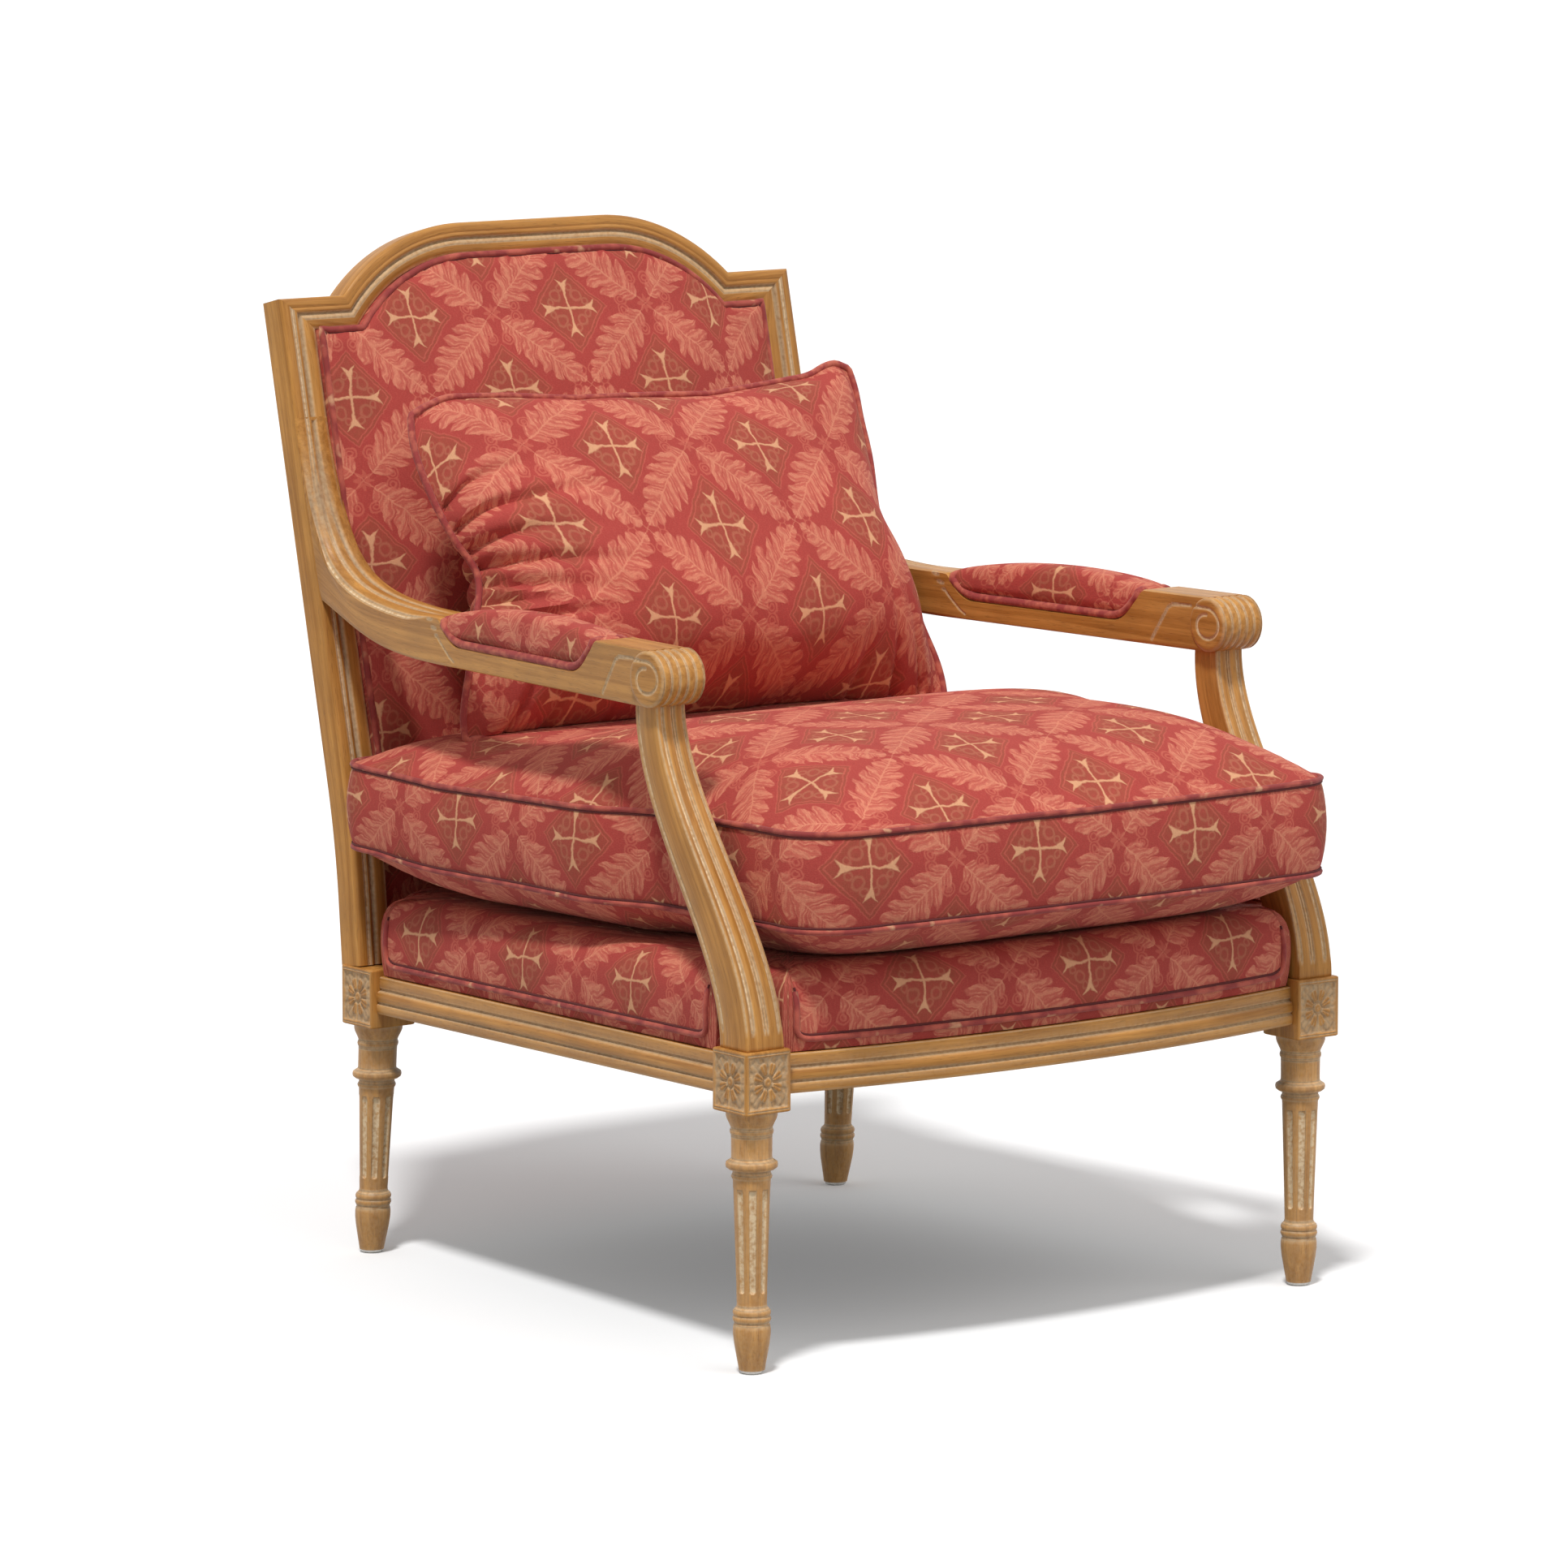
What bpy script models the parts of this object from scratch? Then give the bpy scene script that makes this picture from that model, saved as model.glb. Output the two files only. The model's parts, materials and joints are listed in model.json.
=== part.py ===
"""Fauteuil: an open armchair in the Louis XVI manner, as its joined wooden frame and its upholstery.

Metres, +Z up. The origin lies on the floor under the middle of the chair. The front faces -Y and +X is
the right-hand side as seen from the front.
"""

import math

import bmesh
import bpy
from mathutils import Vector

# Fits
GAP = 0.0003                    # between two pieces that touch, and round each tenon
LIFT_CLEARANCE = 0.0020         # between loose or stuffed pieces and the wood beside them

# Seat frame, seen from above
FRONT_LEG_Y = -0.3636           # middle of the front legs
SEAT_DEPTH = 0.6485             # from the front leg blocks to the rear leg blocks, middle to middle
FRONT_SPREAD = 0.650            # between the middles of the front legs
REAR_SPREAD = 0.567             # between the middles of the rear legs
BLOCK_SIDE = 0.051              # square blocks at the top of the legs
SEAT_DROP = 0.0145              # fall of the seat from front to rear blocks

# Leg blocks and rails, as heights above the floor at the front legs
BLOCK_BOTTOM = 0.240
BLOCK_HEIGHT = 0.057
RAIL_BOTTOM = 0.254
RAIL_HEIGHT = 0.036
RAIL_THICKNESS = 0.028
RAIL_INSET = 0.007              # outer face of a rail behind the faces of the blocks
RAIL_FILLET = 0.004             # step of the moulding below the upholstery
RAIL_BEAD_HEIGHT = 0.021        # height of the lower, proud band
FRONT_RAIL_BOW = 0.034
TENON_LENGTH = 0.018
TENON_SHOULDER = 0.008          # wood left round a tenon

# Turned legs
LEG_SIDES = 16
COLLAR_RADIUS = 0.0232
COLLAR_HEIGHT = 0.010
NECK_RADIUS = 0.0185
NECK_HEIGHT = 0.033
BEAD_RADIUS = 0.0235
BEAD_HEIGHT = 0.009
SHAFT_TOP_RADIUS = 0.0172
SHAFT_FOOT_RADIUS = 0.0135
RING_RADIUS = 0.0175
RING_HEIGHT = 0.014
FOOT_HEIGHT = 0.046
FOOT_RADIUS = 0.0170
TOE_RADIUS = 0.0120
REAR_LEG_RAKE = 0.0145          # the rear feet stand this far behind their blocks
GLIDE_THICKNESS = 0.003
GLIDE_RADIUS = 0.0105
NAIL_RADIUS = 0.0015
NAIL_LENGTH = 0.014

# Back frame
STILE_WIDTH = 0.038
STILE_DEPTH = 0.032
STILE_INSET = 0.002             # outer face of a stile inside the block's outer face
STILE_SETBACK = 0.0125          # middle of a stile behind the middle of its block
STILE_FOOT_SLOPE = 0.08         # backward lean just above the seat
BACK_SLOPE = 0.228              # backward lean of the back, metres for each metre of height
BEND_LOW = 0.340                # the stile bends back between these heights
BEND_HIGH = 0.460
CREST_SHOULDER = 0.913
CREST_RISE = 0.063              # rise of the arch above the square shoulders
CREST_WIDTH = 0.030             # width of the crest rail as seen from the front
CREST_DEPTH = 0.030
CREST_FLAT_HALF = 0.085         # half of the level stretch of the arch
CREST_ARC_RADIUS = 0.205
STILE_TENON_LENGTH = 0.016
LOWER_RAIL_TOP = 0.4535
LOWER_RAIL_HEIGHT = 0.034
LOWER_RAIL_DEPTH = 0.018

# Arms and their supports
SUPPORT_SETBACK = 0.1295        # top of a support behind the middle of the front leg
SUPPORT_BASE = 0.042
SUPPORT_TOP = 0.033
SUPPORT_FLARE = 0.005           # outward shift of the top of a support
SUPPORT_TENON_LENGTH = 0.012    # short, because the rails' tenons meet below it in the block
ARM_UNDERSIDE = 0.593
ARM_HEIGHT = 0.052
SCROLL_SETBACK = 0.1182         # middle of the scroll behind the middle of the front leg
SCROLL_WIDTH = 0.050
ARM_WIDTH = 0.044
ARM_REAR_WIDTH = 0.037
SWEEP_TOP = 0.800               # where the arm's upper edge runs into the stile
SWEEP_LOW = 0.628               # where the arm's lower edge meets the stile
SWEEP_FULLNESS = 0.9            # how far the upper curve is drawn into its corner
SWEEP_THICKNESS = 0.044         # height of the arm where its sweep begins
RECESS_HEIGHT = 0.0195          # wood left under an arm pad
RECESS_START = 0.093            # front end of the pad's recess behind the scroll's middle
RECESS_LENGTH = 0.275
RECESS_SLANT = 0.026            # run of the sloped ends of the recess
ARM_PAD_CROWN = 0.014           # rise of the pad above the wood at its ends
ARM_TENON_LENGTH = 0.016
ARM_TENON_LOW = 0.660
ARM_TENON_HIGH = 0.740
ARM_TENON_WIDTH = 0.014

# Upholstery
WEB_WIDTH = 0.050
WEB_THICKNESS = 0.0018
WEB_COUNT = 4                   # straps each way
WEB_TACKED = 0.016              # length of a strap that lies on a rail
DECK_TOP = 0.368
DECK_INSET = 0.004              # side of the deck behind the rail's outer face
DECK_ROUND = 0.028              # rounding of the deck's upper edge
CUSHION_WIDTH = 0.642           # at the corners, before the supports squeeze the sides
CUSHION_BELLY = 0.034           # sag of the underside below the lower welt
CUSHION_BAND = 0.086            # between the two welts
CUSHION_CROWN = 0.073           # rise of the top above the upper welt
CROWN_FULLNESS = 4              # power of the fall towards the edge, more is fuller
BELLY_FULLNESS = 6
CUSHION_OVERHANG = 0.066        # front corners before the middle of the front legs
CUSHION_FRONT_BOW = 0.020
CUSHION_REAR = 0.0055           # rear edge behind the middle of the rear blocks
CUSHION_CORNER = 0.035
CUSHION_BULGE = 0.003
CUSHION_EASE = 0.036            # length over which a squeezed side swells out again
CUSHION_LIFT = 0.070            # height to which the loose cushion can be raised
PILLOW_WIDTH = 0.545
PILLOW_HEIGHT = 0.330
PILLOW_THICKNESS = 0.175
PILLOW_PULL = 0.016             # draw of the edges between the corners
PILLOW_CORNER = 0.010           # blunting of the corners
PILLOW_LEAN = 23.0              # degrees from upright
PILLOW_SHIFT = 0.012            # to the right of the middle
BACK_PAD_CROWN = 0.050
BACK_PAD_PROUD = 0.004          # edge of the pad before the face of the stiles
BACK_PAD_REAR = 0.004           # rear of the pad behind the middle of the stiles
OUTSIDE_BACK_THICKNESS = 0.005
OUTSIDE_BACK_SETBACK = 0.006    # front of the panel behind the middle of the stiles
DUST_COVER_THICKNESS = 0.0015

# Corner blocks and their screws
CORNER_REACH = 0.075            # length of a corner block along each rail
CORNER_THICKNESS = 0.024
SCREW_RADIUS = 0.0020
SCREW_HEAD_RADIUS = 0.0040
SCREW_HEAD_HEIGHT = 0.0025
SCREW_BITE = 0.014              # depth of a screw in the rail

# Heights and places that follow from the sizes above
REAR_LEG_Y = FRONT_LEG_Y + SEAT_DEPTH
RAIL_TOP = RAIL_BOTTOM + RAIL_HEIGHT
BLOCK_TOP = BLOCK_BOTTOM + BLOCK_HEIGHT
WEB_BASE = RAIL_TOP + GAP
DECK_BOTTOM = WEB_BASE + 2 * WEB_THICKNESS + 2 * GAP
STILE_X = REAR_SPREAD / 2 + BLOCK_SIDE / 2 - STILE_INSET - STILE_WIDTH / 2
STILE_INNER = STILE_X - STILE_WIDTH / 2
REAR_BLOCK_TOP = BLOCK_TOP - SEAT_DROP
CREST_TOP = CREST_SHOULDER + CREST_RISE
RAKE_ANGLE = math.atan(BACK_SLOPE)
SCROLL_Y = FRONT_LEG_Y + SCROLL_SETBACK
SCROLL_X = FRONT_SPREAD / 2 + SUPPORT_FLARE
CUSHION_LOW_WELT = DECK_TOP + GAP + CUSHION_BELLY
CUSHION_HIGH_WELT = CUSHION_LOW_WELT + CUSHION_BAND
CUSHION_CORNERS_Y = FRONT_LEG_Y - CUSHION_OVERHANG
CUSHION_FRONT = CUSHION_CORNERS_Y - CUSHION_FRONT_BOW
CUSHION_BACK = REAR_LEG_Y + CUSHION_REAR
CUSHION_MIDDLE = (CUSHION_FRONT + CUSHION_BACK) / 2
CUSHION_REACH = (CUSHION_BACK - CUSHION_FRONT) / 2


def finish(name, colour, roughness, metallic=0.0):
    """A material with one colour, for the pieces of one stuff."""
    made = bpy.data.materials.new(name)
    made.use_nodes = True
    shader = made.node_tree.nodes["Principled BSDF"]
    shader.inputs["Base Color"].default_value = (*colour, 1.0)
    shader.inputs["Roughness"].default_value = roughness
    shader.inputs["Metallic"].default_value = metallic
    return made


def add_object(name, shape, stuff, smooth=False):
    """Turn a bmesh into a named object with outward faces."""
    if shape.calc_volume(signed=True) < 0:
        bmesh.ops.reverse_faces(shape, faces=shape.faces)
    mesh = bpy.data.meshes.new(name)
    shape.to_mesh(mesh)
    shape.free()
    if smooth:
        mesh.shade_smooth()
        mesh.set_sharp_from_angle(angle=math.radians(40))
    piece = bpy.data.objects.new(name, mesh)
    bpy.context.scene.collection.objects.link(piece)
    if stuff:
        mesh.materials.append(stuff)
    return piece


def loft(name, rings, stuff, smooth=False):
    """Join equal rings of points into one closed body with flat ends."""
    shape = bmesh.new()
    loops = [[shape.verts.new(point) for point in ring] for ring in rings]
    count = len(loops[0])
    for low, high in zip(loops, loops[1:]):
        for k in range(count):
            after = (k + 1) % count
            shape.faces.new((low[k], low[after], high[after], high[k]))
    shape.faces.new(reversed(loops[0]))
    shape.faces.new(loops[-1])
    return add_object(name, shape, stuff, smooth)


def cut(piece, rings, solver="EXACT"):
    """Cut the space of a loft out of a piece."""
    tool = loft(piece.name + "_cutter", rings, None)
    tool.hide_render = True
    tool.display_type = "WIRE"
    step = piece.modifiers.new("mortise", "BOOLEAN")
    step.operation = "DIFFERENCE"
    step.solver = solver
    step.object = tool


def quilt(name, front, back, columns, rows, stuff):
    """Close two facing surfaces, given as functions of column and row, into one padded body.

    Where both surfaces meet along the edge they share its points.
    """
    shape = bmesh.new()
    edge_gap = (front(columns[0], rows[0]) - back(columns[0], rows[0])).length
    faces = [[[shape.verts.new(side(c, r)) for r in rows] for c in columns] for side in (front, back)]
    for grid, order in zip(faces, (1, -1)):
        for i in range(len(columns) - 1):
            for j in range(len(rows) - 1):
                corners = (grid[i][j], grid[i + 1][j], grid[i + 1][j + 1], grid[i][j + 1])
                shape.faces.new(corners[::order])
    if edge_gap < GAP:
        bmesh.ops.remove_doubles(shape, verts=shape.verts, dist=GAP / 10)
        return add_object(name, shape, stuff, True)
    rims = []
    for grid in faces:
        rim = [row[0] for row in grid] + grid[-1][1:] + [row[-1] for row in reversed(grid[:-1])]
        rims.append(rim + list(reversed(grid[0][1:-1])))
    for k in range(len(rims[0])):
        after = (k + 1) % len(rims[0])
        shape.faces.new((rims[0][after], rims[0][k], rims[1][k], rims[1][after]))
    return add_object(name, shape, stuff, True)


def round_ring(centre, radius, sides=LEG_SIDES):
    """A level circle."""
    turns = [2 * math.pi * k / sides for k in range(sides)]
    return [centre + Vector((radius * math.cos(a), radius * math.sin(a), 0)) for a in turns]


def square_ring(centre, half_x, half_y, sides, tilt=0.0):
    """A rectangle as a ring with points at its corners and between them, tipped back by an angle."""
    ring = []
    for k in range(sides):
        angle = 2 * math.pi * k / sides
        across, along = math.cos(angle), math.sin(angle)
        reach = max(abs(across), abs(along))
        depth = half_y * along / reach
        width = half_x * across / reach
        ring.append(centre + Vector((width, depth * math.cos(tilt), -depth * math.sin(tilt))))
    return ring


def grown(ring, amount):
    """A four-cornered ring with each point moved out from the middle along both its sides."""
    a, b, c, d = ring
    along = (b - a).normalized() * amount
    across = (d - a).normalized() * amount
    return [a - along - across, b + along - across, c + along + across, d - along + across]


def seat_fall(y):
    """How far the seat lies below its height at the front legs."""
    return SEAT_DROP * (y - FRONT_LEG_Y) / SEAT_DEPTH


def seat_point(x, y, height):
    """A point of the seat, whose heights are given at the front legs."""
    return Vector((x, y, height - seat_fall(y)))


def smooth_step(t):
    return t * t * (3 - 2 * t)


def stile_y(z):
    """Middle of the stile at a height: nearly upright, then bent back to the rake."""
    base = REAR_LEG_Y + STILE_SETBACK
    y = base + STILE_FOOT_SLOPE * (min(z, BEND_LOW) - REAR_BLOCK_TOP)
    if z > BEND_LOW:
        part = min(z, BEND_HIGH) - BEND_LOW
        growth = (BACK_SLOPE - STILE_FOOT_SLOPE) / (BEND_HIGH - BEND_LOW)
        y += STILE_FOOT_SLOPE * part + growth * part * part / 2
    return y + BACK_SLOPE * max(z - BEND_HIGH, 0)


def stile_lean(z):
    """Angle of the stile at a height."""
    part = min(max((z - BEND_LOW) / (BEND_HIGH - BEND_LOW), 0), 1)
    return math.atan(STILE_FOOT_SLOPE + (BACK_SLOPE - STILE_FOOT_SLOPE) * part)


def back_point(x, z, depth):
    """A point of the raked back, at a depth behind the middle of the stiles."""
    lean = stile_lean(z)
    return Vector((x, stile_y(z) + depth * math.cos(lean), z - depth * math.sin(lean)))


def arch(x, top, radius, shoulder):
    """Height of the crest rail's outline: level, then an arc down to the square shoulder."""
    side = max(abs(x) - CREST_FLAT_HALF, 0)
    if side >= radius:
        return shoulder
    return max(top - radius + math.sqrt(radius * radius - side * side), shoulder)


def crest_top(x):
    return arch(x, CREST_TOP, CREST_ARC_RADIUS, CREST_SHOULDER)


def crest_low(x):
    return arch(x, CREST_TOP - CREST_WIDTH, CREST_ARC_RADIUS - CREST_WIDTH, CREST_SHOULDER - CREST_WIDTH)


def arc_end(top, radius, shoulder):
    """Distance from the middle at which an arch meets its shoulder."""
    rise = radius - (top - shoulder)
    return CREST_FLAT_HALF + math.sqrt(radius * radius - rise * rise)


def crest_stations(half):
    """Places across the back at which the arch bends, from one side to the other."""
    outer = arc_end(CREST_TOP, CREST_ARC_RADIUS, CREST_SHOULDER)
    inner = arc_end(CREST_TOP - CREST_WIDTH, CREST_ARC_RADIUS - CREST_WIDTH, CREST_SHOULDER - CREST_WIDTH)
    steps = [CREST_FLAT_HALF + (inner - CREST_FLAT_HALF) * k / 6 for k in range(7)]
    side = steps + [outer, half]
    return [-s for s in reversed(side)] + [0.0] + side


def leg_rings(x, y, block_bottom, rake):
    """The turned leg from the nail hole in its sole up to the underside of its block."""
    sole = GLIDE_THICKNESS + GAP
    ring_top = FOOT_HEIGHT + RING_HEIGHT
    bead_low = block_bottom - COLLAR_HEIGHT - NECK_HEIGHT - BEAD_HEIGHT
    neck_low = bead_low + BEAD_HEIGHT
    profile = [
        (sole, TOE_RADIUS),
        (FOOT_HEIGHT * 0.67, FOOT_RADIUS * 0.97),
        (FOOT_HEIGHT * 0.87, FOOT_RADIUS),
        (FOOT_HEIGHT, FOOT_RADIUS * 0.95),
        (FOOT_HEIGHT + RING_HEIGHT * 0.15, RING_RADIUS * 0.92),
        (FOOT_HEIGHT + RING_HEIGHT * 0.5, RING_RADIUS),
        (FOOT_HEIGHT + RING_HEIGHT * 0.85, RING_RADIUS * 0.92),
        (ring_top, SHAFT_FOOT_RADIUS),
        (bead_low - BEAD_HEIGHT, SHAFT_TOP_RADIUS),
        (bead_low, SHAFT_TOP_RADIUS),
        (bead_low + BEAD_HEIGHT * 0.1, BEAD_RADIUS * 0.92),
        (bead_low + BEAD_HEIGHT * 0.5, BEAD_RADIUS),
        (neck_low - BEAD_HEIGHT * 0.1, BEAD_RADIUS * 0.92),
        (neck_low, NECK_RADIUS),
        (block_bottom - COLLAR_HEIGHT * 1.8, NECK_RADIUS),
        (block_bottom - COLLAR_HEIGHT * 1.2, NECK_RADIUS * 1.06),
        (block_bottom - COLLAR_HEIGHT, COLLAR_RADIUS),
        (block_bottom, COLLAR_RADIUS),
    ]
    sole_y = y + rake * (block_bottom - sole) / block_bottom
    hole = (sole + NAIL_LENGTH + GAP, sole)
    rings = [round_ring(Vector((x, sole_y, z)), NAIL_RADIUS + GAP) for z in hole]
    for z, radius in profile:
        shift = rake * (block_bottom - z) / block_bottom
        rings.append(round_ring(Vector((x, y + shift, z)), radius))
    return rings


def make_front_leg(name, side, wood):
    """Turned leg and square block of one piece."""
    x = side * FRONT_SPREAD / 2
    half = BLOCK_SIDE / 2
    rings = leg_rings(x, FRONT_LEG_Y, BLOCK_BOTTOM, 0.0)
    for z in (BLOCK_BOTTOM, BLOCK_TOP):
        rings.append(square_ring(Vector((x, FRONT_LEG_Y, z)), half, half, LEG_SIDES))
    return loft(name, rings, wood, True)


def make_rear_post(name, side, wood):
    """Turned leg, square block and raked stile of one piece, with a tenon for the crest rail."""
    block_x = side * REAR_SPREAD / 2
    stile_x = side * STILE_X
    half = BLOCK_SIDE / 2
    low = BLOCK_BOTTOM - SEAT_DROP
    rings = leg_rings(block_x, REAR_LEG_Y, low, REAR_LEG_RAKE)
    for z in (low, REAR_BLOCK_TOP):
        rings.append(square_ring(Vector((block_x, REAR_LEG_Y, z)), half, half, LEG_SIDES))
    stile_top = CREST_SHOULDER - CREST_WIDTH - GAP
    half_w, half_d = STILE_WIDTH / 2, STILE_DEPTH / 2
    bends = [BEND_LOW + (BEND_HIGH - BEND_LOW) * k / 3 for k in range(4)]
    foot = Vector((stile_x, stile_y(REAR_BLOCK_TOP), REAR_BLOCK_TOP))
    rings.append(square_ring(foot, half_w, half_d, LEG_SIDES))
    for z in bends + [stile_top]:
        rings.append(square_ring(back_point(stile_x, z, 0), half_w, half_d, LEG_SIDES, stile_lean(z)))
    half_w -= TENON_SHOULDER
    half_d -= TENON_SHOULDER
    for z in (stile_top, stile_top + STILE_TENON_LENGTH):
        rings.append(square_ring(back_point(stile_x, z, 0), half_w, half_d, LEG_SIDES, RAKE_ANGLE))
    return loft(name, rings, wood, True)


def stile_tenon(side, clearance):
    """The tenon on top of a stile, as the space that it needs in the crest rail."""
    low = CREST_SHOULDER - CREST_WIDTH - GAP
    half_w = STILE_WIDTH / 2 - TENON_SHOULDER + clearance
    half_d = STILE_DEPTH / 2 - TENON_SHOULDER + clearance
    ends = (low - STILE_TENON_LENGTH, low + STILE_TENON_LENGTH + clearance)
    return [square_ring(back_point(side * STILE_X, z, 0), half_w, half_d, 8, RAKE_ANGLE) for z in ends]


def make_crest_rail(wood):
    """Rail with square shoulders and a raised arch, over the tops of both stiles."""
    half = STILE_X + STILE_WIDTH / 2
    depth = CREST_DEPTH / 2
    rings = []
    for x in crest_stations(half):
        low, high = crest_low(x), crest_top(x)
        corners = ((low, -depth), (high, -depth), (high, depth), (low, depth))
        rings.append([back_point(x, z, d) for z, d in corners])
    rail = loft("crest_rail", rings, wood)
    for side in (-1, 1):
        cut(rail, stile_tenon(side, GAP))
    return rail


def lower_rail_ring(x, shrink):
    """Section of the lower back rail, full or drawn in for its tenons."""
    low = LOWER_RAIL_TOP - LOWER_RAIL_HEIGHT + shrink
    high = LOWER_RAIL_TOP - shrink
    front = BACK_PAD_REAR - LOWER_RAIL_DEPTH + shrink / 2
    rear = BACK_PAD_REAR - shrink / 2
    return [back_point(x, z, d) for z, d in ((low, front), (high, front), (high, rear), (low, rear))]


def make_lower_back_rail(wood):
    """Straight rail between the stiles, under the back pad."""
    shoulder = STILE_INNER - GAP
    tip = shoulder + TENON_LENGTH
    stations = ((-tip, TENON_SHOULDER), (-shoulder, TENON_SHOULDER), (-shoulder, 0), (shoulder, 0),
                (shoulder, TENON_SHOULDER), (tip, TENON_SHOULDER))
    return loft("lower_back_rail", [lower_rail_ring(x, shrink) for x, shrink in stations], wood)


def lower_rail_mortise(side):
    start, end = STILE_INNER - TENON_LENGTH, STILE_INNER + TENON_LENGTH
    return [grown(lower_rail_ring(side * x, TENON_SHOULDER), GAP) for x in (start, end)]


def rail_section(outer, inner, place):
    """Section of a seat rail: a proud lower band, a step and an upper band set back."""
    step = RAIL_FILLET if outer > inner else -RAIL_FILLET
    band = RAIL_BOTTOM + RAIL_BEAD_HEIGHT
    corners = ((inner, RAIL_BOTTOM), (outer, RAIL_BOTTOM), (outer, band), (outer - step, band + RAIL_FILLET),
               (outer - step, RAIL_TOP), (inner, RAIL_TOP))
    return [place(across, height) for across, height in corners]


def tenon_section(outer, inner, place):
    """Section of a seat rail's tenon, in as many points as the rail itself."""
    step = TENON_SHOULDER if outer > inner else -TENON_SHOULDER
    low, high = RAIL_BOTTOM + TENON_SHOULDER, RAIL_TOP - TENON_SHOULDER
    middle = (low + high) / 2
    near, far = outer - step, inner + step
    quarter = (high - low) / 4
    corners = ((far, low), (near, low), (near, middle - quarter), (near, middle + quarter), (near, high),
               (far, high))
    return [place(across, height) for across, height in corners]


def tenon_space(outer, inner, place):
    """The four corners of a seat rail's tenon, as its mortise needs them."""
    ring = tenon_section(outer, inner, place)
    return grown([ring[0], ring[1], ring[4], ring[5]], GAP)


def side_rail_x(y):
    """Outer face of the right-hand side rail, which runs straight from block to block."""
    front = FRONT_SPREAD / 2 + BLOCK_SIDE / 2 - RAIL_INSET
    rear = REAR_SPREAD / 2 + BLOCK_SIDE / 2 - RAIL_INSET
    return front + (rear - front) * (y - FRONT_LEG_Y) / SEAT_DEPTH


def side_rail_ring(side, y, section):
    outer = side * side_rail_x(y)
    inner = outer - side * RAIL_THICKNESS
    return section(outer, inner, lambda x, z: seat_point(x, y, z))


def make_side_rail(name, side, wood):
    """Straight moulded rail from the front block to the rear block."""
    front = FRONT_LEG_Y + BLOCK_SIDE / 2 + GAP
    rear = REAR_LEG_Y - BLOCK_SIDE / 2 - GAP
    stations = ((front - TENON_LENGTH, tenon_section), (front, tenon_section), (front, rail_section),
                (rear, rail_section), (rear, tenon_section), (rear + TENON_LENGTH, tenon_section))
    return loft(name, [side_rail_ring(side, y, section) for y, section in stations], wood)


def side_rail_mortise(side, shoulder):
    """Space of a side rail's tenon in the block whose face lies at a shoulder."""
    ends = (shoulder - TENON_LENGTH - 2 * GAP, shoulder + TENON_LENGTH + 2 * GAP)
    return [side_rail_ring(side, y, tenon_space) for y in ends]


def front_rail_y(x):
    """Outer face of the bowed front rail."""
    ends = FRONT_LEG_Y - BLOCK_SIDE / 2 + RAIL_INSET
    reach = FRONT_SPREAD / 2 - BLOCK_SIDE / 2
    return ends - FRONT_RAIL_BOW * max(1 - (x / reach) ** 2, 0)


def front_rail_inner():
    return FRONT_LEG_Y - BLOCK_SIDE / 2 + RAIL_INSET + RAIL_THICKNESS


def front_rail_ring(x, section):
    return section(front_rail_y(x), front_rail_inner(), lambda y, z: seat_point(x, y, z))


def rear_rail_ring(x, section):
    outer = REAR_LEG_Y + BLOCK_SIDE / 2 - RAIL_INSET
    return section(outer, outer - RAIL_THICKNESS, lambda y, z: seat_point(x, y, z))


def make_front_rail(wood):
    """Rail bowed forward, with a straight inner face."""
    shoulder = FRONT_SPREAD / 2 - BLOCK_SIDE / 2 - GAP
    tip = shoulder + TENON_LENGTH
    bends = [shoulder * k / 6 for k in range(-6, 7)]
    rings = [front_rail_ring(x, tenon_section) for x in (-tip, -shoulder)]
    rings += [front_rail_ring(x, rail_section) for x in bends]
    rings += [front_rail_ring(x, tenon_section) for x in (shoulder, tip)]
    return loft("front_seat_rail", rings, wood)


def make_rear_rail(wood):
    shoulder = REAR_SPREAD / 2 - BLOCK_SIDE / 2 - GAP
    tip = shoulder + TENON_LENGTH
    stations = ((-tip, tenon_section), (-shoulder, tenon_section), (-shoulder, rail_section),
                (shoulder, rail_section), (shoulder, tenon_section), (tip, tenon_section))
    return loft("rear_seat_rail", [rear_rail_ring(x, section) for x, section in stations], wood)


def cross_rail_mortise(side, spread, ring):
    """Space of the front or rear rail's tenon in a block."""
    face = spread / 2 - BLOCK_SIDE / 2
    ends = (face - TENON_LENGTH - GAP, face + TENON_LENGTH + GAP)
    return [ring(side * x, tenon_space) for x in ends]


def support_part(z):
    """Share of the way up an arm support."""
    return (z - BLOCK_TOP) / (ARM_UNDERSIDE - BLOCK_TOP)


def support_y(z):
    """Middle of an arm support, swept back in an S between the leg and the scroll."""
    return FRONT_LEG_Y + SUPPORT_SETBACK * smooth_step(min(max(support_part(z), 0), 1))


def support_half(z):
    """Half of the width of an arm support."""
    return (SUPPORT_BASE + (SUPPORT_TOP - SUPPORT_BASE) * support_part(z)) / 2


def support_half_depth(z):
    """Half of the level depth of an arm support, which grows where it leans."""
    part = support_part(z)
    slope = SUPPORT_SETBACK * 6 * part * (1 - part) / (ARM_UNDERSIDE - BLOCK_TOP)
    return support_half(z) * math.sqrt(1 + slope * slope)


def support_x(z):
    return FRONT_SPREAD / 2 + SUPPORT_FLARE * support_part(z)


def support_tenon(side, z, length, clearance):
    """A square tenon at the lower or upper end of a support, both ways from the joint."""
    half = support_half(z) - TENON_SHOULDER + clearance
    rings = []
    for end in (z - length - clearance, z + length + clearance):
        rings.append(square_ring(Vector((side * support_x(z), support_y(z), end)), half, half, 8))
    return rings


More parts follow.
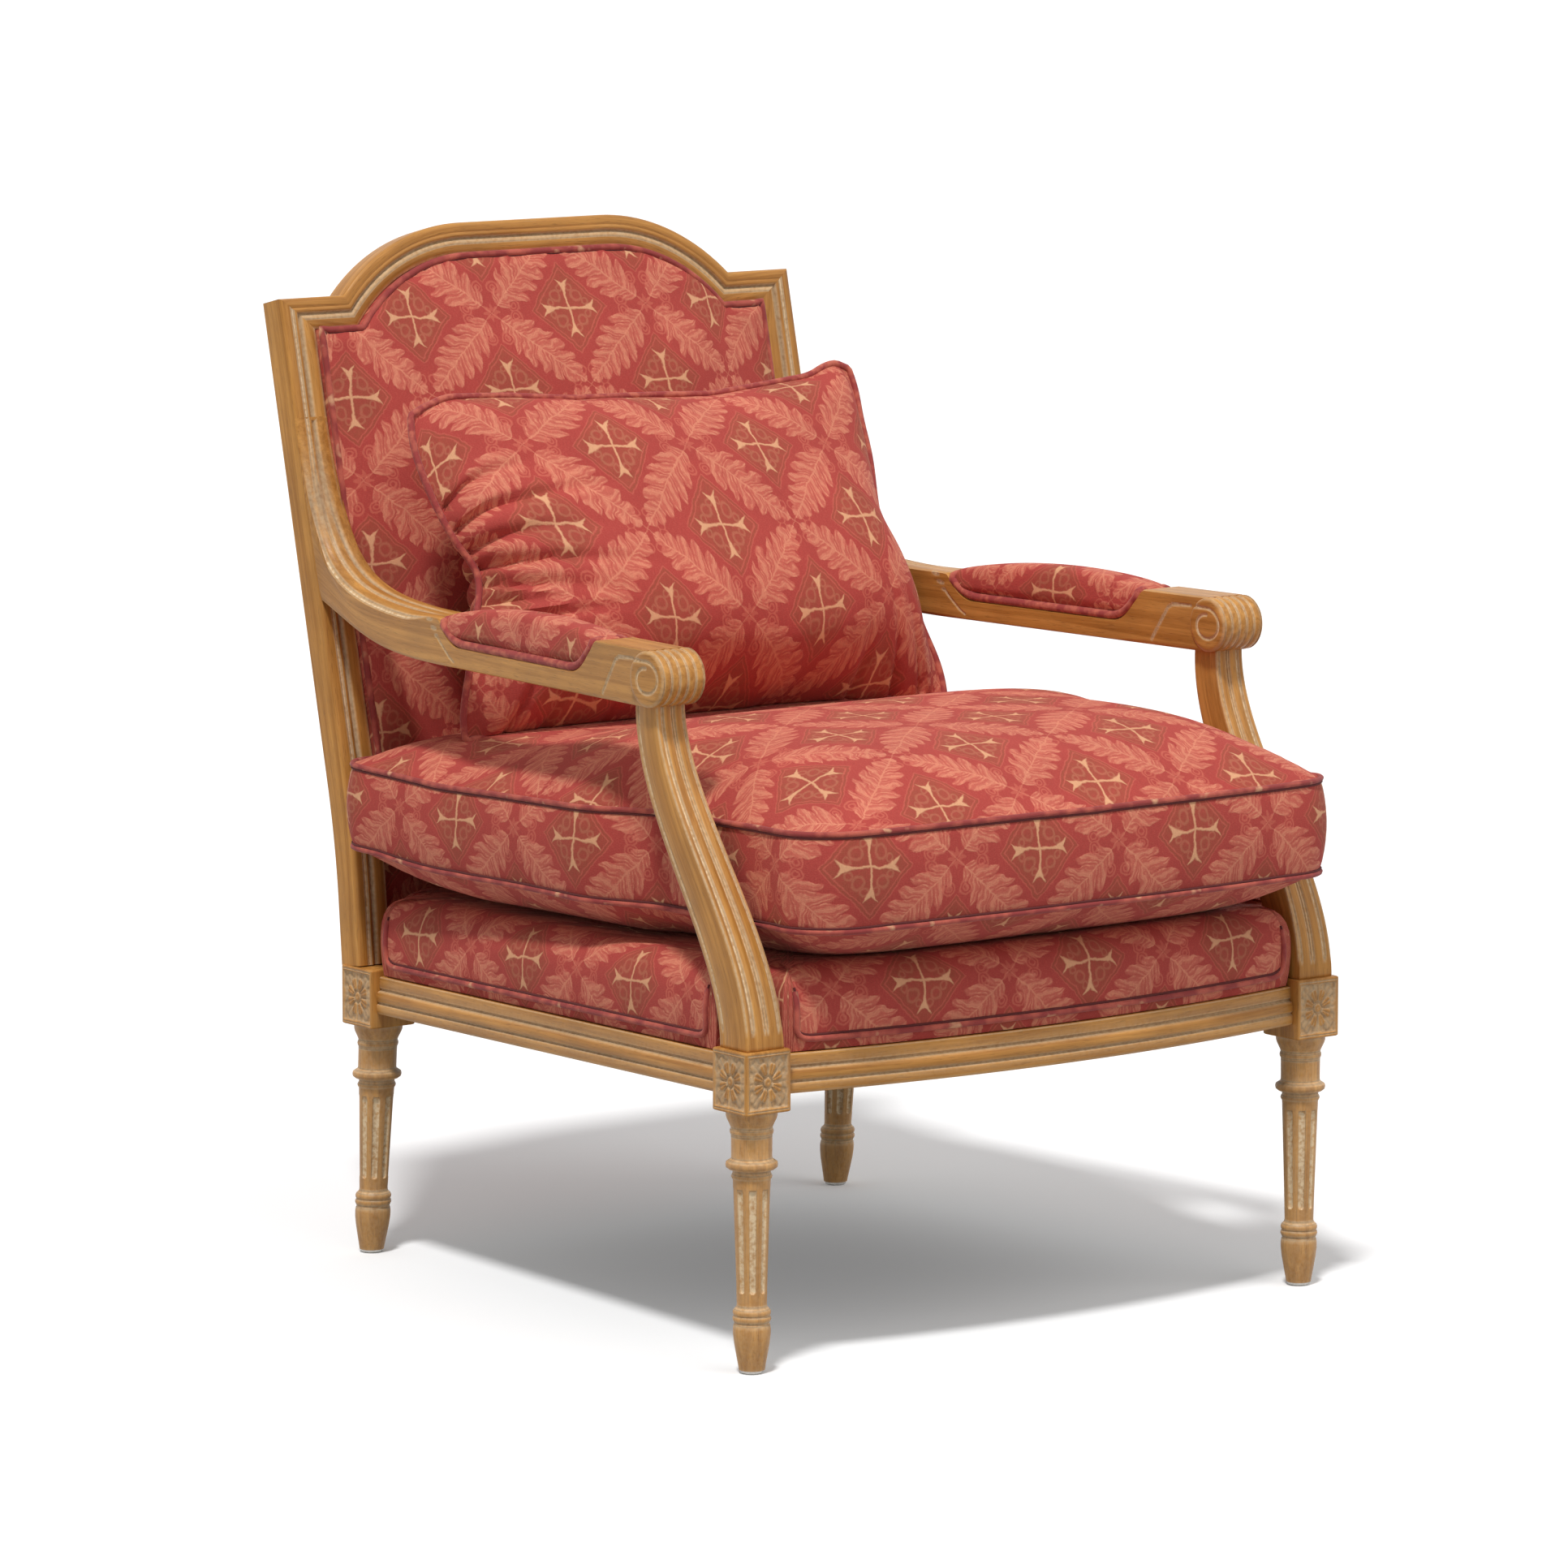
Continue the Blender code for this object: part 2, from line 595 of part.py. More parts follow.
def make_arm_support(name, side, wood):
    """S-shaped support with a tenon down into the leg block and one up into the arm."""
    base = BLOCK_TOP + GAP
    top = ARM_UNDERSIDE - GAP
    rings = [support_tenon(side, BLOCK_TOP, SUPPORT_TENON_LENGTH, 0)[0]]
    half = support_half(BLOCK_TOP) - TENON_SHOULDER
    rings.append(square_ring(Vector((side * support_x(base), support_y(base), base)), half, half, 8))
    for k in range(11):
        z = base + (top - base) * k / 10
        middle = Vector((side * support_x(z), support_y(z), z))
        rings.append(square_ring(middle, support_half(z), support_half_depth(z), 8))
    half = support_half(ARM_UNDERSIDE) - TENON_SHOULDER
    rings.append(square_ring(Vector((side * support_x(top), support_y(top), top)), half, half, 8))
    rings.append(support_tenon(side, ARM_UNDERSIDE, SUPPORT_TENON_LENGTH, 0)[1])
    return loft(name, rings, wood, True)


def arm_x(y):
    """Middle of the right-hand arm, which opens out from the stile to the scroll."""
    rear = stile_y(SWEEP_LOW) - STILE_DEPTH / 2
    return STILE_X + (SCROLL_X - STILE_X) * max(rear - y, 0) / (rear - SCROLL_Y)


def curve_point(points, t):
    """A point of a cubic curve through four handles in the plane of height and depth."""
    a, b, c, d = points
    u = 1 - t
    return a * u ** 3 + b * 3 * u * u * t + c * 3 * u * t * t + d * t ** 3


def stile_face(z):
    """Where an arm's rear end lies against the face of the stile, as depth and height."""
    point = back_point(0, z, -STILE_DEPTH / 2 - GAP)
    return Vector((point.y, point.z))


def sweep_curves():
    """Handles of the arm's lower and upper edges from the pad to the stile."""
    start = SCROLL_Y + RECESS_START + RECESS_LENGTH
    level = Vector((start, ARM_UNDERSIDE))
    low_end = stile_face(SWEEP_LOW)
    run = low_end.x - start
    lower = (level, level + Vector((run * 0.55, 0)), low_end - Vector((run * 0.35, run * 0.11)), low_end)
    high_start = Vector((start, ARM_UNDERSIDE + SWEEP_THICKNESS))
    high_end = stile_face(SWEEP_TOP)
    corner = stile_face(ARM_UNDERSIDE + SWEEP_THICKNESS)
    upper = (high_start, high_start.lerp(corner, SWEEP_FULLNESS), high_end.lerp(corner, SWEEP_FULLNESS),
             high_end)
    return lower, upper


def arm_ring(side, low, high, half):
    """Section of an arm between a point on its lower edge and one on its upper edge."""
    def at(point, across):
        return Vector((side * (arm_x(point.x) + across), point.x, point.y))
    return [at(low, -half), at(low, half), at(high, half), at(high, -half)]


def make_arm(name, side, wood):
    """Arm from its scroll, past the recess for the pad, up its sweep to a tenon in the stile."""
    radius = ARM_HEIGHT / 2
    middle = ARM_UNDERSIDE + radius
    wood_top = ARM_UNDERSIDE + ARM_HEIGHT
    floor = ARM_UNDERSIDE + RECESS_HEIGHT
    sections = []
    for degrees in (14, 32, 50, 70, 90):
        angle = math.radians(degrees)
        y = SCROLL_Y - radius * math.cos(angle)
        rise = radius * math.sin(angle)
        sections.append((Vector((y, middle - rise)), Vector((y, middle + rise)), SCROLL_WIDTH / 2))
    start = SCROLL_Y + RECESS_START
    end = start + RECESS_LENGTH
    tops = ((SCROLL_Y + radius, wood_top), (start, wood_top), (start + RECESS_SLANT, floor),
            (end - RECESS_SLANT, floor))
    for y, top in tops:
        sections.append((Vector((y, ARM_UNDERSIDE)), Vector((y, top)), ARM_WIDTH / 2))
    lower, upper = sweep_curves()
    for k in range(9):
        t = k / 8
        half = (ARM_WIDTH + (ARM_REAR_WIDTH - ARM_WIDTH) * t) / 2
        sections.append((curve_point(lower, t), curve_point(upper, t), half))
    rings = [arm_ring(side, low, high, half) for low, high, half in sections]
    for depth in (-STILE_DEPTH / 2 - GAP, -STILE_DEPTH / 2 + ARM_TENON_LENGTH):
        rings.append(arm_tenon_ring(side, depth, 0))
    arm = loft(name, rings, wood)
    cut(arm, support_tenon(side, ARM_UNDERSIDE, SUPPORT_TENON_LENGTH, GAP), "MANIFOLD")
    return arm


def arm_tenon_ring(side, depth, clearance):
    """Section of the tenon at the rear of an arm, at a depth in the stile."""
    half = ARM_TENON_WIDTH / 2 + clearance
    low, high = ARM_TENON_LOW - clearance, ARM_TENON_HIGH + clearance
    corners = ((-half, low), (half, low), (half, high), (-half, high))
    return [back_point(side * (STILE_X + across), z, depth) for across, z in corners]


def arm_tenon_space(side):
    ends = (-STILE_DEPTH / 2 - ARM_TENON_LENGTH, -STILE_DEPTH / 2 + ARM_TENON_LENGTH + GAP)
    return [arm_tenon_ring(side, depth, GAP) for depth in ends]


def make_arm_pad(name, side, cloth):
    """Stuffed pad in the recess of an arm, crowned across and along."""
    wood_top = ARM_UNDERSIDE + ARM_HEIGHT
    floor = ARM_UNDERSIDE + RECESS_HEIGHT + GAP
    start = SCROLL_Y + RECESS_START
    end = start + RECESS_LENGTH
    half = ARM_WIDTH / 2
    rear_top = ARM_UNDERSIDE + SWEEP_THICKNESS
    rings = []
    for k in range(9):
        t = k / 8
        low_y = start + RECESS_SLANT + GAP * 2 + (RECESS_LENGTH - 2 * RECESS_SLANT - GAP * 4) * t
        high_y = start + GAP * 2 + (RECESS_LENGTH - GAP * 4) * t
        top = wood_top + (rear_top - wood_top) * t + ARM_PAD_CROWN * math.sin(math.pi * t) ** 0.6
        ring = []
        for step in range(11):
            angle = math.pi * step / 10
            rise = max(math.sin(angle), 0) ** 0.6
            y = low_y + (high_y - low_y) * rise
            across = half * math.copysign(abs(math.cos(angle)) ** 0.6, math.cos(angle))
            ring.append(Vector((side * (arm_x(y) + across), y, floor + (top - floor) * rise)))
        rings.append(ring)
    return loft(name, rings, cloth, True)


def rail_inner_x(y):
    """Inner face of the right-hand side rail."""
    return side_rail_x(y) - RAIL_THICKNESS


def make_webbing(linen):
    """Straps tacked to the tops of the rails, woven over and under each other."""
    front = front_rail_inner()
    rear = REAR_LEG_Y + BLOCK_SIDE / 2 - RAIL_INSET - RAIL_THICKNESS
    half = WEB_WIDTH / 2
    rows = [front + (rear - front) * (k + 0.5) / WEB_COUNT for k in range(WEB_COUNT)]
    reach = rail_inner_x(rear) - half
    columns = [reach * (2 * (k + 0.5) / WEB_COUNT - 1) for k in range(WEB_COUNT)]
    lift = WEB_THICKNESS + GAP

    def strap(name, ends, crossings, parity, place):
        stations = [(ends[0], 0)]
        for k, middle in enumerate(crossings):
            level = (k + parity) % 2
            stations += [(middle - half - lift, level), (middle + half + lift, level)]
        stations.append((ends[1], 0))
        rings = []
        for along, level in stations:
            low = WEB_BASE + lift * level
            high = low + WEB_THICKNESS
            corners = ((-half, low), (half, low), (half, high), (-half, high))
            rings.append([place(along, across, z) for across, z in corners])
        loft(name, rings, linen)

    for k, x in enumerate(columns):
        ends = (front - WEB_TACKED, rear + WEB_TACKED)
        strap(f"webbing_long_{k + 1}", ends, rows, k,
              lambda along, across, z, x=x: seat_point(x + across, along, z))
    for k, y in enumerate(rows):
        tip = rail_inner_x(y + half) + WEB_TACKED
        strap(f"webbing_cross_{k + 1}", (-tip, tip), columns, k + 1,
              lambda along, across, z, y=y: seat_point(along, y + across, z))


def deck_outline():
    """Plan of the stuffed deck, which fills the frame round the supports and the rear posts."""
    front_half = FRONT_SPREAD / 2 - max(BLOCK_SIDE, SUPPORT_BASE) / 2 - LIFT_CLEARANCE
    support_rear = support_y(DECK_TOP) + support_half_depth(DECK_TOP)
    behind = max(support_rear, FRONT_LEG_Y + BLOCK_SIDE / 2) + LIFT_CLEARANCE
    before_post = REAR_LEG_Y - BLOCK_SIDE / 2 - LIFT_CLEARANCE
    rear_half = REAR_SPREAD / 2 - BLOCK_SIDE / 2 - LIFT_CLEARANCE
    rear = REAR_LEG_Y + STILE_SETBACK - OUTSIDE_BACK_SETBACK
    steps = 12
    front = [front_half * (2 * k / steps - 1) for k in range(steps + 1)]
    outline = [(x, front_rail_y(x) + DECK_INSET + RAIL_FILLET) for x in front]
    side = [(front_half, behind)]
    for k in range(6):
        y = behind + (before_post - behind) * k / 5
        side.append((side_rail_x(y) - DECK_INSET - RAIL_FILLET, y))
    side += [(rear_half, before_post), (rear_half, rear)]
    mirrored = [(-x, y) for x, y in reversed(side)]
    return outline + side + mirrored


def make_deck(cloth):
    """Stuffed and covered deck on the webbing and the rails."""
    outline = deck_outline()
    middle = (FRONT_LEG_Y + REAR_LEG_Y) / 2
    reach = SEAT_DEPTH / 2
    rings = []
    levels = [(0, DECK_BOTTOM), (0, DECK_TOP - DECK_ROUND), (0.3, DECK_TOP - DECK_ROUND * 0.3), (1, DECK_TOP)]
    for inset, height in levels:
        scale = 1 - inset * DECK_ROUND / reach
        rings.append([seat_point(x * scale, middle + (y - middle) * scale, height) for x, y in outline])
    return loft("seat_deck", rings, cloth, True)


def squeezed_half():
    """Half of the room between the arm supports for the seat cushion, also when it is raised."""
    levels = (CUSHION_LOW_WELT, CUSHION_HIGH_WELT + CUSHION_LIFT)
    return min(support_x(z) - support_half(z) for z in levels) - LIFT_CLEARANCE - CUSHION_BULGE


def squeezed_stretch():
    """Front and rear end of the stretch in which the supports stand beside the cushion."""
    low, high = CUSHION_LOW_WELT, CUSHION_HIGH_WELT + CUSHION_LIFT
    return (support_y(low) - support_half_depth(low) - CUSHION_BULGE,
            support_y(high) + support_half_depth(high) + CUSHION_BULGE)


def cushion_half(y):
    """Half of the seat cushion's width, drawn in where the supports squeeze it."""
    first, last = squeezed_stretch()
    away = max(first - y, y - last, 0) / CUSHION_EASE
    full = CUSHION_WIDTH / 2
    narrow = min(squeezed_half(), full)
    return narrow + (full - narrow) * smooth_step(min(away, 1))


def cushion_outline():
    """Plan of the seat cushion: rounded corners, squeezed sides and a bowed front."""
    half = CUSHION_WIDTH / 2
    front, rear = CUSHION_CORNERS_Y, CUSHION_BACK
    corner = CUSHION_CORNER
    first, last = squeezed_stretch()
    turns = [math.radians(90 * k / 4) for k in range(5)]
    right = [(half - corner + corner * math.sin(a), rear - corner + corner * math.cos(a)) for a in turns]
    behind = last + CUSHION_EASE
    stations = [rear - corner + (behind - rear + corner) * k / 4 for k in range(1, 5)]
    stations += [last + CUSHION_EASE / 2, last, (first + last) / 2, first, first - CUSHION_EASE / 2]
    right += [(cushion_half(y), y) for y in stations]
    right += [(half - corner + corner * math.cos(a), front + corner - corner * math.sin(a)) for a in turns]
    straight = half - corner
    front_run = [(straight * (1 - 2 * k / 7), front) for k in range(1, 7)]
    rear_run = [(straight * (2 * k / 7 - 1), rear) for k in range(1, 7)]
    left = [(-x, y) for x, y in reversed(right)]
    bowed = []
    for x, y in right + front_run + left + rear_run:
        forward = max((rear - corner - y) / (rear - corner - front), 0)
        bowed.append((x, y - CUSHION_FRONT_BOW * forward ** 6 * (1 - (x / half) ** 2)))
    return bowed


def cushion_rise(x, y, fullness):
    """Share of the seat cushion's swelling at a place, none at the edges and all of it in the middle."""
    across = min(abs(x) / (CUSHION_WIDTH / 2), 1)
    along = min(abs(y - CUSHION_MIDDLE) / CUSHION_REACH, 1)
    return (1 - across ** fullness) * (1 - along ** fullness)


def cushion_ring(scale, level, swelling, fullness):
    """The outline of the seat cushion, drawn in to a scale and swollen from a level."""
    ring = []
    for edge_x, edge_y in cushion_outline():
        x = edge_x * scale
        y = CUSHION_MIDDLE + (edge_y - CUSHION_MIDDLE) * scale
        ring.append(seat_point(x, y, level + swelling * cushion_rise(x, y, fullness)))
    return ring


def make_seat_cushion(cloth):
    """Loose boxed cushion with a crowned top, a sagging underside and a slightly swollen band."""
    shares = (0.2, 0.4, 0.54, 0.66, 0.77, 0.86, 0.93, 0.97)
    swollen = 1 + 2 * CUSHION_BULGE / CUSHION_WIDTH
    rings = [cushion_ring(s, CUSHION_LOW_WELT, -CUSHION_BELLY, BELLY_FULLNESS) for s in shares]
    rings.append(cushion_ring(1, CUSHION_LOW_WELT, 0, 1))
    rings.append(cushion_ring(swollen, (CUSHION_LOW_WELT + CUSHION_HIGH_WELT) / 2, 0, 1))
    rings.append(cushion_ring(1, CUSHION_HIGH_WELT, 0, 1))
    rings += [cushion_ring(s, CUSHION_HIGH_WELT, CUSHION_CROWN, CROWN_FULLNESS) for s in reversed(shares)]
    return loft("seat_cushion", rings, cloth, True)


def seat_surface(x, y):
    """Height of the seat cushion's top."""
    return CUSHION_HIGH_WELT + CUSHION_CROWN * cushion_rise(x, y, CROWN_FULLNESS) - seat_fall(y)


def back_pad_bottom():
    return LOWER_RAIL_TOP + GAP


def back_pad_half():
    return STILE_INNER - GAP * 3


def back_pad_depth(x, z):
    """Depth of the back pad's front behind the middle of the stiles, less its crown."""
    across = x / back_pad_half()
    up = (z - back_pad_bottom()) / (crest_low(x) - back_pad_bottom())
    swell = (1 - across ** 4) * max(math.sin(math.pi * min(max(up, 0), 1)), 0) ** 1.2
    return -STILE_DEPTH / 2 - BACK_PAD_PROUD - BACK_PAD_CROWN * swell


def back_pad_face(x, z):
    """Where a level line at a place across and a height meets the front of the back pad."""
    foot = z
    for _ in range(6):
        foot = z + back_pad_depth(x, foot) * math.sin(stile_lean(foot))
    return back_point(x, foot, back_pad_depth(x, foot)).y


def back_columns(half):
    """Places across the back for its padded pieces, at the bends of the arch and between."""
    inner = [x for x in crest_stations(half) if abs(x) < half]
    return [-half] + inner + [half]


def make_back_pad(cloth):
    """Stuffed inside back, crowned forward between the stiles."""
    half = back_pad_half()
    rows = [k / 12 for k in range(13)]

    def height(x, share):
        low = back_pad_bottom()
        return low + (crest_low(x) - GAP * 3 - low) * share

    def front(x, share):
        z = height(x, share)
        return back_point(x, z, back_pad_depth(x, z))

    def back(x, share):
        return back_point(x, height(x, share), BACK_PAD_REAR - GAP)

    return quilt("back_pad", front, back, back_columns(half), rows, cloth)


def make_outside_back(cloth):
    """Covered panel that closes the back from the crest rail down to the rear seat rail."""
    half = STILE_INNER - GAP * 3
    low = RAIL_TOP - SEAT_DROP + BLOCK_HEIGHT - RAIL_HEIGHT
    heights = [0.0, 0.1, 0.2, 0.3, 1.0]

    def height(x, share):
        return low + (crest_low(x) - GAP * 3 - low) * share

    def front(x, share):
        return back_point(x, height(x, share), OUTSIDE_BACK_SETBACK)

    def back(x, share):
        return back_point(x, height(x, share), OUTSIDE_BACK_SETBACK + OUTSIDE_BACK_THICKNESS)

    return quilt("outside_back", front, back, back_columns(half), heights, cloth)


def pillow_surface(sign):
    """One face of the scatter cushion in its own plane, swollen between edges that are drawn in."""
    lean = math.radians(PILLOW_LEAN)
    up = Vector((0, math.sin(lean), math.cos(lean)))
    out = Vector((0, math.cos(lean), -math.sin(lean)))

    def point(u, v):
        blunt = PILLOW_CORNER * (u * v) ** 6
        x = u * (PILLOW_WIDTH / 2 - PILLOW_PULL * (1 - v * v) - blunt)
        rise = v * (PILLOW_HEIGHT / 2 - PILLOW_PULL * (1 - u * u) - blunt)
        swell = PILLOW_THICKNESS / 2 * ((1 - u ** 4) * (1 - v ** 4)) ** 0.62
        return Vector((x, 0, 0)) + up * rise + out * (sign * swell)

    return point


def settled_pillow_place(columns, rows):
    """Where the scatter cushion comes to rest: down on the seat cushion and back against the pad."""
    points = [pillow_surface(sign)(u, v) for sign in (-1, 1) for u in columns for v in rows]
    place = Vector((PILLOW_SHIFT, REAR_LEG_Y - PILLOW_THICKNESS, CUSHION_HIGH_WELT + PILLOW_HEIGHT / 2))
    for _ in range(8):
        moved = [point + place for point in points]
        place.z += max(seat_surface(p.x, p.y) - p.z for p in moved) + GAP
        moved = [point + place for point in points]
        high = [p for p in moved if p.z > back_pad_bottom()]
        place.y += min(back_pad_face(p.x, p.z) - p.y for p in high) - GAP
    return place


def make_scatter_cushion(cloth):
    """Loose knife-edge cushion leaning on the back."""
    columns = [math.sin(math.pi / 2 * k / 10) for k in range(-10, 11)]
    rows = [math.sin(math.pi / 2 * k / 7) for k in range(-7, 8)]
    place = settled_pillow_place(columns, rows)
    front, back = pillow_surface(-1), pillow_surface(1)
    return quilt("scatter_cushion", lambda u, v: front(u, v) + place, lambda u, v: back(u, v) + place,
                 columns, rows, cloth)


def corner_lines(side, at_front):
    """Corner of the inner faces of two rails, and the directions along them into the seat."""
    if at_front:
        y = front_rail_inner()
        along_y = 1
    else:
        y = REAR_LEG_Y + BLOCK_SIDE / 2 - RAIL_INSET - RAIL_THICKNESS
        along_y = -1
    corner = Vector((side * rail_inner_x(y), y, 0))
    far = y + along_y * CORNER_REACH
    beside = Vector((side * rail_inner_x(far), far, 0)) - corner
    return corner, beside.normalized(), Vector((-side, 0, 0))


def corner_place(corner, a, b, height):
    """A point at distances along two rails from their corner, at a height of the seat."""
    plan = corner[0] + corner[1] * a + corner[2] * b
    return seat_point(plan.x, plan.y, height)


def make_corner_block(name, side, at_front, wood, steel):
    """Brace across an inner corner of the seat frame, with two screws into the rails.

    Gives back the spaces that the screws need in the rails.
    """
    corner = corner_lines(side, at_front)
    low = RAIL_BOTTOM + (RAIL_HEIGHT - CORNER_THICKNESS) / 2
    near = CORNER_REACH - CORNER_THICKNESS
    plan = ((CORNER_REACH, GAP), (GAP, CORNER_REACH), (GAP, near), (near, GAP))
    rings = [[corner_place(corner, a, b, z) for a, b in plan] for z in (low, low + CORNER_THICKNESS)]
    block = loft(name, rings, wood)
    height = low + CORNER_THICKNESS / 2
    reach = CORNER_REACH - CORNER_THICKNESS / 2
    holes = []
    for word, along, rail in (("side", (reach, 0), corner[1]), ("cross", (0, reach), corner[2])):
        middle = corner_place(corner, *along, height)
        normal = Vector((-rail.y, rail.x, 0))
        if normal.dot(corner[1] + corner[2]) > 0:
            normal = -normal
        hole = screw_rings(middle, normal, GAP)
        cut(block, hole)
        screw = name.replace("corner_block", f"corner_screw_{word}")
        loft(screw, screw_rings(middle, normal, 0), steel, True)
        holes.append((word, hole))
    return holes


def screw_rings(middle, normal, clearance):
    """A screw square to a rail's inner face: head in the block, shank through it into the rail."""
    seat = CORNER_THICKNESS / 2
    profile = ((-seat - CORNER_THICKNESS, SCREW_HEAD_RADIUS), (-seat + SCREW_HEAD_HEIGHT, SCREW_HEAD_RADIUS),
               (-seat + SCREW_HEAD_HEIGHT, SCREW_RADIUS), (SCREW_BITE, SCREW_RADIUS))
    if clearance == 0:
        profile = ((-seat, SCREW_HEAD_RADIUS),) + profile[1:]
    up = Vector((0, 0, 1))
    across = normal.cross(up).normalized()
    rings = []
    for index, (along, radius) in enumerate(profile):
        ease = clearance if index in (1, 2, 3) else 0
        centre = middle + normal * (along + ease)
        reach = radius + clearance
        turns = [2 * math.pi * k / 8 for k in range(8)]
        rings.append([centre + across * (reach * math.cos(a)) + up * (reach * math.sin(a)) for a in turns])
    return rings


def make_dust_cover(cloth):
    """Thin cloth tacked under the rails, cut away round the leg blocks."""
    front_half = FRONT_SPREAD / 2 - BLOCK_SIDE / 2 - LIFT_CLEARANCE
    rear_half = REAR_SPREAD / 2 - BLOCK_SIDE / 2 - LIFT_CLEARANCE
    front = front_rail_inner() - RAIL_THICKNESS / 2
    behind = FRONT_LEG_Y + BLOCK_SIDE / 2 + LIFT_CLEARANCE
    before = REAR_LEG_Y - BLOCK_SIDE / 2 - LIFT_CLEARANCE
    rear = REAR_LEG_Y + BLOCK_SIDE / 2 - RAIL_INSET - RAIL_THICKNESS / 2
    side = [(front_half, front), (front_half, behind), (rail_inner_x(behind) + RAIL_THICKNESS / 2, behind),
            (rail_inner_x(before) + RAIL_THICKNESS / 2, before), (rear_half, before), (rear_half, rear)]
    plan = side + [(-x, y) for x, y in reversed(side)]
    top = RAIL_BOTTOM - GAP
    rings = [[seat_point(x, y, z) for x, y in plan] for z in (top - DUST_COVER_THICKNESS, top)]
    return loft("dust_cover", rings, cloth)


def make_glide(name, x, y, steel):
    """Domed nail glide under a foot."""
    profile = ((0, GLIDE_RADIUS * 0.9), (GLIDE_THICKNESS * 0.4, GLIDE_RADIUS),
               (GLIDE_THICKNESS, GLIDE_RADIUS), (GLIDE_THICKNESS, NAIL_RADIUS),
               (GLIDE_THICKNESS + NAIL_LENGTH, NAIL_RADIUS))
    return loft(name, [round_ring(Vector((x, y, z)), radius) for z, radius in profile], steel, True)


def sole_middle(x, y, block_bottom, rake):
    """Middle of the sole of a leg, under its nail hole."""
    return x, y + rake * (block_bottom - GLIDE_THICKNESS - GAP) / block_bottom


for old in list(bpy.data.objects):
    bpy.data.objects.remove(old, do_unlink=True)

beech = finish("limed_beech", (0.42, 0.24, 0.10), 0.45)
damask = finish("red_damask", (0.36, 0.055, 0.045), 0.85)
hessian = finish("jute_webbing", (0.45, 0.36, 0.22), 0.9)
cambric = finish("black_cambric", (0.03, 0.03, 0.03), 0.9)
steel = finish("bright_steel", (0.55, 0.55, 0.55), 0.35, 1.0)

cross_rails = {True: make_front_rail(beech), False: make_rear_rail(beech)}
front_shoulder = FRONT_LEG_Y + BLOCK_SIDE / 2
rear_shoulder = REAR_LEG_Y - BLOCK_SIDE / 2

for side, hand in ((-1, "left"), (1, "right")):
    leg = make_front_leg(f"front_leg_{hand}", side, beech)
    cut(leg, cross_rail_mortise(side, FRONT_SPREAD, front_rail_ring))
    cut(leg, side_rail_mortise(side, front_shoulder))
    cut(leg, support_tenon(side, BLOCK_TOP, SUPPORT_TENON_LENGTH, GAP))
    post = make_rear_post(f"rear_post_{hand}", side, beech)
    cut(post, cross_rail_mortise(side, REAR_SPREAD, rear_rail_ring))
    cut(post, side_rail_mortise(side, rear_shoulder))
    cut(post, lower_rail_mortise(side))
    cut(post, arm_tenon_space(side))
    side_rail = make_side_rail(f"side_seat_rail_{hand}", side, beech)
    make_arm_support(f"arm_support_{hand}", side, beech)
    make_arm(f"arm_{hand}", side, beech)
    make_arm_pad(f"arm_pad_{hand}", side, damask)
    for at_front, end in ((True, "front"), (False, "rear")):
        for word, hole in make_corner_block(f"corner_block_{end}_{hand}", side, at_front, beech, steel):
            cut(side_rail if word == "side" else cross_rails[at_front], hole)
    front_sole = sole_middle(side * FRONT_SPREAD / 2, FRONT_LEG_Y, BLOCK_BOTTOM, 0)
    make_glide(f"foot_glide_front_{hand}", *front_sole, steel)
    rear_sole = sole_middle(side * REAR_SPREAD / 2, REAR_LEG_Y, BLOCK_BOTTOM - SEAT_DROP, REAR_LEG_RAKE)
    make_glide(f"foot_glide_rear_{hand}", *rear_sole, steel)

make_crest_rail(beech)
make_lower_back_rail(beech)
make_webbing(hessian)
make_deck(damask)
make_seat_cushion(damask)
make_back_pad(damask)
make_outside_back(damask)
make_scatter_cushion(damask)
make_dust_cover(cambric)
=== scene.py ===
"""Fauteuil in limed beech and red damask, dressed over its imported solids."""

import json
import math

import bmesh
import bpy
import numpy as np
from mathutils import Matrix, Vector
from mathutils.bvhtree import BVHTree

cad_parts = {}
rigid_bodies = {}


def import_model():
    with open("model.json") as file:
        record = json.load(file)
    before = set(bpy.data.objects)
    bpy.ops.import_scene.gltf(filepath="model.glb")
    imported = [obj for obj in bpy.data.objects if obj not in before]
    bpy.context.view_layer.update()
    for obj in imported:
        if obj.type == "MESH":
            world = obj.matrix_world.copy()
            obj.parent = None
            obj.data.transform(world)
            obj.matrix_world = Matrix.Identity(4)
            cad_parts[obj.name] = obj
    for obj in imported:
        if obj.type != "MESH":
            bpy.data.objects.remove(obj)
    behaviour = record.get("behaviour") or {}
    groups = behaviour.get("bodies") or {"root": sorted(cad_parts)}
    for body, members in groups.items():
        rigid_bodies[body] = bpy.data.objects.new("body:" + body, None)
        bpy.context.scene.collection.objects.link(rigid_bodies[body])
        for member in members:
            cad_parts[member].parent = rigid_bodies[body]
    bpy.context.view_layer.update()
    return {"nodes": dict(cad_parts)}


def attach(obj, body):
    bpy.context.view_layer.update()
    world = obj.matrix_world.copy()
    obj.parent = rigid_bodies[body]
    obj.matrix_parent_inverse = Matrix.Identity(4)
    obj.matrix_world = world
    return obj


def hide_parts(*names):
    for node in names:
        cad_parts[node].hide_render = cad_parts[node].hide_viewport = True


for old in list(bpy.data.objects):
    bpy.data.objects.remove(old, do_unlink=True)

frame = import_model()


# Front legs
# Each is one length of beech, turned to a fluted taper below a square block with a carved rosette.
# The block takes the seat rails' tenons, and white lime wax is left in the hollows of the turning.

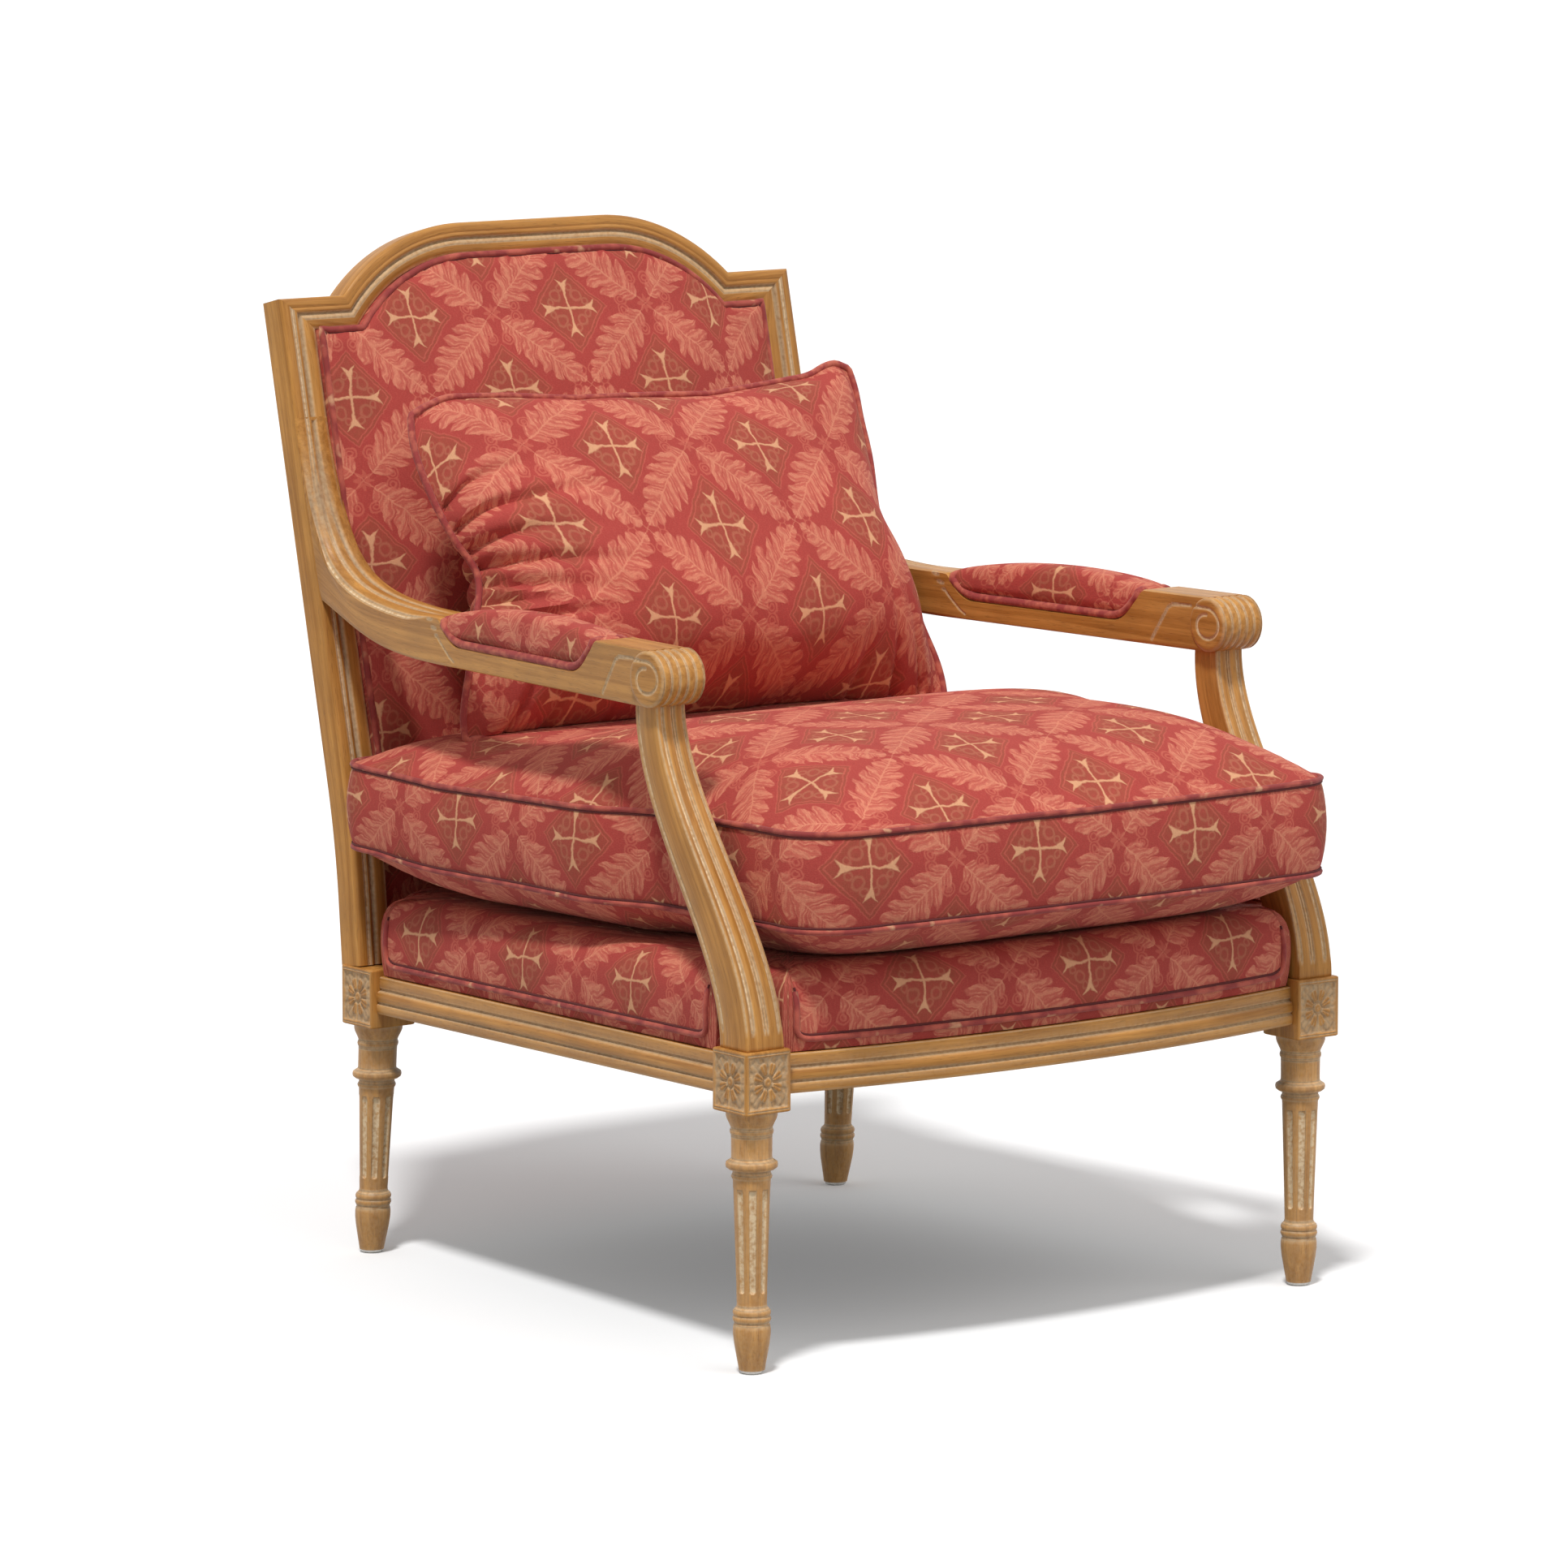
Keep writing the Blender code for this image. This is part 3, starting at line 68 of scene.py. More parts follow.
SIDES = ((-1, "left"), (1, "right"))
FRONT_LEG_X, FRONT_LEG_Y = 0.325, -0.3636
REAR_LEG_X, REAR_LEG_Y = 0.2835, 0.2849
SEAT_DROP = 0.0145
BLOCK_HALF, BLOCK_LOW, BLOCK_HIGH = 0.0255, 0.240, 0.297
BLOCK_ROWS, BLOCK_SQUARENESS, ARRIS, ARRIS_EASE = 62, 26, 0.0012, 0.0004
PETALS, ROSETTE_DEPTH, ROSETTE_LINE = 8, 0.0028, 0.0006
LEG_POINTS = 192
FLUTES, FLUTE_SHARE, FLUTE_DEPTH, FLUTE_STOP = 8, 0.29, 0.0024, 0.0036
FLUTE_START, FLUTE_END = 0.010, 0.006
LEG_LIME = 0.13
LIME_START, LIME_REACH, GROOVE_SHADE_REACH = 0.65, 0.35, 0.28
SHAFT_LOW, SHAFT_HIGH = 0.064, 0.176
TURNING = (
    (.0033, .0118, .2), (.006, .0122, 0), (.016, .0140, 0), (.028, .0161, 0), (.036, .0170, 0),
    (.041, .0171, 0), (.0445, .0166, .3), (.0462, .0158, .9), (.0478, .0166, .4), (.05, .0175, 0),
    (.052, .0172, 0), (.0533, .0162, .9), (.0546, .0170, .2), (.0565, .0173, 0), (.0585, .0166, .2),
    (.06, .0150, .9), (.0615, .0139, .6), (SHAFT_LOW, .0136, .1), (SHAFT_HIGH, .0170, 0),
    (.1775, .0171, .1), (.179, .0181, .3), (.1805, .0186, 0), (.182, .0181, .3), (.1835, .0172, .8),
    (.186, .0172, .5), (.1872, .0210, .3), (.189, .0232, 0), (.1912, .0237, 0), (.1934, .0232, .2),
    (.1952, .0205, .5), (.1965, .0188, .9), (.1985, .0185, .2), (.205, .0185, 0), (.2155, .0186, 0),
    (.2185, .0187, .8), (.2197, .0194, .3), (.2215, .0198, 0), (.2232, .0195, .3), (.224, .0190, .9),
    (.2255, .0190, .4), (.2275, .0198, 0), (.2305, .0212, 0), (.2335, .0226, 0), (.236, .0233, 0),
    (.238, .0234, .2), (.2398, .0234, .4))


def screen(red, green, blue):
    """A colour as a screen shows it, from 0 to 255, in the numbers that a shader takes."""
    parts = [c / 255 for c in (red, green, blue)]
    return tuple(p / 12.92 if p <= 0.04045 else ((p + 0.055) / 1.055) ** 2.4 for p in parts) + (1.0,)


def ease(start, end, value):
    """Nought before the start, one after the end, and a smooth rise between."""
    t = np.clip((value - start) / (end - start), 0, 1)
    return t * t * (3 - 2 * t)


def join(tree, value, socket):
    """Lead a node's result to an input, or set the input to a plain value."""
    if isinstance(value, bpy.types.NodeSocket):
        tree.links.new(value, socket)
    else:
        socket.default_value = value


def new_node(tree, kind, inputs, settings):
    """A node in a tree, with its inputs led from other nodes or set to a value."""
    node = tree.nodes.new(kind)
    for key, value in settings.items():
        setattr(node, key, value)
    for key, value in dict(inputs).items():
        join(tree, value, node.inputs[key])
    return node


def new_finish(name):
    """An empty finish, short ways to add a node, a sum, a mix of colours and a noise to it, and short ways
    to give its shader a value and a relief."""
    stuff = bpy.data.materials.new(name)
    stuff.use_nodes = True
    tree = stuff.node_tree
    shader = tree.nodes["Principled BSDF"]

    def add(kind, inputs=(), **settings):
        """A node of a kind."""
        return new_node(tree, "ShaderNode" + kind, inputs, settings)

    def sums(operation, *values, clamp=False):
        """The result of a sum."""
        return add("Math", enumerate(values), operation=operation, use_clamp=clamp).outputs[0]

    def mixed(share, one, other):
        """One colour, or a share of the other over it."""
        return add("Mix", {0: share, 6: one, 7: other}, data_type="RGBA").outputs[2]

    def noise(place, scale, detail, stretch=None, **more):
        """A cloudy value from nought to one over a place, which may be stretched first."""
        if stretch:
            place = add("Mapping", {"Vector": place, "Scale": stretch}).outputs[0]
        return add("TexNoise", {"Vector": place, "Scale": scale, "Detail": detail, **more}).outputs["Fac"]

    def give(key, value):
        """Set a level of the shader, or lead a result to it."""
        join(tree, value, shader.inputs[key])

    def relief(height, strength, depth):
        """Fine relief that only the light shows."""
        bump = add("Bump", {"Height": height, "Strength": strength, "Distance": depth})
        give("Normal", bump.outputs[0])

    return stuff, add, sums, mixed, noise, give, relief


def make_beech(name, honey, amber, grain_and_shade_brown, cream, lime_share):
    """Waxed beech that follows the grain kept on a piece, with lime in its hollows and pores, and brown
    painted as shade along the edges of the limed hollows.
    """
    stuff, add, sums, mixed, noise, give, relief = new_finish(name)
    grain = add("Attribute", attribute_name="grain").outputs["Vector"]
    lime_and_shade = add("Attribute", attribute_name="lime_and_shade").outputs["Fac"]
    place = add("TexCoord").outputs["Object"]

    streak = noise(grain, 1.0, 4, (150, 150, 5), Roughness=0.6, Distortion=0.5)
    fleck = noise(grain, 1.0, 1, (1100, 1100, 75), Roughness=0.55)
    pore = noise(grain, 1.0, 2, (1500, 1500, 40), Roughness=0.55)
    patch = noise(place, 16.0, 3.0)
    worn = noise(place, 260.0, 3.0)
    tone = sums("MULTIPLY_ADD", streak, 3.4, -1.22, clamp=True)
    shade = sums("MULTIPLY_ADD", patch, 2.4, -0.85, clamp=True)
    dark = sums("MULTIPLY_ADD", fleck, 9.0, -5.4, clamp=True)
    # Painted shade: where the lime amount is near a half, at the edges of the limed hollows, the wood is
    # painted brown as the shade in the grooves.
    off_middle = sums("ABSOLUTE", sums("SUBTRACT", lime_and_shade, 0.5))
    groove_shade = sums("MULTIPLY_ADD", off_middle, -1 / GROOVE_SHADE_REACH, 1.0, clamp=True)
    bare = mixed(tone, amber, honey)
    for mask, share in ((shade, 0.30), (dark, 0.34), (groove_shade, 0.72)):
        bare = mixed(sums("MULTIPLY", mask, share), bare, grain_and_shade_brown)
    filled = sums("MULTIPLY_ADD", pore, 8.0, -4.9, clamp=True)
    rubbed = sums("MULTIPLY_ADD", worn, 2.6, -0.55, clamp=True)
    hollow = sums("MULTIPLY_ADD", lime_and_shade, 1 / LIME_REACH, -LIME_START / LIME_REACH, clamp=True)
    haze = sums("MULTIPLY", sums("MINIMUM", lime_and_shade, 0.3), sums("MULTIPLY_ADD", rubbed, 0.8, 0.5))
    white = sums("MULTIPLY", sums("MULTIPLY", hollow, rubbed), lime_share, clamp=True)
    white = sums("MAXIMUM", sums("MAXIMUM", white, haze), sums("MULTIPLY", filled, 0.08))
    give("Base Color", mixed(white, bare, cream))
    give("Roughness", sums("MULTIPLY_ADD", white, 0.30, 0.40))
    relief(sums("ADD", sums("MULTIPLY", streak, 0.5), sums("MULTIPLY", dark, -0.5)), 0.35, 0.0004)
    give("Coat Weight", 0.05)
    give("Coat Roughness", 0.30)
    give("Specular IOR Level", 0.24)
    return stuff


limed_beech = make_beech("limed_beech", screen(208, 149, 76), screen(172, 115, 50), screen(102, 64, 28),
                         screen(236, 216, 180), 0.85)


def shell(rings, lime_and_shade, grain):
    """Points, faces, lime and grain of one closed body through equal rings of points."""
    rings = np.asarray(rings, float)
    rows, count = rings.shape[:2]
    number = np.arange(rows * count).reshape(rows, count)
    after = np.roll(number, -1, axis=1)
    quads = np.stack((number[:-1], after[:-1], after[1:], number[1:]), axis=-1).reshape(-1, 4)
    points = rings.reshape(-1, 3)
    a, b, c, d = (points[quads[:, k]] - points.mean(0) for k in range(4))
    volume = (a * (np.cross(b, c) + np.cross(c, d))).sum()
    faces = quads.tolist() + [number[0, ::-1].tolist(), number[-1].tolist()]
    if volume < 0:
        faces = [face[::-1] for face in faces]
    lime_and_shade = np.broadcast_to(np.asarray(lime_and_shade, float), (rows, count)).reshape(-1)
    return points, faces, lime_and_shade, np.asarray(grain, float).reshape(-1, 3)


def placed(name, data):
    """A new object in the scene."""
    piece = bpy.data.objects.new(name, data)
    bpy.context.scene.collection.objects.link(piece)
    return piece


def wooden(name, shells, node):
    """One piece of the frame's wood from its closed bodies, in place of a CAD node."""
    points, faces, start = [], [], 0
    for part in shells:
        points.append(part[0])
        faces += [[k + start for k in face] for face in part[1]]
        start += len(part[0])
    mesh = bpy.data.meshes.new(name)
    mesh.from_pydata(np.concatenate(points).tolist(), [], faces)
    mesh.attributes.new("lime_and_shade", "FLOAT", "POINT").data.foreach_set(
        "value", np.concatenate([part[2] for part in shells]))
    mesh.attributes.new("grain", "FLOAT_VECTOR", "POINT").data.foreach_set(
        "vector", np.concatenate([part[3] for part in shells]).ravel())
    mesh.shade_smooth()
    mesh.set_sharp_from_angle(angle=math.radians(38))
    mesh.materials.append(limed_beech)
    piece = placed(name, mesh)
    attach(piece, "frame")
    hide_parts(node)


def rosette(across, up):
    """Depth and lime of the block's carving, over a face that runs from -1 to 1 both ways. Middle amounts of
    lime, at the edges of the bed and round the line, paint brown shade.
    """
    edge = np.maximum(np.abs(across), np.abs(up))
    reach, turn = np.hypot(across, up), np.arctan2(up, across) * PETALS / (2 * math.pi)
    sunk = 1 - ease(0.78, 0.86, edge)
    front, behind = turn % 1 - 0.5, (turn + 0.5) % 1 - 0.5
    petal = np.sqrt(np.clip(1 - (front / 0.42) ** 2, 0, 1)) * ease(0.16, 0.30, reach)
    petal *= (1 - ease(0.60, 0.72, reach + 0.5 * front ** 2)) * (1 - 0.45 * np.exp(-(front / 0.08) ** 2))
    leaf = 0.6 * np.sqrt(np.clip(1 - (behind / 0.40) ** 2, 0, 1)) * ease(0.45, 0.60, reach)
    leaf *= (1 - ease(0.86, 1.02, reach)) * (1 - 0.4 * np.exp(-(behind / 0.07) ** 2))
    boss = np.sqrt(np.clip(1 - (reach / 0.17) ** 2, 0, 1)) * (1 - 0.5 * np.exp(-(reach / 0.05) ** 2))
    high = np.maximum(np.maximum(petal, leaf), boss)
    bed = ROSETTE_DEPTH * sunk * (1 - 0.9 * high)
    line = np.exp(-((edge - 0.90) / 0.018) ** 2)
    return bed + ROSETTE_LINE * line, np.clip(sunk * (0.95 - 1.1 * high), 0, 1) * 0.8 + 0.6 * line


def leg_shell(x, y, drop, rake, carved):
    """A turned leg and its block as one body, with carving on the faces that are named by direction.
    Each row of the turning is a height, a radius and how much lime is left; a middle amount of lime paints
    brown shade at the edge of a hollow."""
    angle = 2 * math.pi * np.arange(LEG_POINTS) / LEG_POINTS
    away = np.stack((np.cos(angle), np.sin(angle)), axis=-1)
    low, high = BLOCK_LOW - drop, BLOCK_HIGH - drop
    turning = np.array(TURNING)
    turning[:, 0] -= drop * (turning[:, 0] >= SHAFT_HIGH)
    shaft_high = SHAFT_HIGH - drop
    fine = np.arange(SHAFT_LOW + 0.002, shaft_high - 0.001, 0.002)
    level = np.union1d(turning[:, 0], fine)
    level = np.union1d(level, SHAFT_LOW + FLUTE_START + np.array((0, .0005, .001, .0015)))
    radius, lime_and_shade = np.interp(level, turning[:, 0], turning[:, 1]), np.interp(level, *turning[:, ::2].T)
    stop_low, stop_high = SHAFT_LOW + FLUTE_START + FLUTE_STOP, shaft_high - FLUTE_END - FLUTE_STOP
    beyond = np.maximum(stop_low - level, level - stop_high) / FLUTE_STOP
    width = np.sqrt(np.clip(1 - np.clip(beyond, 0, 1) ** 2, 1e-6, 1)) * FLUTE_SHARE
    phase = (angle * FLUTES / (2 * math.pi) + 0.25) % 1 - 0.5
    hollow = np.sqrt(np.clip(1 - (phase[None, :] / width[:, None]) ** 2, 0, 1))
    hollow *= (width / FLUTE_SHARE)[:, None]
    hollow *= ((level > SHAFT_LOW) & (level < shaft_high))[:, None]
    reach = radius[:, None] - FLUTE_DEPTH * hollow
    rounds = np.zeros((len(level), LEG_POINTS, 3))
    rounds[..., :2] = reach[..., None] * away[None]
    rounds[..., 2] = level[:, None]
    rounds[..., 1] += rake * (low - level)[:, None] / low
    white = np.clip(lime_and_shade[:, None] + ease(0.05, 0.40, hollow), LEG_LIME, 1)

    flat = np.linspace(low + ARRIS, high - ARRIS, BLOCK_ROWS)
    heights = np.concatenate(([low, low + 0.0005], flat, [high - 0.0005, high]))
    square = (np.abs(away) ** BLOCK_SQUARENESS).sum(1) ** (-1 / BLOCK_SQUARENESS)
    plan = away * square[:, None] * BLOCK_HALF
    blocks = np.zeros((len(heights), LEG_POINTS, 3))
    blocks[..., :2] = plan[None]
    blocks[..., 2] = heights[:, None]
    carving = np.zeros(blocks.shape[:2])
    up = np.broadcast_to(((heights - (low + high) / 2) / ((high - low) / 2))[:, None], carving.shape)
    for axis, sign in carved:
        facing = (np.abs(away[:, axis]) >= np.abs(away[:, 1 - axis])) & (away[:, axis] * sign > 0)
        across = np.broadcast_to(plan[None, :, 1 - axis] / BLOCK_HALF, carving.shape)
        depth, fill = rosette(across, up)
        blocks[:, facing, axis] -= sign * depth[:, facing]
        carving[:, facing] = fill[:, facing]
    arris = np.array([ARRIS, ARRIS_EASE] + [0] * BLOCK_ROWS + [ARRIS_EASE, ARRIS])
    blocks[..., :2] *= (1 - arris / BLOCK_HALF)[:, None, None]
    rings = np.concatenate((rounds, blocks))
    return shell(rings + np.array((x, y, 0)), np.concatenate((white, carving)), rings)


for side, hand in SIDES:
    leg = leg_shell(side * FRONT_LEG_X, FRONT_LEG_Y, 0, 0, ((1, -1), (0, side)))
    wooden(f"turned_front_leg_{hand}", [leg], f"front_leg_{hand}")


# Rear posts
# Leg, block and back stile are sawn from one length of beech. The stile bends back above the seat,
# and two limed grooves are run down its face beside a cove that meets the upholstery.

STILE_OUTER, STILE_INNER = 0.307, 0.269
STILE_HALF_DEPTH = 0.016
STILE_FOOT, STILE_SHOULDER, STILE_TOP = 0.2825, 0.883, 0.913
FOOT_SLOPE, BACK_SLOPE, BEND_LOW, BEND_HIGH = 0.08, 0.228, 0.340, 0.460
REAR_RAKE, STILE_SETBACK = 0.0145, 0.0125
SHOULDER_GAP, MITRE_GAP = 0.0002, 0.0001
MILLIMETRE = 0.001
STILE_FACE = (
    (0, 3.5, 0), (.03, 1.6, 0), (.08, .5, 0), (.15, 0, 0), (.24, .1, 0), (.285, .4, .5), (.31, .9, .95),
    (.335, .9, .95), (.36, .4, .5), (.40, .2, 0), (.44, .5, 0), (.48, 1.6, .3), (.51, 3.6, .5),
    (.535, 3.9, .6), (.56, 2.6, .5), (.60, 1.7, .3), (.66, 1.5, 0), (.74, 1.7, 0), (.82, 2.2, 0),
    (.90, 3.0, 0), (.96, 3.8, .2), (1, 4.4, .3))


def stile_y(z):
    """Middle of the stile at a height: nearly upright, then bent back to the rake."""
    bend = np.clip(z, BEND_LOW, BEND_HIGH) - BEND_LOW
    growth = (BACK_SLOPE - FOOT_SLOPE) / (BEND_HIGH - BEND_LOW)
    low = REAR_LEG_Y + STILE_SETBACK + FOOT_SLOPE * (np.minimum(z, BEND_LOW) - STILE_FOOT)
    return low + FOOT_SLOPE * bend + growth * bend * bend / 2 + BACK_SLOPE * np.maximum(z - BEND_HIGH, 0)


def back_point(x, z, depth):
    """A point of the raked back, at a depth behind the middle of the stiles."""
    bend = np.clip((z - BEND_LOW) / (BEND_HIGH - BEND_LOW), 0, 1)
    lean = np.arctan(FOOT_SLOPE + (BACK_SLOPE - FOOT_SLOPE) * bend)
    x, z, depth = np.broadcast_arrays(np.asarray(x, float), z, depth)
    return np.stack((x, stile_y(z) + depth * np.cos(lean), z - depth * np.sin(lean)), axis=-1)


def run_lengths(points):
    """Distance along a line of points."""
    return np.concatenate(([0], np.cumsum(np.linalg.norm(np.diff(points, axis=0), axis=1))))


def moulded(place, stations, face, rear, corner=0.0015, corner_share=0.06):
    """A length of wood with a moulded face. Each row of the face is a share of the way across it, a depth in
    millimetres and how much lime is left, where a middle amount paints brown shade beside a groove. A place
    turns a station, a share and a depth into a point.
    The depth of the rear may differ from station to station."""
    share, drop, lime_and_shade = np.array(face).T
    share = np.concatenate((share, (1, 1 - corner_share, corner_share, 0)))
    lime_and_shade = np.concatenate((lime_and_shade, (0, 0, 0, 0)))
    rings = []
    for k, station in enumerate(stations):
        deep = rear[k] if hasattr(rear, "__len__") else rear
        depth = np.concatenate((drop * MILLIMETRE, (deep - corner, deep, deep, deep - corner)))
        rings.append([place(station, s, d) for s, d in zip(share, depth)])
    rings = np.array(rings)
    along = run_lengths(rings[:, 0])
    wide = np.linalg.norm(rings[:, 0] - rings[:, len(face) - 1], axis=1)
    grain = np.zeros(rings.shape)
    grain[..., 0] = share[None] * wide[:, None]
    grain[..., 1] = np.concatenate((drop * MILLIMETRE, [0.03] * 4))[None]
    grain[..., 2] = along[:, None] + rings[0, 0, 0]
    return shell(rings, lime_and_shade[None] * np.ones((len(rings), 1)), grain)


stile_levels = np.concatenate((
    np.linspace(STILE_FOOT + SHOULDER_GAP, BEND_LOW, 5)[:-1], np.linspace(BEND_LOW, BEND_HIGH, 14),
    np.linspace(BEND_HIGH, STILE_SHOULDER - 0.03, 12)[1:], [STILE_SHOULDER]))
for side, hand in SIDES:
    def stile_place(z, share, depth):
        """A point of the stile, which is cut to a mitre at its top."""
        mitre = (STILE_TOP - STILE_SHOULDER) * (1 - share) * (z == STILE_SHOULDER)
        across = STILE_OUTER + (STILE_INNER - STILE_OUTER) * share
        return back_point(side * across, z + mitre - MITRE_GAP, depth - STILE_HALF_DEPTH)

    leg = leg_shell(side * REAR_LEG_X, REAR_LEG_Y, SEAT_DROP, REAR_RAKE, ((1, 1), (0, side)))
    stile = moulded(stile_place, stile_levels, STILE_FACE, 2 * STILE_HALF_DEPTH)
    wooden(f"turned_rear_post_{hand}", [leg, stile], f"rear_post_{hand}")


# Crest rail
# The top of the back is cut from one board: square shoulders that are mitred to the stiles' mouldings,
# a notch, and a raised arch. The same moulding runs on round it.

CREST_TOP, CREST_WIDTH, CREST_DEPTH = 0.976, 0.030, 0.031
ARCH_FLAT, ARCH_RADIUS, ARCH_STEPS = 0.085, 0.205, 18
ARCH_MIDDLE = CREST_TOP - ARCH_RADIUS
outer_turn = math.asin((STILE_TOP - ARCH_MIDDLE) / ARCH_RADIUS)
inner_turn = math.asin((STILE_SHOULDER - ARCH_MIDDLE) / (ARCH_RADIUS - CREST_WIDTH))
crest_edges = [((STILE_OUTER, STILE_TOP), (STILE_INNER, STILE_SHOULDER))]
notch_outer = ARCH_FLAT + ARCH_RADIUS * math.cos(outer_turn)
notch_inner = ARCH_FLAT + (ARCH_RADIUS - CREST_WIDTH) * math.cos(inner_turn)
crest_edges += [((notch_outer, STILE_TOP), (notch_inner, STILE_SHOULDER))]
for k in range(1, ARCH_STEPS + 1):
    a, b = (turn + (math.pi / 2 - turn) * k / ARCH_STEPS for turn in (outer_turn, inner_turn))
    crest_edges.append(((ARCH_FLAT + ARCH_RADIUS * math.cos(a), ARCH_MIDDLE + ARCH_RADIUS * math.sin(a)),
                        (ARCH_FLAT + (ARCH_RADIUS - CREST_WIDTH) * math.cos(b),
                         ARCH_MIDDLE + (ARCH_RADIUS - CREST_WIDTH) * math.sin(b))))
crest_edges += [((x, CREST_TOP), (x, CREST_TOP - CREST_WIDTH)) for x in (0.04, 0)]
crest_edges += [((-a[0], a[1]), (-b[0], b[1])) for a, b in reversed(crest_edges[:-1])]


def crest_place(edges, share, depth):
    """A point of the crest rail, between its outer and its inner edge."""
    (x, z), (inner_x, inner_z) = edges
    return back_point(x + (inner_x - x) * share, z + (inner_z - z) * share, depth - STILE_HALF_DEPTH)


crest_face = np.array(STILE_FACE)
crest_face[5:9, 2] = 0
crest_face[14:18, 2] = (.5, .85, .75, 0)
wooden("moulded_crest_rail", [moulded(crest_place, crest_edges, crest_face, CREST_DEPTH)], "crest_rail")


# Seat rails
# Four straight-grained rails are tenoned into the leg blocks, and the front one is bowed.
# Each shows a flat band under the upholstery, a bead and a lower fillet between limed grooves.

RAIL_LOW, RAIL_HIGH, RAIL_THICKNESS, RAIL_INSET, FRONT_BOW = 0.254, 0.290, 0.028, 0.007, 0.034
RAIL_FACE = (
    (0, 5.5, 0), (.02, 4.6, .3), (.05, 4.2, 0), (.26, 4.0, .1), (.30, 4.3, .3), (.33, 5.8, .6),
    (.36, 5.9, .6), (.385, 4.2, .4), (.40, 2.2, .2), (.44, .9, 0), (.50, .2, 0), (.56, 0, 0), (.62, .4, 0),
    (.66, 1.4, .2), (.685, 2.8, .6), (.71, 3.0, .6), (.735, 1.6, .4), (.76, .7, .1), (.80, .5, .1),
    (.92, .6, 0), (.97, 1.2, .2), (1, 2.2, 0))


def seat_fall(y):
    """How far the seat lies below its height at the front legs."""
    return SEAT_DROP * (y - FRONT_LEG_Y) / (REAR_LEG_Y - FRONT_LEG_Y)


def front_rail_y(x):
    """Outer face of the bowed front rail."""
    ends = FRONT_LEG_Y - BLOCK_HALF + RAIL_INSET
    return ends - FRONT_BOW * np.maximum(1 - (x / (FRONT_LEG_X - BLOCK_HALF)) ** 2, 0)


def side_rail_x(y):
    """Outer face of the right-hand side rail."""
    front, rear = (x + BLOCK_HALF - RAIL_INSET for x in (FRONT_LEG_X, REAR_LEG_X))
    return front + (rear - front) * (y - FRONT_LEG_Y) / (REAR_LEG_Y - FRONT_LEG_Y)


def rail_height(share, y):
    """Height on a rail, at a share of the way down its face."""
    return RAIL_HIGH + (RAIL_LOW - RAIL_HIGH) * share - seat_fall(y)


def front_rail_place(x, share, depth):
    """A point of the bowed front rail."""
    y = front_rail_y(x) + depth
    return x, y, rail_height(share, y)


def rear_rail_place(x, share, depth):
    """A point of the rear rail."""
    y = REAR_LEG_Y + BLOCK_HALF - RAIL_INSET - depth
    return x, y, rail_height(share, y)


def side_rail_place(station, share, depth):
    """A point of a side rail, at a station that says its side and how far back it is."""
    side, y = station
    return side * (side_rail_x(y) - depth), y, rail_height(share, y)


front_reach, rear_reach = (x - BLOCK_HALF - SHOULDER_GAP for x in (FRONT_LEG_X, REAR_LEG_X))
bow = np.linspace(-front_reach, front_reach, 41)
front_inner = FRONT_LEG_Y - BLOCK_HALF + RAIL_INSET + RAIL_THICKNESS
wooden("bowed_front_rail", [moulded(front_rail_place, bow, RAIL_FACE, front_inner - front_rail_y(bow))],
       "front_seat_rail")
wooden("moulded_rear_rail", [moulded(rear_rail_place, np.linspace(-rear_reach, rear_reach, 9), RAIL_FACE,
                                     RAIL_THICKNESS)], "rear_seat_rail")
for side, hand in SIDES:
    runs = np.linspace(FRONT_LEG_Y + BLOCK_HALF + SHOULDER_GAP, REAR_LEG_Y - BLOCK_HALF - SHOULDER_GAP, 9)
    wooden(f"moulded_side_rail_{hand}", [moulded(side_rail_place, [(side, y) for y in runs], RAIL_FACE,
                                                 RAIL_THICKNESS)], f"side_seat_rail_{hand}")


# Arm supports
# Each S-shaped support stands on a front block and is tenoned into the arm above it.
# Reeds are run up its face and stop short of the block, and a limed line follows its rear edge outside.

ARM_LOW, SUPPORT_SETBACK = 0.593, 0.1295
SUPPORT_BASE, SUPPORT_TOP, SUPPORT_FLARE = 0.042, 0.033, 0.005
SUPPORT_ROWS, SUPPORT_ARRIS = 72, 0.0008
REED_STOP, REED_RUN = 0.309, 0.010
SUPPORT_FRONT = (
    (.03, .6, .4), (.06, .3, .1), (.12, .2, 0), (.16, .9, .4), (.19, 2.3, 1), (.215, 2.3, 1), (.245, .9, .4),
    (.29, .2, 0), (.37, 0, 0), (.45, .2, 0), (.485, 1.0, .2), (.51, 2.4, .9), (.53, 2.4, .9), (.55, 1.1, .3),
    (.57, 1.1, .3), (.59, 2.4, .9), (.61, 2.4, .9), (.635, 1.0, .2), (.67, .2, 0), (.76, 0, 0), (.83, .2, 0),
    (.86, .9, .4), (.885, 2.0, 1), (.91, .9, .4), (.95, .4, .1), (.98, .8, .3))
SUPPORT_SIDE = (
    (.03, .5, .2), (.08, .1, 0), (.5, 0, 0), (.78, 0, 0), (.81, .4, .4), (.83, 1.3, 1), (.86, 1.3, 1),
    (.88, .4, .4), (.92, .1, 0), (.97, .5, .3))
SUPPORT_PLAIN = ((.03, .5, .2), (.08, .1, 0), (.5, 0, 0), (.92, .1, 0), (.97, .5, .2))


def support_line(z):
    """Place, half width and half depth of an arm support at a height."""
    part = np.clip((z - BLOCK_HIGH) / (ARM_LOW - BLOCK_HIGH), 0, 1)
    half = (SUPPORT_BASE + (SUPPORT_TOP - SUPPORT_BASE) * part) / 2
    slope = SUPPORT_SETBACK * 6 * part * (1 - part) / (ARM_LOW - BLOCK_HIGH)
    y = FRONT_LEG_Y + SUPPORT_SETBACK * part * part * (3 - 2 * part)
    return FRONT_LEG_X + SUPPORT_FLARE * part, y, half, half * np.sqrt(1 + slope * slope)


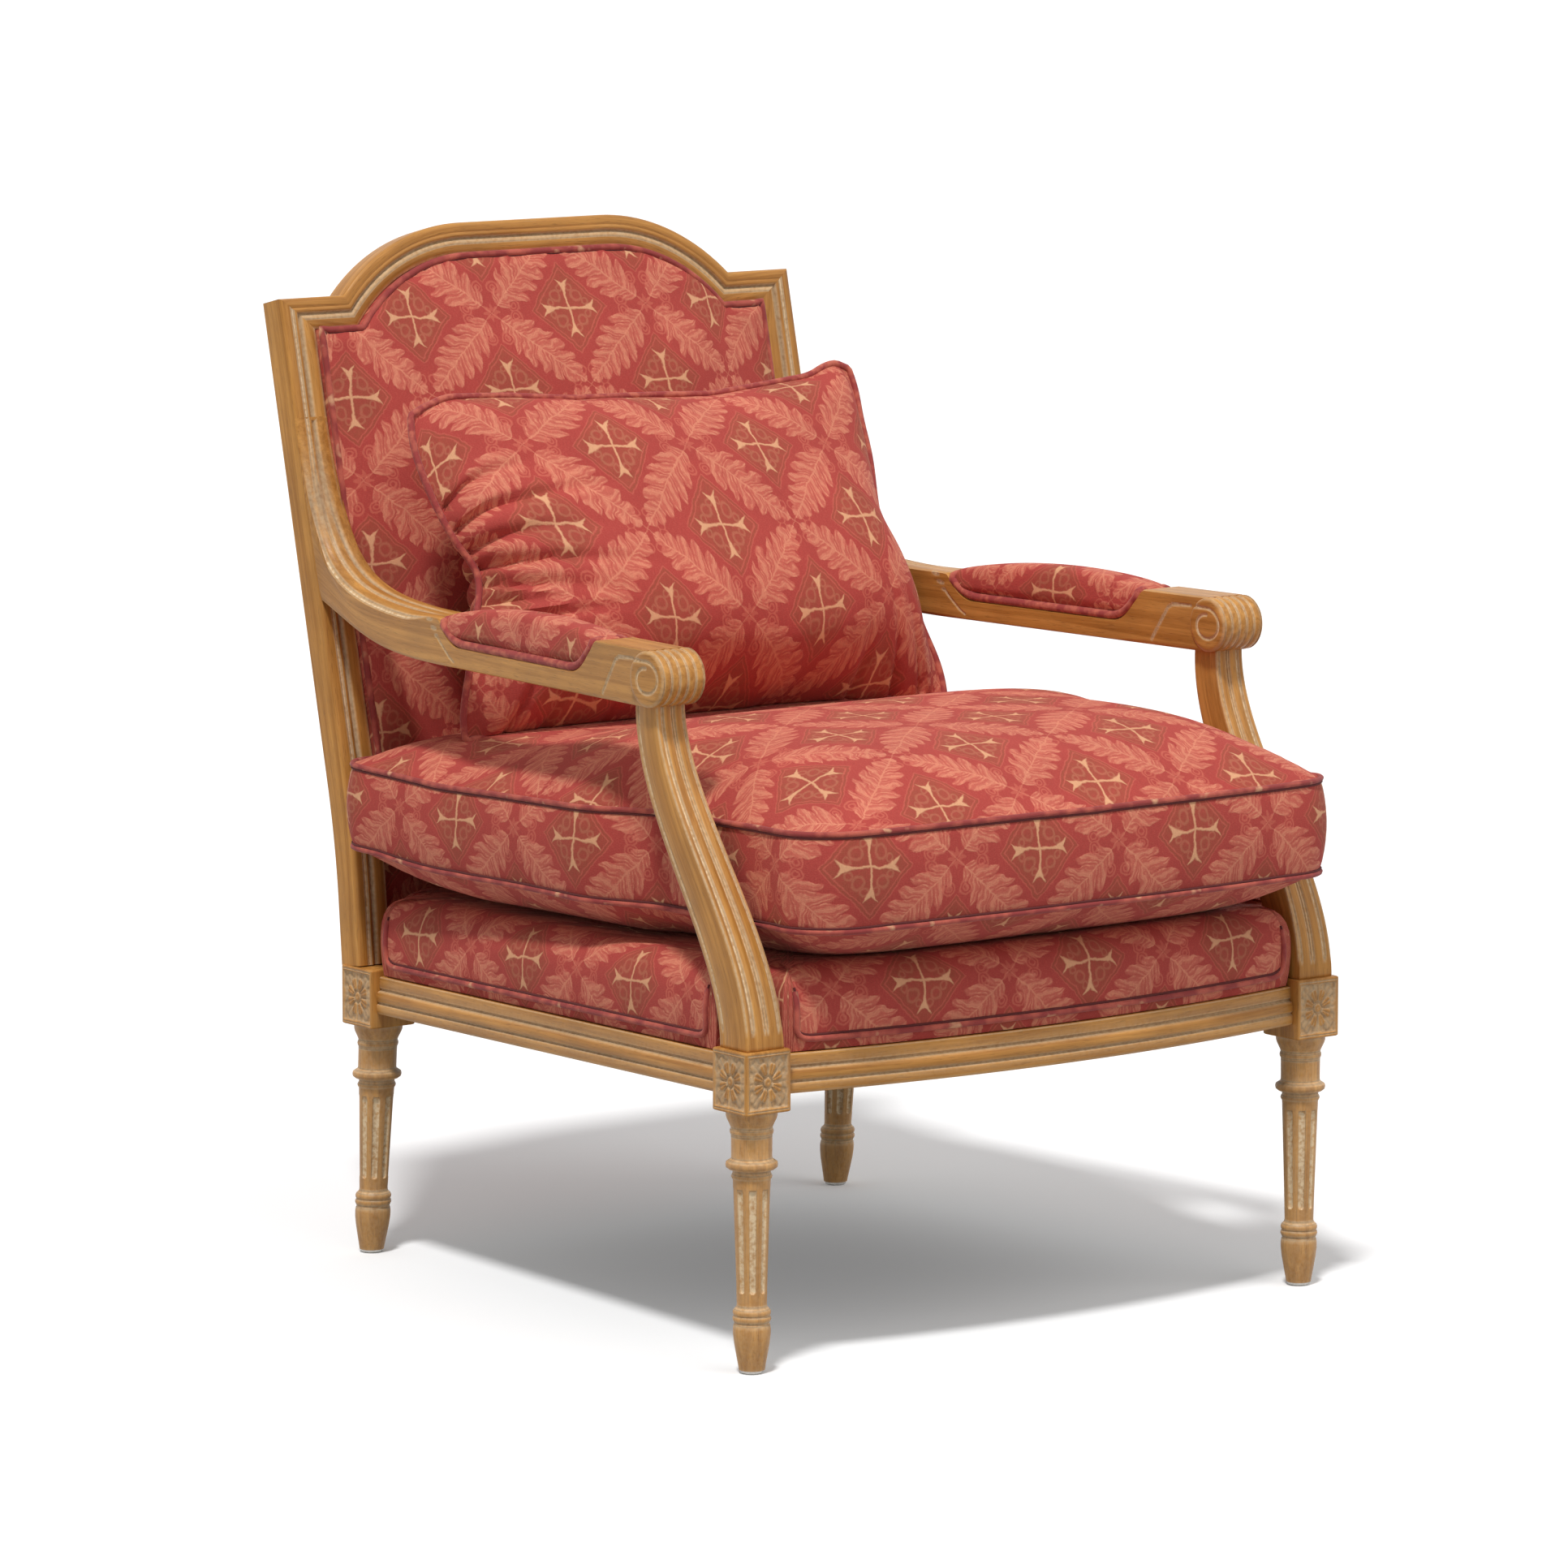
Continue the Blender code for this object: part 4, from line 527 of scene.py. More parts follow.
def support_shell(side):
    """The support as rings of its four faces, from the outer front corner round."""
    faces = ((SUPPORT_FRONT, (1, -1), (-1, 0), (0, 1)), (SUPPORT_PLAIN, (-1, -1), (0, 1), (1, 0)),
             (SUPPORT_PLAIN, (-1, 1), (1, 0), (0, -1)), (SUPPORT_SIDE[::-1], (1, 1), (0, -1), (-1, 0)))
    rings, lime_and_shade, grain = [], [], []
    foot = [BLOCK_HIGH + SHOULDER_GAP, BLOCK_HIGH + ARRIS]
    for z in np.concatenate((foot, np.linspace(BLOCK_HIGH + 0.004, ARM_LOW + 0.002, SUPPORT_ROWS))):
        x, y, half, deep = support_line(z)
        cut = ease(REED_STOP, REED_STOP + REED_RUN, z)
        arris = SUPPORT_ARRIS * (1 - min((z - BLOCK_HIGH) / ARRIS, 1))
        ring, fill = [], []
        for face, corner, along, into in faces:
            for share, drop, white in face:
                share = 1 - share if face is faces[3][0] else share
                drop = drop * MILLIMETRE * (cut if face is SUPPORT_FRONT or white == 1 else 1) + arris
                run = 2 * share
                ring.append((side * (x + (corner[0] + along[0] * run) * half + into[0] * drop),
                             y + (corner[1] + along[1] * run) * deep + into[1] * drop, z))
                fill.append(white * cut)
        rings.append(ring)
        lime_and_shade.append(fill)
        grain.append([(p[0], p[1] - y, z) for p in ring])
    return shell(rings, lime_and_shade, grain)


for side, hand in SIDES:
    wooden(f"reeded_arm_support_{hand}", [support_shell(side)], f"arm_support_{hand}")


# Arms
# Each arm is sawn from one board: a reeded scroll over the support, a recess for the pad, and a sweep
# that rises into the stile. A limed line is cut beside the pad, and winds into a spiral in the scroll's ends.

SCROLL_X, SCROLL_Y, SCROLL_RADIUS = 0.330, -0.2454, 0.026
SCROLL_Z = ARM_LOW + SCROLL_RADIUS
ARM_TOP, ARM_WIDTH, ARM_REAR_WIDTH = 0.645, 0.044, 0.038
STILE_MIDDLE = (STILE_OUTER + STILE_INNER) / 2
RECESS_FLOOR, RECESS_START, RECESS_END, RECESS_SLANT, RECESS_ROUND = 0.6125, -0.1524, 0.1226, 0.026, 0.013
SWEEP_HIGH, SWEEP_LOW, SWEEP_RISE, SWEEP_FULLNESS = 0.800, 0.628, 0.637, 0.9
FRONT_LINE = ((-.221, .6352), (-.196, .6345), (-.190, .6310), (-.168, .5985))
REAR_LINE = ((.141, .6400), (.131, .6290), (.118, .6150), (.101, .6020), (.094, .5985))
CUT_HALF, CUT_DEPTH, CUT_FILL = 0.0009, 0.0011, 1.3
ARM_ARRIS = 0.0006
ARM_FACE = (
    (0, 9.5, 0), (.02, 8.2, .5), (.04, 7.9, 1), (.06, 7.2, 1), (.085, 5.6, .5), (.13, 3.8, 0), (.20, 2.0, 0),
    (.27, 1.1, 0), (.31, 1.1, .4), (.335, 2.2, 1), (.36, 2.0, .8), (.385, .9, .3), (.45, .2, 0), (.55, 0, 0),
    (.60, .3, .3), (.625, 1.4, .6), (.65, 1.3, .5), (.675, .4, .3), (.75, 0, 0), (.88, .3, 0), (.95, 1.0, 0),
    (1, 2.2, 0))
SCROLL_RIM = ((.0252, .0205, 0), (.0249, .0225, 0), (.0242, .0244, .2), (.0230, .0256, .2))
SCROLL_REEDS, SCROLL_REED_HALF, SCROLL_REED_DEPTH, SCROLL_POINTS = 5, 0.0225, 0.0021, 128
SPIRAL_START, SPIRAL_END, SPIRAL_SPREAD = 0.0162, 0.0098, 1.20
SPIRAL_HALF, SPIRAL_DEPTH = 0.0012, 0.0014


def arm_x(y):
    """Middle of the right-hand arm, which opens out from the stile to the scroll."""
    rear = stile_y(SWEEP_LOW) - STILE_HALF_DEPTH
    return STILE_MIDDLE + (SCROLL_X - STILE_MIDDLE) * np.maximum(rear - y, 0) / (rear - SCROLL_Y)


def cubic(handles, t):
    """A point of a cubic curve."""
    a, b, c, d = (np.array(h) for h in handles)
    return a * (1 - t) ** 3 + b * 3 * (1 - t) ** 2 * t + c * 3 * (1 - t) * t * t + d * t ** 3


def line_distance(points, line):
    """How far points in a plane lie from a line of straight runs."""
    best = np.full(len(points), 9.0)
    for start, end in zip(np.array(line[:-1]), np.array(line[1:])):
        run = end - start
        t = np.clip((points - start) @ run / (run @ run), 0, 1)
        best = np.minimum(best, np.linalg.norm(points - start - t[:, None] * run, axis=1))
    return best


def sweep_handles():
    """Handles of the arm's lower and upper edges from the pad to the stile, as depth and height."""
    def on_stile(z):
        """A point on the face of the stile."""
        return back_point(0, z, -STILE_HALF_DEPTH - MITRE_GAP)[1:]

    start, end = np.array((RECESS_END, ARM_LOW)), on_stile(SWEEP_LOW)
    run = end[0] - RECESS_END
    lower = (start, start + (run * 0.55, 0), end - (run * 0.35, run * 0.11), end)
    start, end, corner = np.array((RECESS_END, SWEEP_RISE)), on_stile(SWEEP_HIGH), on_stile(SWEEP_RISE)
    upper = (start, start + (corner - start) * SWEEP_FULLNESS, end + (corner - end) * SWEEP_FULLNESS, end)
    return lower, upper


def recess_top(y):
    """Height of the wood along the arm: the scroll's top, the pad's recess with eased corners, and the start
    of the sweep."""
    known = (
        (SCROLL_Y, ARM_TOP), (RECESS_START - 0.002, ARM_TOP), (RECESS_START + RECESS_SLANT, RECESS_FLOOR),
        (RECESS_END - RECESS_SLANT, RECESS_FLOOR), (RECESS_END + 0.001, SWEEP_RISE), (1, SWEEP_RISE))
    spread = np.linspace(-RECESS_ROUND, RECESS_ROUND, 33)
    eased = np.mean([np.interp(y + s, *np.array(known).T) for s in spread], axis=0)
    blend = ease(RECESS_START - 0.006, RECESS_START + 0.006, y)
    blend = blend * (1 - ease(RECESS_END - 0.010, RECESS_END, y))
    return eased * blend + np.where(y < 0, ARM_TOP, SWEEP_RISE) * (1 - blend)


def arm_shell(side):
    """The arm behind its scroll, as rings that go up outside, across the moulded top and down inside."""
    lower, upper = sweep_handles()
    fine = np.arange(-0.226, -0.118, 0.0016)
    levels = np.concatenate(([SCROLL_Y + 0.002, SCROLL_Y + 0.012], fine, np.arange(-0.116, 0.082, 0.006),
                             np.arange(0.083, RECESS_END, 0.0016)))
    sections = []
    for y, top in zip(levels, recess_top(levels)):
        sections.append(((y, ARM_LOW), (y, top), ARM_WIDTH / 2, 0, (0, -1)))
    for t in np.concatenate((np.linspace(0, 0.25, 22), np.linspace(0.25, 1, 40)[1:])):
        half = (ARM_WIDTH + (ARM_REAR_WIDTH - ARM_WIDTH) * t) / 2
        run = cubic(upper, min(t + 0.001, 1)) - cubic(upper, max(t - 0.001, 0))
        sections.append((cubic(lower, t), cubic(upper, t), half, t, (run[1], -run[0]) / np.linalg.norm(run)))
    arm_face, stile_face = np.array(ARM_FACE), np.array(STILE_FACE)
    climb = np.linspace(0.03, 1, 30)
    fall = climb[::-1]
    rings, lime_and_shade, grain = [], [], []
    for low, high, half, t, inward in sections:
        low, high, inward = np.array(low), np.array(high), np.array(inward)
        joined = ease(0.55, 1, t)
        face = arm_face * (1 - joined) + stile_face * joined
        opened = float(ease(0, 0.12, t))
        drop = face[:, 1] * MILLIMETRE * opened + ARRIS * (np.abs(face[:, 0] - 0.5) > 0.48) * (1 - opened)
        white = face[:, 2] * opened
        foot = low + (high - low) * 0.001
        y_z, across, fill = [foot, foot], [-half * 0.94, half * 0.94], [0, 0]
        for share in climb:
            y_z.append(low + (high + inward * drop[0] - low) * share)
            across.append(half - ARM_ARRIS * (share < 0.04))
            fill.append(0)
        for share, sunk, lit in zip(face[:, 0], drop, white):
            y_z.append(high + inward * sunk)
            across.append(half * (1 - 2 * share))
            fill.append(lit)
        for share in fall:
            y_z.append(low + (high + inward * drop[-1] - low) * share)
            across.append(-half + ARM_ARRIS * (share < 0.04))
            fill.append(0)
        y_z, across, fill = np.array(y_z), np.array(across), np.array(fill)
        for line in (FRONT_LINE, REAR_LINE):
            near = np.exp(-(line_distance(y_z, line) / CUT_HALF) ** 2) * (np.abs(across) > half * 0.985)
            across -= np.sign(across) * CUT_DEPTH * near
            fill = np.maximum(fill, np.clip(near * CUT_FILL, 0, 1))
        rings.append(np.stack((side * (arm_x(y_z[:, 0]) + across), y_z[:, 0], y_z[:, 1]), axis=-1))
        lime_and_shade.append(fill)
        grain.append(np.stack((across, y_z[:, 1] - low[1], np.full(len(fill), low[0] + t * 0.1)), axis=-1))
    return shell(rings, lime_and_shade, grain)


def spiral_line():
    """The line cut in a scroll's end, as depth and height: in from the arm, over the top and once round."""
    turn = np.linspace(0, 1, 61)
    reach = SPIRAL_START + (SPIRAL_END - SPIRAL_START) * turn
    angle = math.pi / 2 + 2 * math.pi * turn
    depth = SCROLL_Y + SPIRAL_SPREAD * reach * np.cos(angle)
    return np.concatenate((FRONT_LINE[:1], np.column_stack((depth, SCROLL_Z + reach * np.sin(angle)))))


def scroll_shell(side):
    """The roll over the support, reeded round, with a spiral at each end."""
    across = np.linspace(SCROLL_REED_HALF, -SCROLL_REED_HALF, SCROLL_REEDS * 8 + 1)
    phase = (across + SCROLL_REED_HALF) / (2 * SCROLL_REED_HALF)
    phase = np.abs(np.sin(math.pi * SCROLL_REEDS * phase))
    round_reed = SCROLL_RADIUS - SCROLL_REED_DEPTH * (1 - phase ** 0.6)
    reeds = np.column_stack((across, round_reed, np.clip(1.1 - 2.2 * phase, 0, 1)))
    flat_out, flat_reach = SCROLL_RIM[0][:2]
    flat = np.arange(0.0004, flat_reach - 0.0003, 0.0005)
    flat = np.column_stack((np.full(len(flat), flat_out), flat, np.zeros(len(flat))))
    end = np.concatenate((flat, SCROLL_RIM))
    profile = np.concatenate((end, reeds, (end * (-1, 1, 1))[::-1]))
    angle = 2 * math.pi * np.arange(SCROLL_POINTS) / SCROLL_POINTS
    out, reach, lime_and_shade = (np.repeat(column[:, None], SCROLL_POINTS, axis=1) for column in profile.T)
    y_z = np.stack((SCROLL_Y + reach * np.cos(angle), SCROLL_Z + reach * np.sin(angle)), axis=-1)
    off = line_distance(y_z.reshape(-1, 2), spiral_line()).reshape(out.shape)
    near = np.exp(-(off / SPIRAL_HALF) ** 2) * (np.abs(out) > SCROLL_RIM[-1][0] - 0.0001)
    x = side * (SCROLL_X + out - np.sign(out) * SPIRAL_DEPTH * near)
    rings = np.concatenate((x[..., None], y_z), axis=-1)
    grain = (rings - (0, SCROLL_Y, ARM_LOW))[..., (0, 2, 1)]
    return shell(rings, np.maximum(lime_and_shade, np.clip(near * CUT_FILL, 0, 1)), grain)


for side, hand in SIDES:
    wooden(f"scrolled_arm_{hand}", [arm_shell(side), scroll_shell(side)], f"arm_{hand}")


# Corner blocks, screws and glides
# Sawn beech blocks brace the inner corners of the seat frame, each held by two bright steel screws, and the
# hidden lower back rail is left sawn too. A domed steel nail under each foot lets the chair slide.

bare_beech, add, sums, mixed, noise, give, relief = new_finish("sawn_beech")
sawn = noise(add("TexCoord").outputs["Object"], 1.0, 5.0, (60, 60, 400))
tone = sums("MULTIPLY_ADD", sawn, 2.0, -0.5, clamp=True)
give("Base Color", mixed(tone, screen(176, 130, 80), screen(214, 174, 122)))
give("Roughness", 0.75)
relief(sawn, 0.5, 0.0006)

bright_steel, add, sums, mixed, noise, give, relief = new_finish("bright_steel")
scuffs = noise(add("TexCoord").outputs["Object"], 700.0, 4.0)
give("Base Color", mixed(scuffs, screen(150, 148, 144), screen(205, 203, 198)))
give("Roughness", sums("MULTIPLY_ADD", scuffs, 0.35, 0.18))
give("Metallic", 1.0)

for name, node in frame["nodes"].items():
    if name.startswith(("corner_block", "lower_back_rail")):
        node.material_slots[0].material = bare_beech
    if name.startswith(("corner_screw", "foot_glide")):
        node.material_slots[0].material = bright_steel


# Webbing and dust cover
# Jute straps are tacked to the rails and woven over and under each other to carry the stuffing.
# Black cambric is stretched under the frame and held by a row of small tacks.

WEB_HALF, WEB_THICKNESS, WEB_COUNT, WEB_TACKED, WEB_LIFT = 0.025, 0.0018, 4, 0.016, 0.0021
WEB_BASE = RAIL_HIGH + 0.0003
STRIPE_SPACING, STRIPE_HALF = 0.017, 0.0016
COVER_SAG, COVER_THICKNESS, COVER_GAP = 0.006, 0.0008, 0.0005
SAG_MIDDLE, SAG_HALF_WIDE, SAG_HALF_DEEP = -0.04, 0.28, 0.29
NOTCH_GAP, NOTCH_STEP = 0.002, 0.0006
TACK_SPACING, TACK_RADIUS, TACK_FLATNESS = 0.028, 0.0026, 0.45


def covered(name, points, patches, finish, lids=()):
    """A piece of cloth from points and patches. A patch is a grid of point numbers, and of the places
    of its points in the flat cloth. A lid is one more face that is out of sight."""
    faces, places = [], []
    for number, cloth in patches:
        order = ((slice(None, -1), slice(None, -1)), (slice(None, -1), slice(1, None)),
                 (slice(1, None), slice(1, None)), (slice(1, None), slice(None, -1)))
        faces += np.stack([number[o] for o in order], axis=-1).reshape(-1, 4).tolist()
        places.append(np.stack([cloth[o] for o in order], axis=-2).reshape(-1, 2))
    for lid in lids:
        faces.append(list(lid))
        places.append(np.zeros((len(lid), 2)))
    mesh = bpy.data.meshes.new(name)
    mesh.from_pydata(np.asarray(points).tolist(), [], faces)
    mesh.uv_layers.new(name="cloth").data.foreach_set("uv", np.concatenate(places).ravel())
    shape = bmesh.new()
    shape.from_mesh(mesh)
    bmesh.ops.recalc_face_normals(shape, faces=shape.faces)
    shape.to_mesh(mesh)
    shape.free()
    mesh.shade_smooth()
    mesh.set_sharp_from_angle(angle=math.radians(50))
    mesh.materials.append(finish)
    piece = placed(name, mesh)
    return piece


def ring_patches(rings, cloth):
    """Points, one wrapped patch and two lids for equal closed rings."""
    rings, cloth = np.asarray(rings, float), np.asarray(cloth, float)
    rows, count = rings.shape[:2]
    number = np.arange(rows * count).reshape(rows, count)
    wrapped = tuple(np.concatenate((grid, grid[:, :1]), axis=1) for grid in (number, cloth))
    return rings.reshape(-1, 3), [wrapped], (number[0], number[-1])


jute, add, sums, mixed, noise, give, relief = new_finish("jute_webbing")
cloth = add("UVMap", uv_map="cloth").outputs["UV"]
across, along = add("SeparateXYZ", {0: cloth}).outputs[:2]
warp = sums("ABSOLUTE", sums("SINE", sums("MULTIPLY", across, 1800.0)))
weft = sums("ABSOLUTE", sums("SINE", sums("MULTIPLY", along, 1400.0)))
from_stripe = sums("SUBTRACT", sums("PINGPONG", across, STRIPE_SPACING), STRIPE_SPACING / 2)
stripe = sums("LESS_THAN", sums("ABSOLUTE", from_stripe), STRIPE_HALF)
tow = mixed(noise(cloth, 900.0, 3.0), screen(150, 120, 78), screen(196, 168, 122))
give("Base Color", mixed(sums("MULTIPLY", stripe, 0.75), tow, screen(70, 62, 60)))
give("Roughness", 0.92)
relief(sums("MULTIPLY", warp, weft), 0.7, 0.0006)

web_front, web_rear = front_inner, REAR_LEG_Y + BLOCK_HALF - RAIL_INSET - RAIL_THICKNESS
web_rows = web_front + (web_rear - web_front) * (np.arange(WEB_COUNT) + 0.5) / WEB_COUNT
web_reach = side_rail_x(web_rear) - RAIL_THICKNESS - WEB_HALF
web_columns = web_reach * (2 * (np.arange(WEB_COUNT) + 0.5) / WEB_COUNT - 1)


def strap(name, ends, crossings, parity, place):
    """A strap from end to end, lifted over every other crossing."""
    along = np.linspace(ends[0], ends[1], 90)
    lift = np.zeros(len(along))
    for k, middle in enumerate(crossings):
        if (k + parity) % 2:
            lift = np.maximum(lift, 1 - ease(WEB_HALF - 0.001, WEB_HALF + 0.008, np.abs(along - middle)))
    edge = np.array((-1, -.98, .98, 1, .98, -.98)) * WEB_HALF
    high = np.array((.5, 0, 0, .5, 1, 1)) * WEB_THICKNESS
    rings, cloth = [], []
    for station, up in zip(along, lift):
        rings.append([place(station, e, WEB_BASE + WEB_LIFT * up + h) for e, h in zip(edge, high)])
        cloth.append([(e, station) for e in edge])
    points, patches, lids = ring_patches(rings, cloth)
    piece = covered(f"woven_{name}", points, patches, jute, lids)
    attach(piece, "frame")
    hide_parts(name)


for k, x in enumerate(web_columns):
    strap(f"webbing_long_{k + 1}", (web_front - WEB_TACKED, web_rear + WEB_TACKED), web_rows, k,
          lambda along, across, z: (x + across, along, z - seat_fall(along)))
for k, y in enumerate(web_rows):
    tip = side_rail_x(y + WEB_HALF) - RAIL_THICKNESS + WEB_TACKED
    strap(f"webbing_cross_{k + 1}", (-tip, tip), web_columns, k + 1,
          lambda along, across, z: (along, y + across, z - seat_fall(y + across)))

cambric, add, sums, mixed, noise, give, relief = new_finish("black_cambric")
threads = noise(add("UVMap", uv_map="cloth").outputs["UV"], 1.0, 2.0, (1500, 90, 1))
give("Base Color", mixed(threads, screen(24, 23, 24), screen(52, 50, 50)))
give("Roughness", 0.9)
relief(threads, 0.4, 0.0003)

cover_front, cover_rear = front_inner - RAIL_THICKNESS / 2, web_rear + RAIL_THICKNESS / 2
notch_front, notch_rear = FRONT_LEG_Y + BLOCK_HALF + NOTCH_GAP, REAR_LEG_Y - BLOCK_HALF - NOTCH_GAP
wide_part = np.linspace(notch_front + NOTCH_STEP, notch_rear - NOTCH_STEP, 40)
cover_rows = [(y, FRONT_LEG_X - BLOCK_HALF - NOTCH_GAP) for y in np.linspace(cover_front, notch_front, 3)]
cover_rows += [(y, side_rail_x(y) - RAIL_THICKNESS / 2) for y in wide_part]
cover_rows += [(y, REAR_LEG_X - BLOCK_HALF - NOTCH_GAP) for y in np.linspace(notch_rear, cover_rear, 4)]
spread = np.linspace(-1, 1, 41)
faces_of_cover = []
for thick in (COVER_THICKNESS, 0):
    grid = np.array([[(half * s, y, 0) for s in spread] for y, half in cover_rows])
    hang = np.clip(1 - (grid[..., 0] / SAG_HALF_WIDE) ** 2, 0, 1)
    hang = hang * np.clip(1 - ((grid[..., 1] - SAG_MIDDLE) / SAG_HALF_DEEP) ** 2, 0, 1)
    grid[..., 2] = RAIL_LOW - COVER_GAP - seat_fall(grid[..., 1]) - COVER_SAG * hang - thick
    faces_of_cover.append(grid)
rows, columns = grid.shape[:2]
number = np.arange(rows * columns).reshape(rows, columns)


def rim_of(number):
    """The point numbers round a grid's edge, in order and back to the first."""
    return np.concatenate((number[0], number[1:, -1], number[-1, -2::-1], number[-2::-1, 0]))


rim = rim_of(number)
edges = np.stack((rim, rim + rows * columns))
dust_cover = covered("stretched_dust_cover", np.concatenate([g.reshape(-1, 3) for g in faces_of_cover]),
                     [(number, grid[..., :2]), (number + rows * columns, grid[..., :2]),
                      (edges, np.zeros((2, len(rim), 2)))], cambric)
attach(dust_cover, "frame")
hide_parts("dust_cover")


def node_tree(name, **sizes):
    """The named inputs of a new tree for Geometry Nodes, and short ways to add a node and to end the tree."""
    tree = bpy.data.node_groups.new(name, "GeometryNodeTree")
    tree.interface.new_socket("Geometry", in_out="OUTPUT", socket_type="NodeSocketGeometry")
    tree.interface.new_socket("Geometry", in_out="INPUT", socket_type="NodeSocketGeometry")
    for key, kind in sizes.items():
        tree.interface.new_socket(key, in_out="INPUT", socket_type="NodeSocket" + kind)
    given = tree.nodes.new("NodeGroupInput").outputs

    def add(kind, inputs=(), **settings):
        """The first result of a node of a kind."""
        return new_node(tree, "GeometryNode" + kind, inputs, settings).outputs[0]

    def close(shape):
        """The tree, ended with a shape that takes its finish."""
        solid = add("RealizeInstances", {0: shape})
        dressed = add("SetMaterial", {"Geometry": solid, "Material": given["Finish"]})
        tree.links.new(dressed, tree.nodes.new("NodeGroupOutput").inputs[0])
        return tree

    return given, add, close


def grown(name, tree, lines, slot, body, **sizes):
    """A plain mesh that a tree grows along lines of points, riding on a body. A closed line repeats its
    first point."""
    points, edges = [], []
    for line in lines:
        closed = np.allclose(line[0], line[-1])
        line = line[:-1] if closed else line
        numbers = [len(points) + k for k in range(len(line))]
        points += [tuple(p) for p in line]
        edges += list(zip(numbers, numbers[1:])) + ([(numbers[-1], numbers[0])] if closed else [])
    path = bpy.data.meshes.new(name + "_path")
    path.from_pydata(points, edges, [])
    holder = placed(name + "_path", path)
    step = holder.modifiers.new("grow", "NODES")
    step.node_group = tree
    for socket in tree.interface.items_tree:
        if socket.in_out == "INPUT" and socket.name in sizes:
            step[socket.identifier] = sizes[socket.name]
    ready = holder.evaluated_get(bpy.context.evaluated_depsgraph_get())
    mesh = bpy.data.meshes.new_from_object(ready)
    mesh.name = name
    bpy.data.objects.remove(holder, do_unlink=True)
    piece = placed(name, mesh)
    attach(piece, body)


given, add, close = node_tree("tack_row", Spacing="Float", Head="Float", Finish="Material")
line = add("MeshToCurve", {0: given["Geometry"]})
spots = add("CurveToPoints", {"Curve": line, "Length": given["Spacing"]}, mode="LENGTH")
head = add("MeshUVSphere", {"Segments": 10, "Rings": 6, "Radius": given["Head"]})
head = add("Transform", {"Geometry": head, "Scale": (1, 1, TACK_FLATNESS)})
head = add("SetShadeSmooth", {0: head})
tack_tree = close(add("InstanceOnPoints", {"Points": spots, "Instance": head}))
tack_line = faces_of_cover[0].reshape(-1, 3)[rim] * (0.978, 0.978, 1) + (0, -0.0008, -0.0002)
grown("dust_cover_tacks", tack_tree, [tack_line], "bright_steel", "frame", Spacing=TACK_SPACING,
      Head=TACK_RADIUS, Finish=bright_steel)


# Seat deck
# The fixed seat is stuffed on the webbing and covered in damask, which is tacked to the rails.
# A dark piping runs above the wood and turns up beside the arm supports and the rear posts, with a thin dark
# tube above it as painted shadow of the seam.

DECK_LOW, DECK_TOP, DECK_INSET = 0.2908, 0.368, 0.008
REPEAT_ACROSS, REPEAT_UP = 0.093, 0.081
DIAMOND_HALF_WIDE, DIAMOND_HALF_HIGH, CROSS_HALF = 0.0445, 0.0480, 0.0405
LEAF_START, LEAF_LENGTH, LEAF_HALF, LEAF_LOBE = 0.012, 0.106, 0.0245, 0.0172
PIPING_RADIUS, DECK_PIPING_RADIUS, SEAM_SHADOW_RADIUS = 0.0031, 0.0028, 0.0012
DECK_LEVELS = (
    (-.0005, DECK_LOW), (.0004, .296), (.0016, .302), (.0028, .311), (.0036, .322), (.0034, .333),
    (.0020, .343), (-.0010, .351), (-.0060, .3580), (-.0130, .3632), (-.0220, .3664),
    (-.0320, DECK_TOP - .0008))
DECK_MIDDLE, DECK_RINGS = (0, -0.04), (0.7, 0.4, 0.15)
FRONT_CUT, SIDE_CUT = (0.158, 0.346), (-0.187, 0.339)
DECK_PULL, DECK_PULL_REACH = 0.0011, 0.012
DECK_PIPING_Z, DECK_PIPING_OUT = 0.3015, 0.0032
DECK_PIPING_CLIMB = ((0.306, .0), (0.318, .0012), (0.328, .0014), (0.338, .0004), (0.347, -.003))


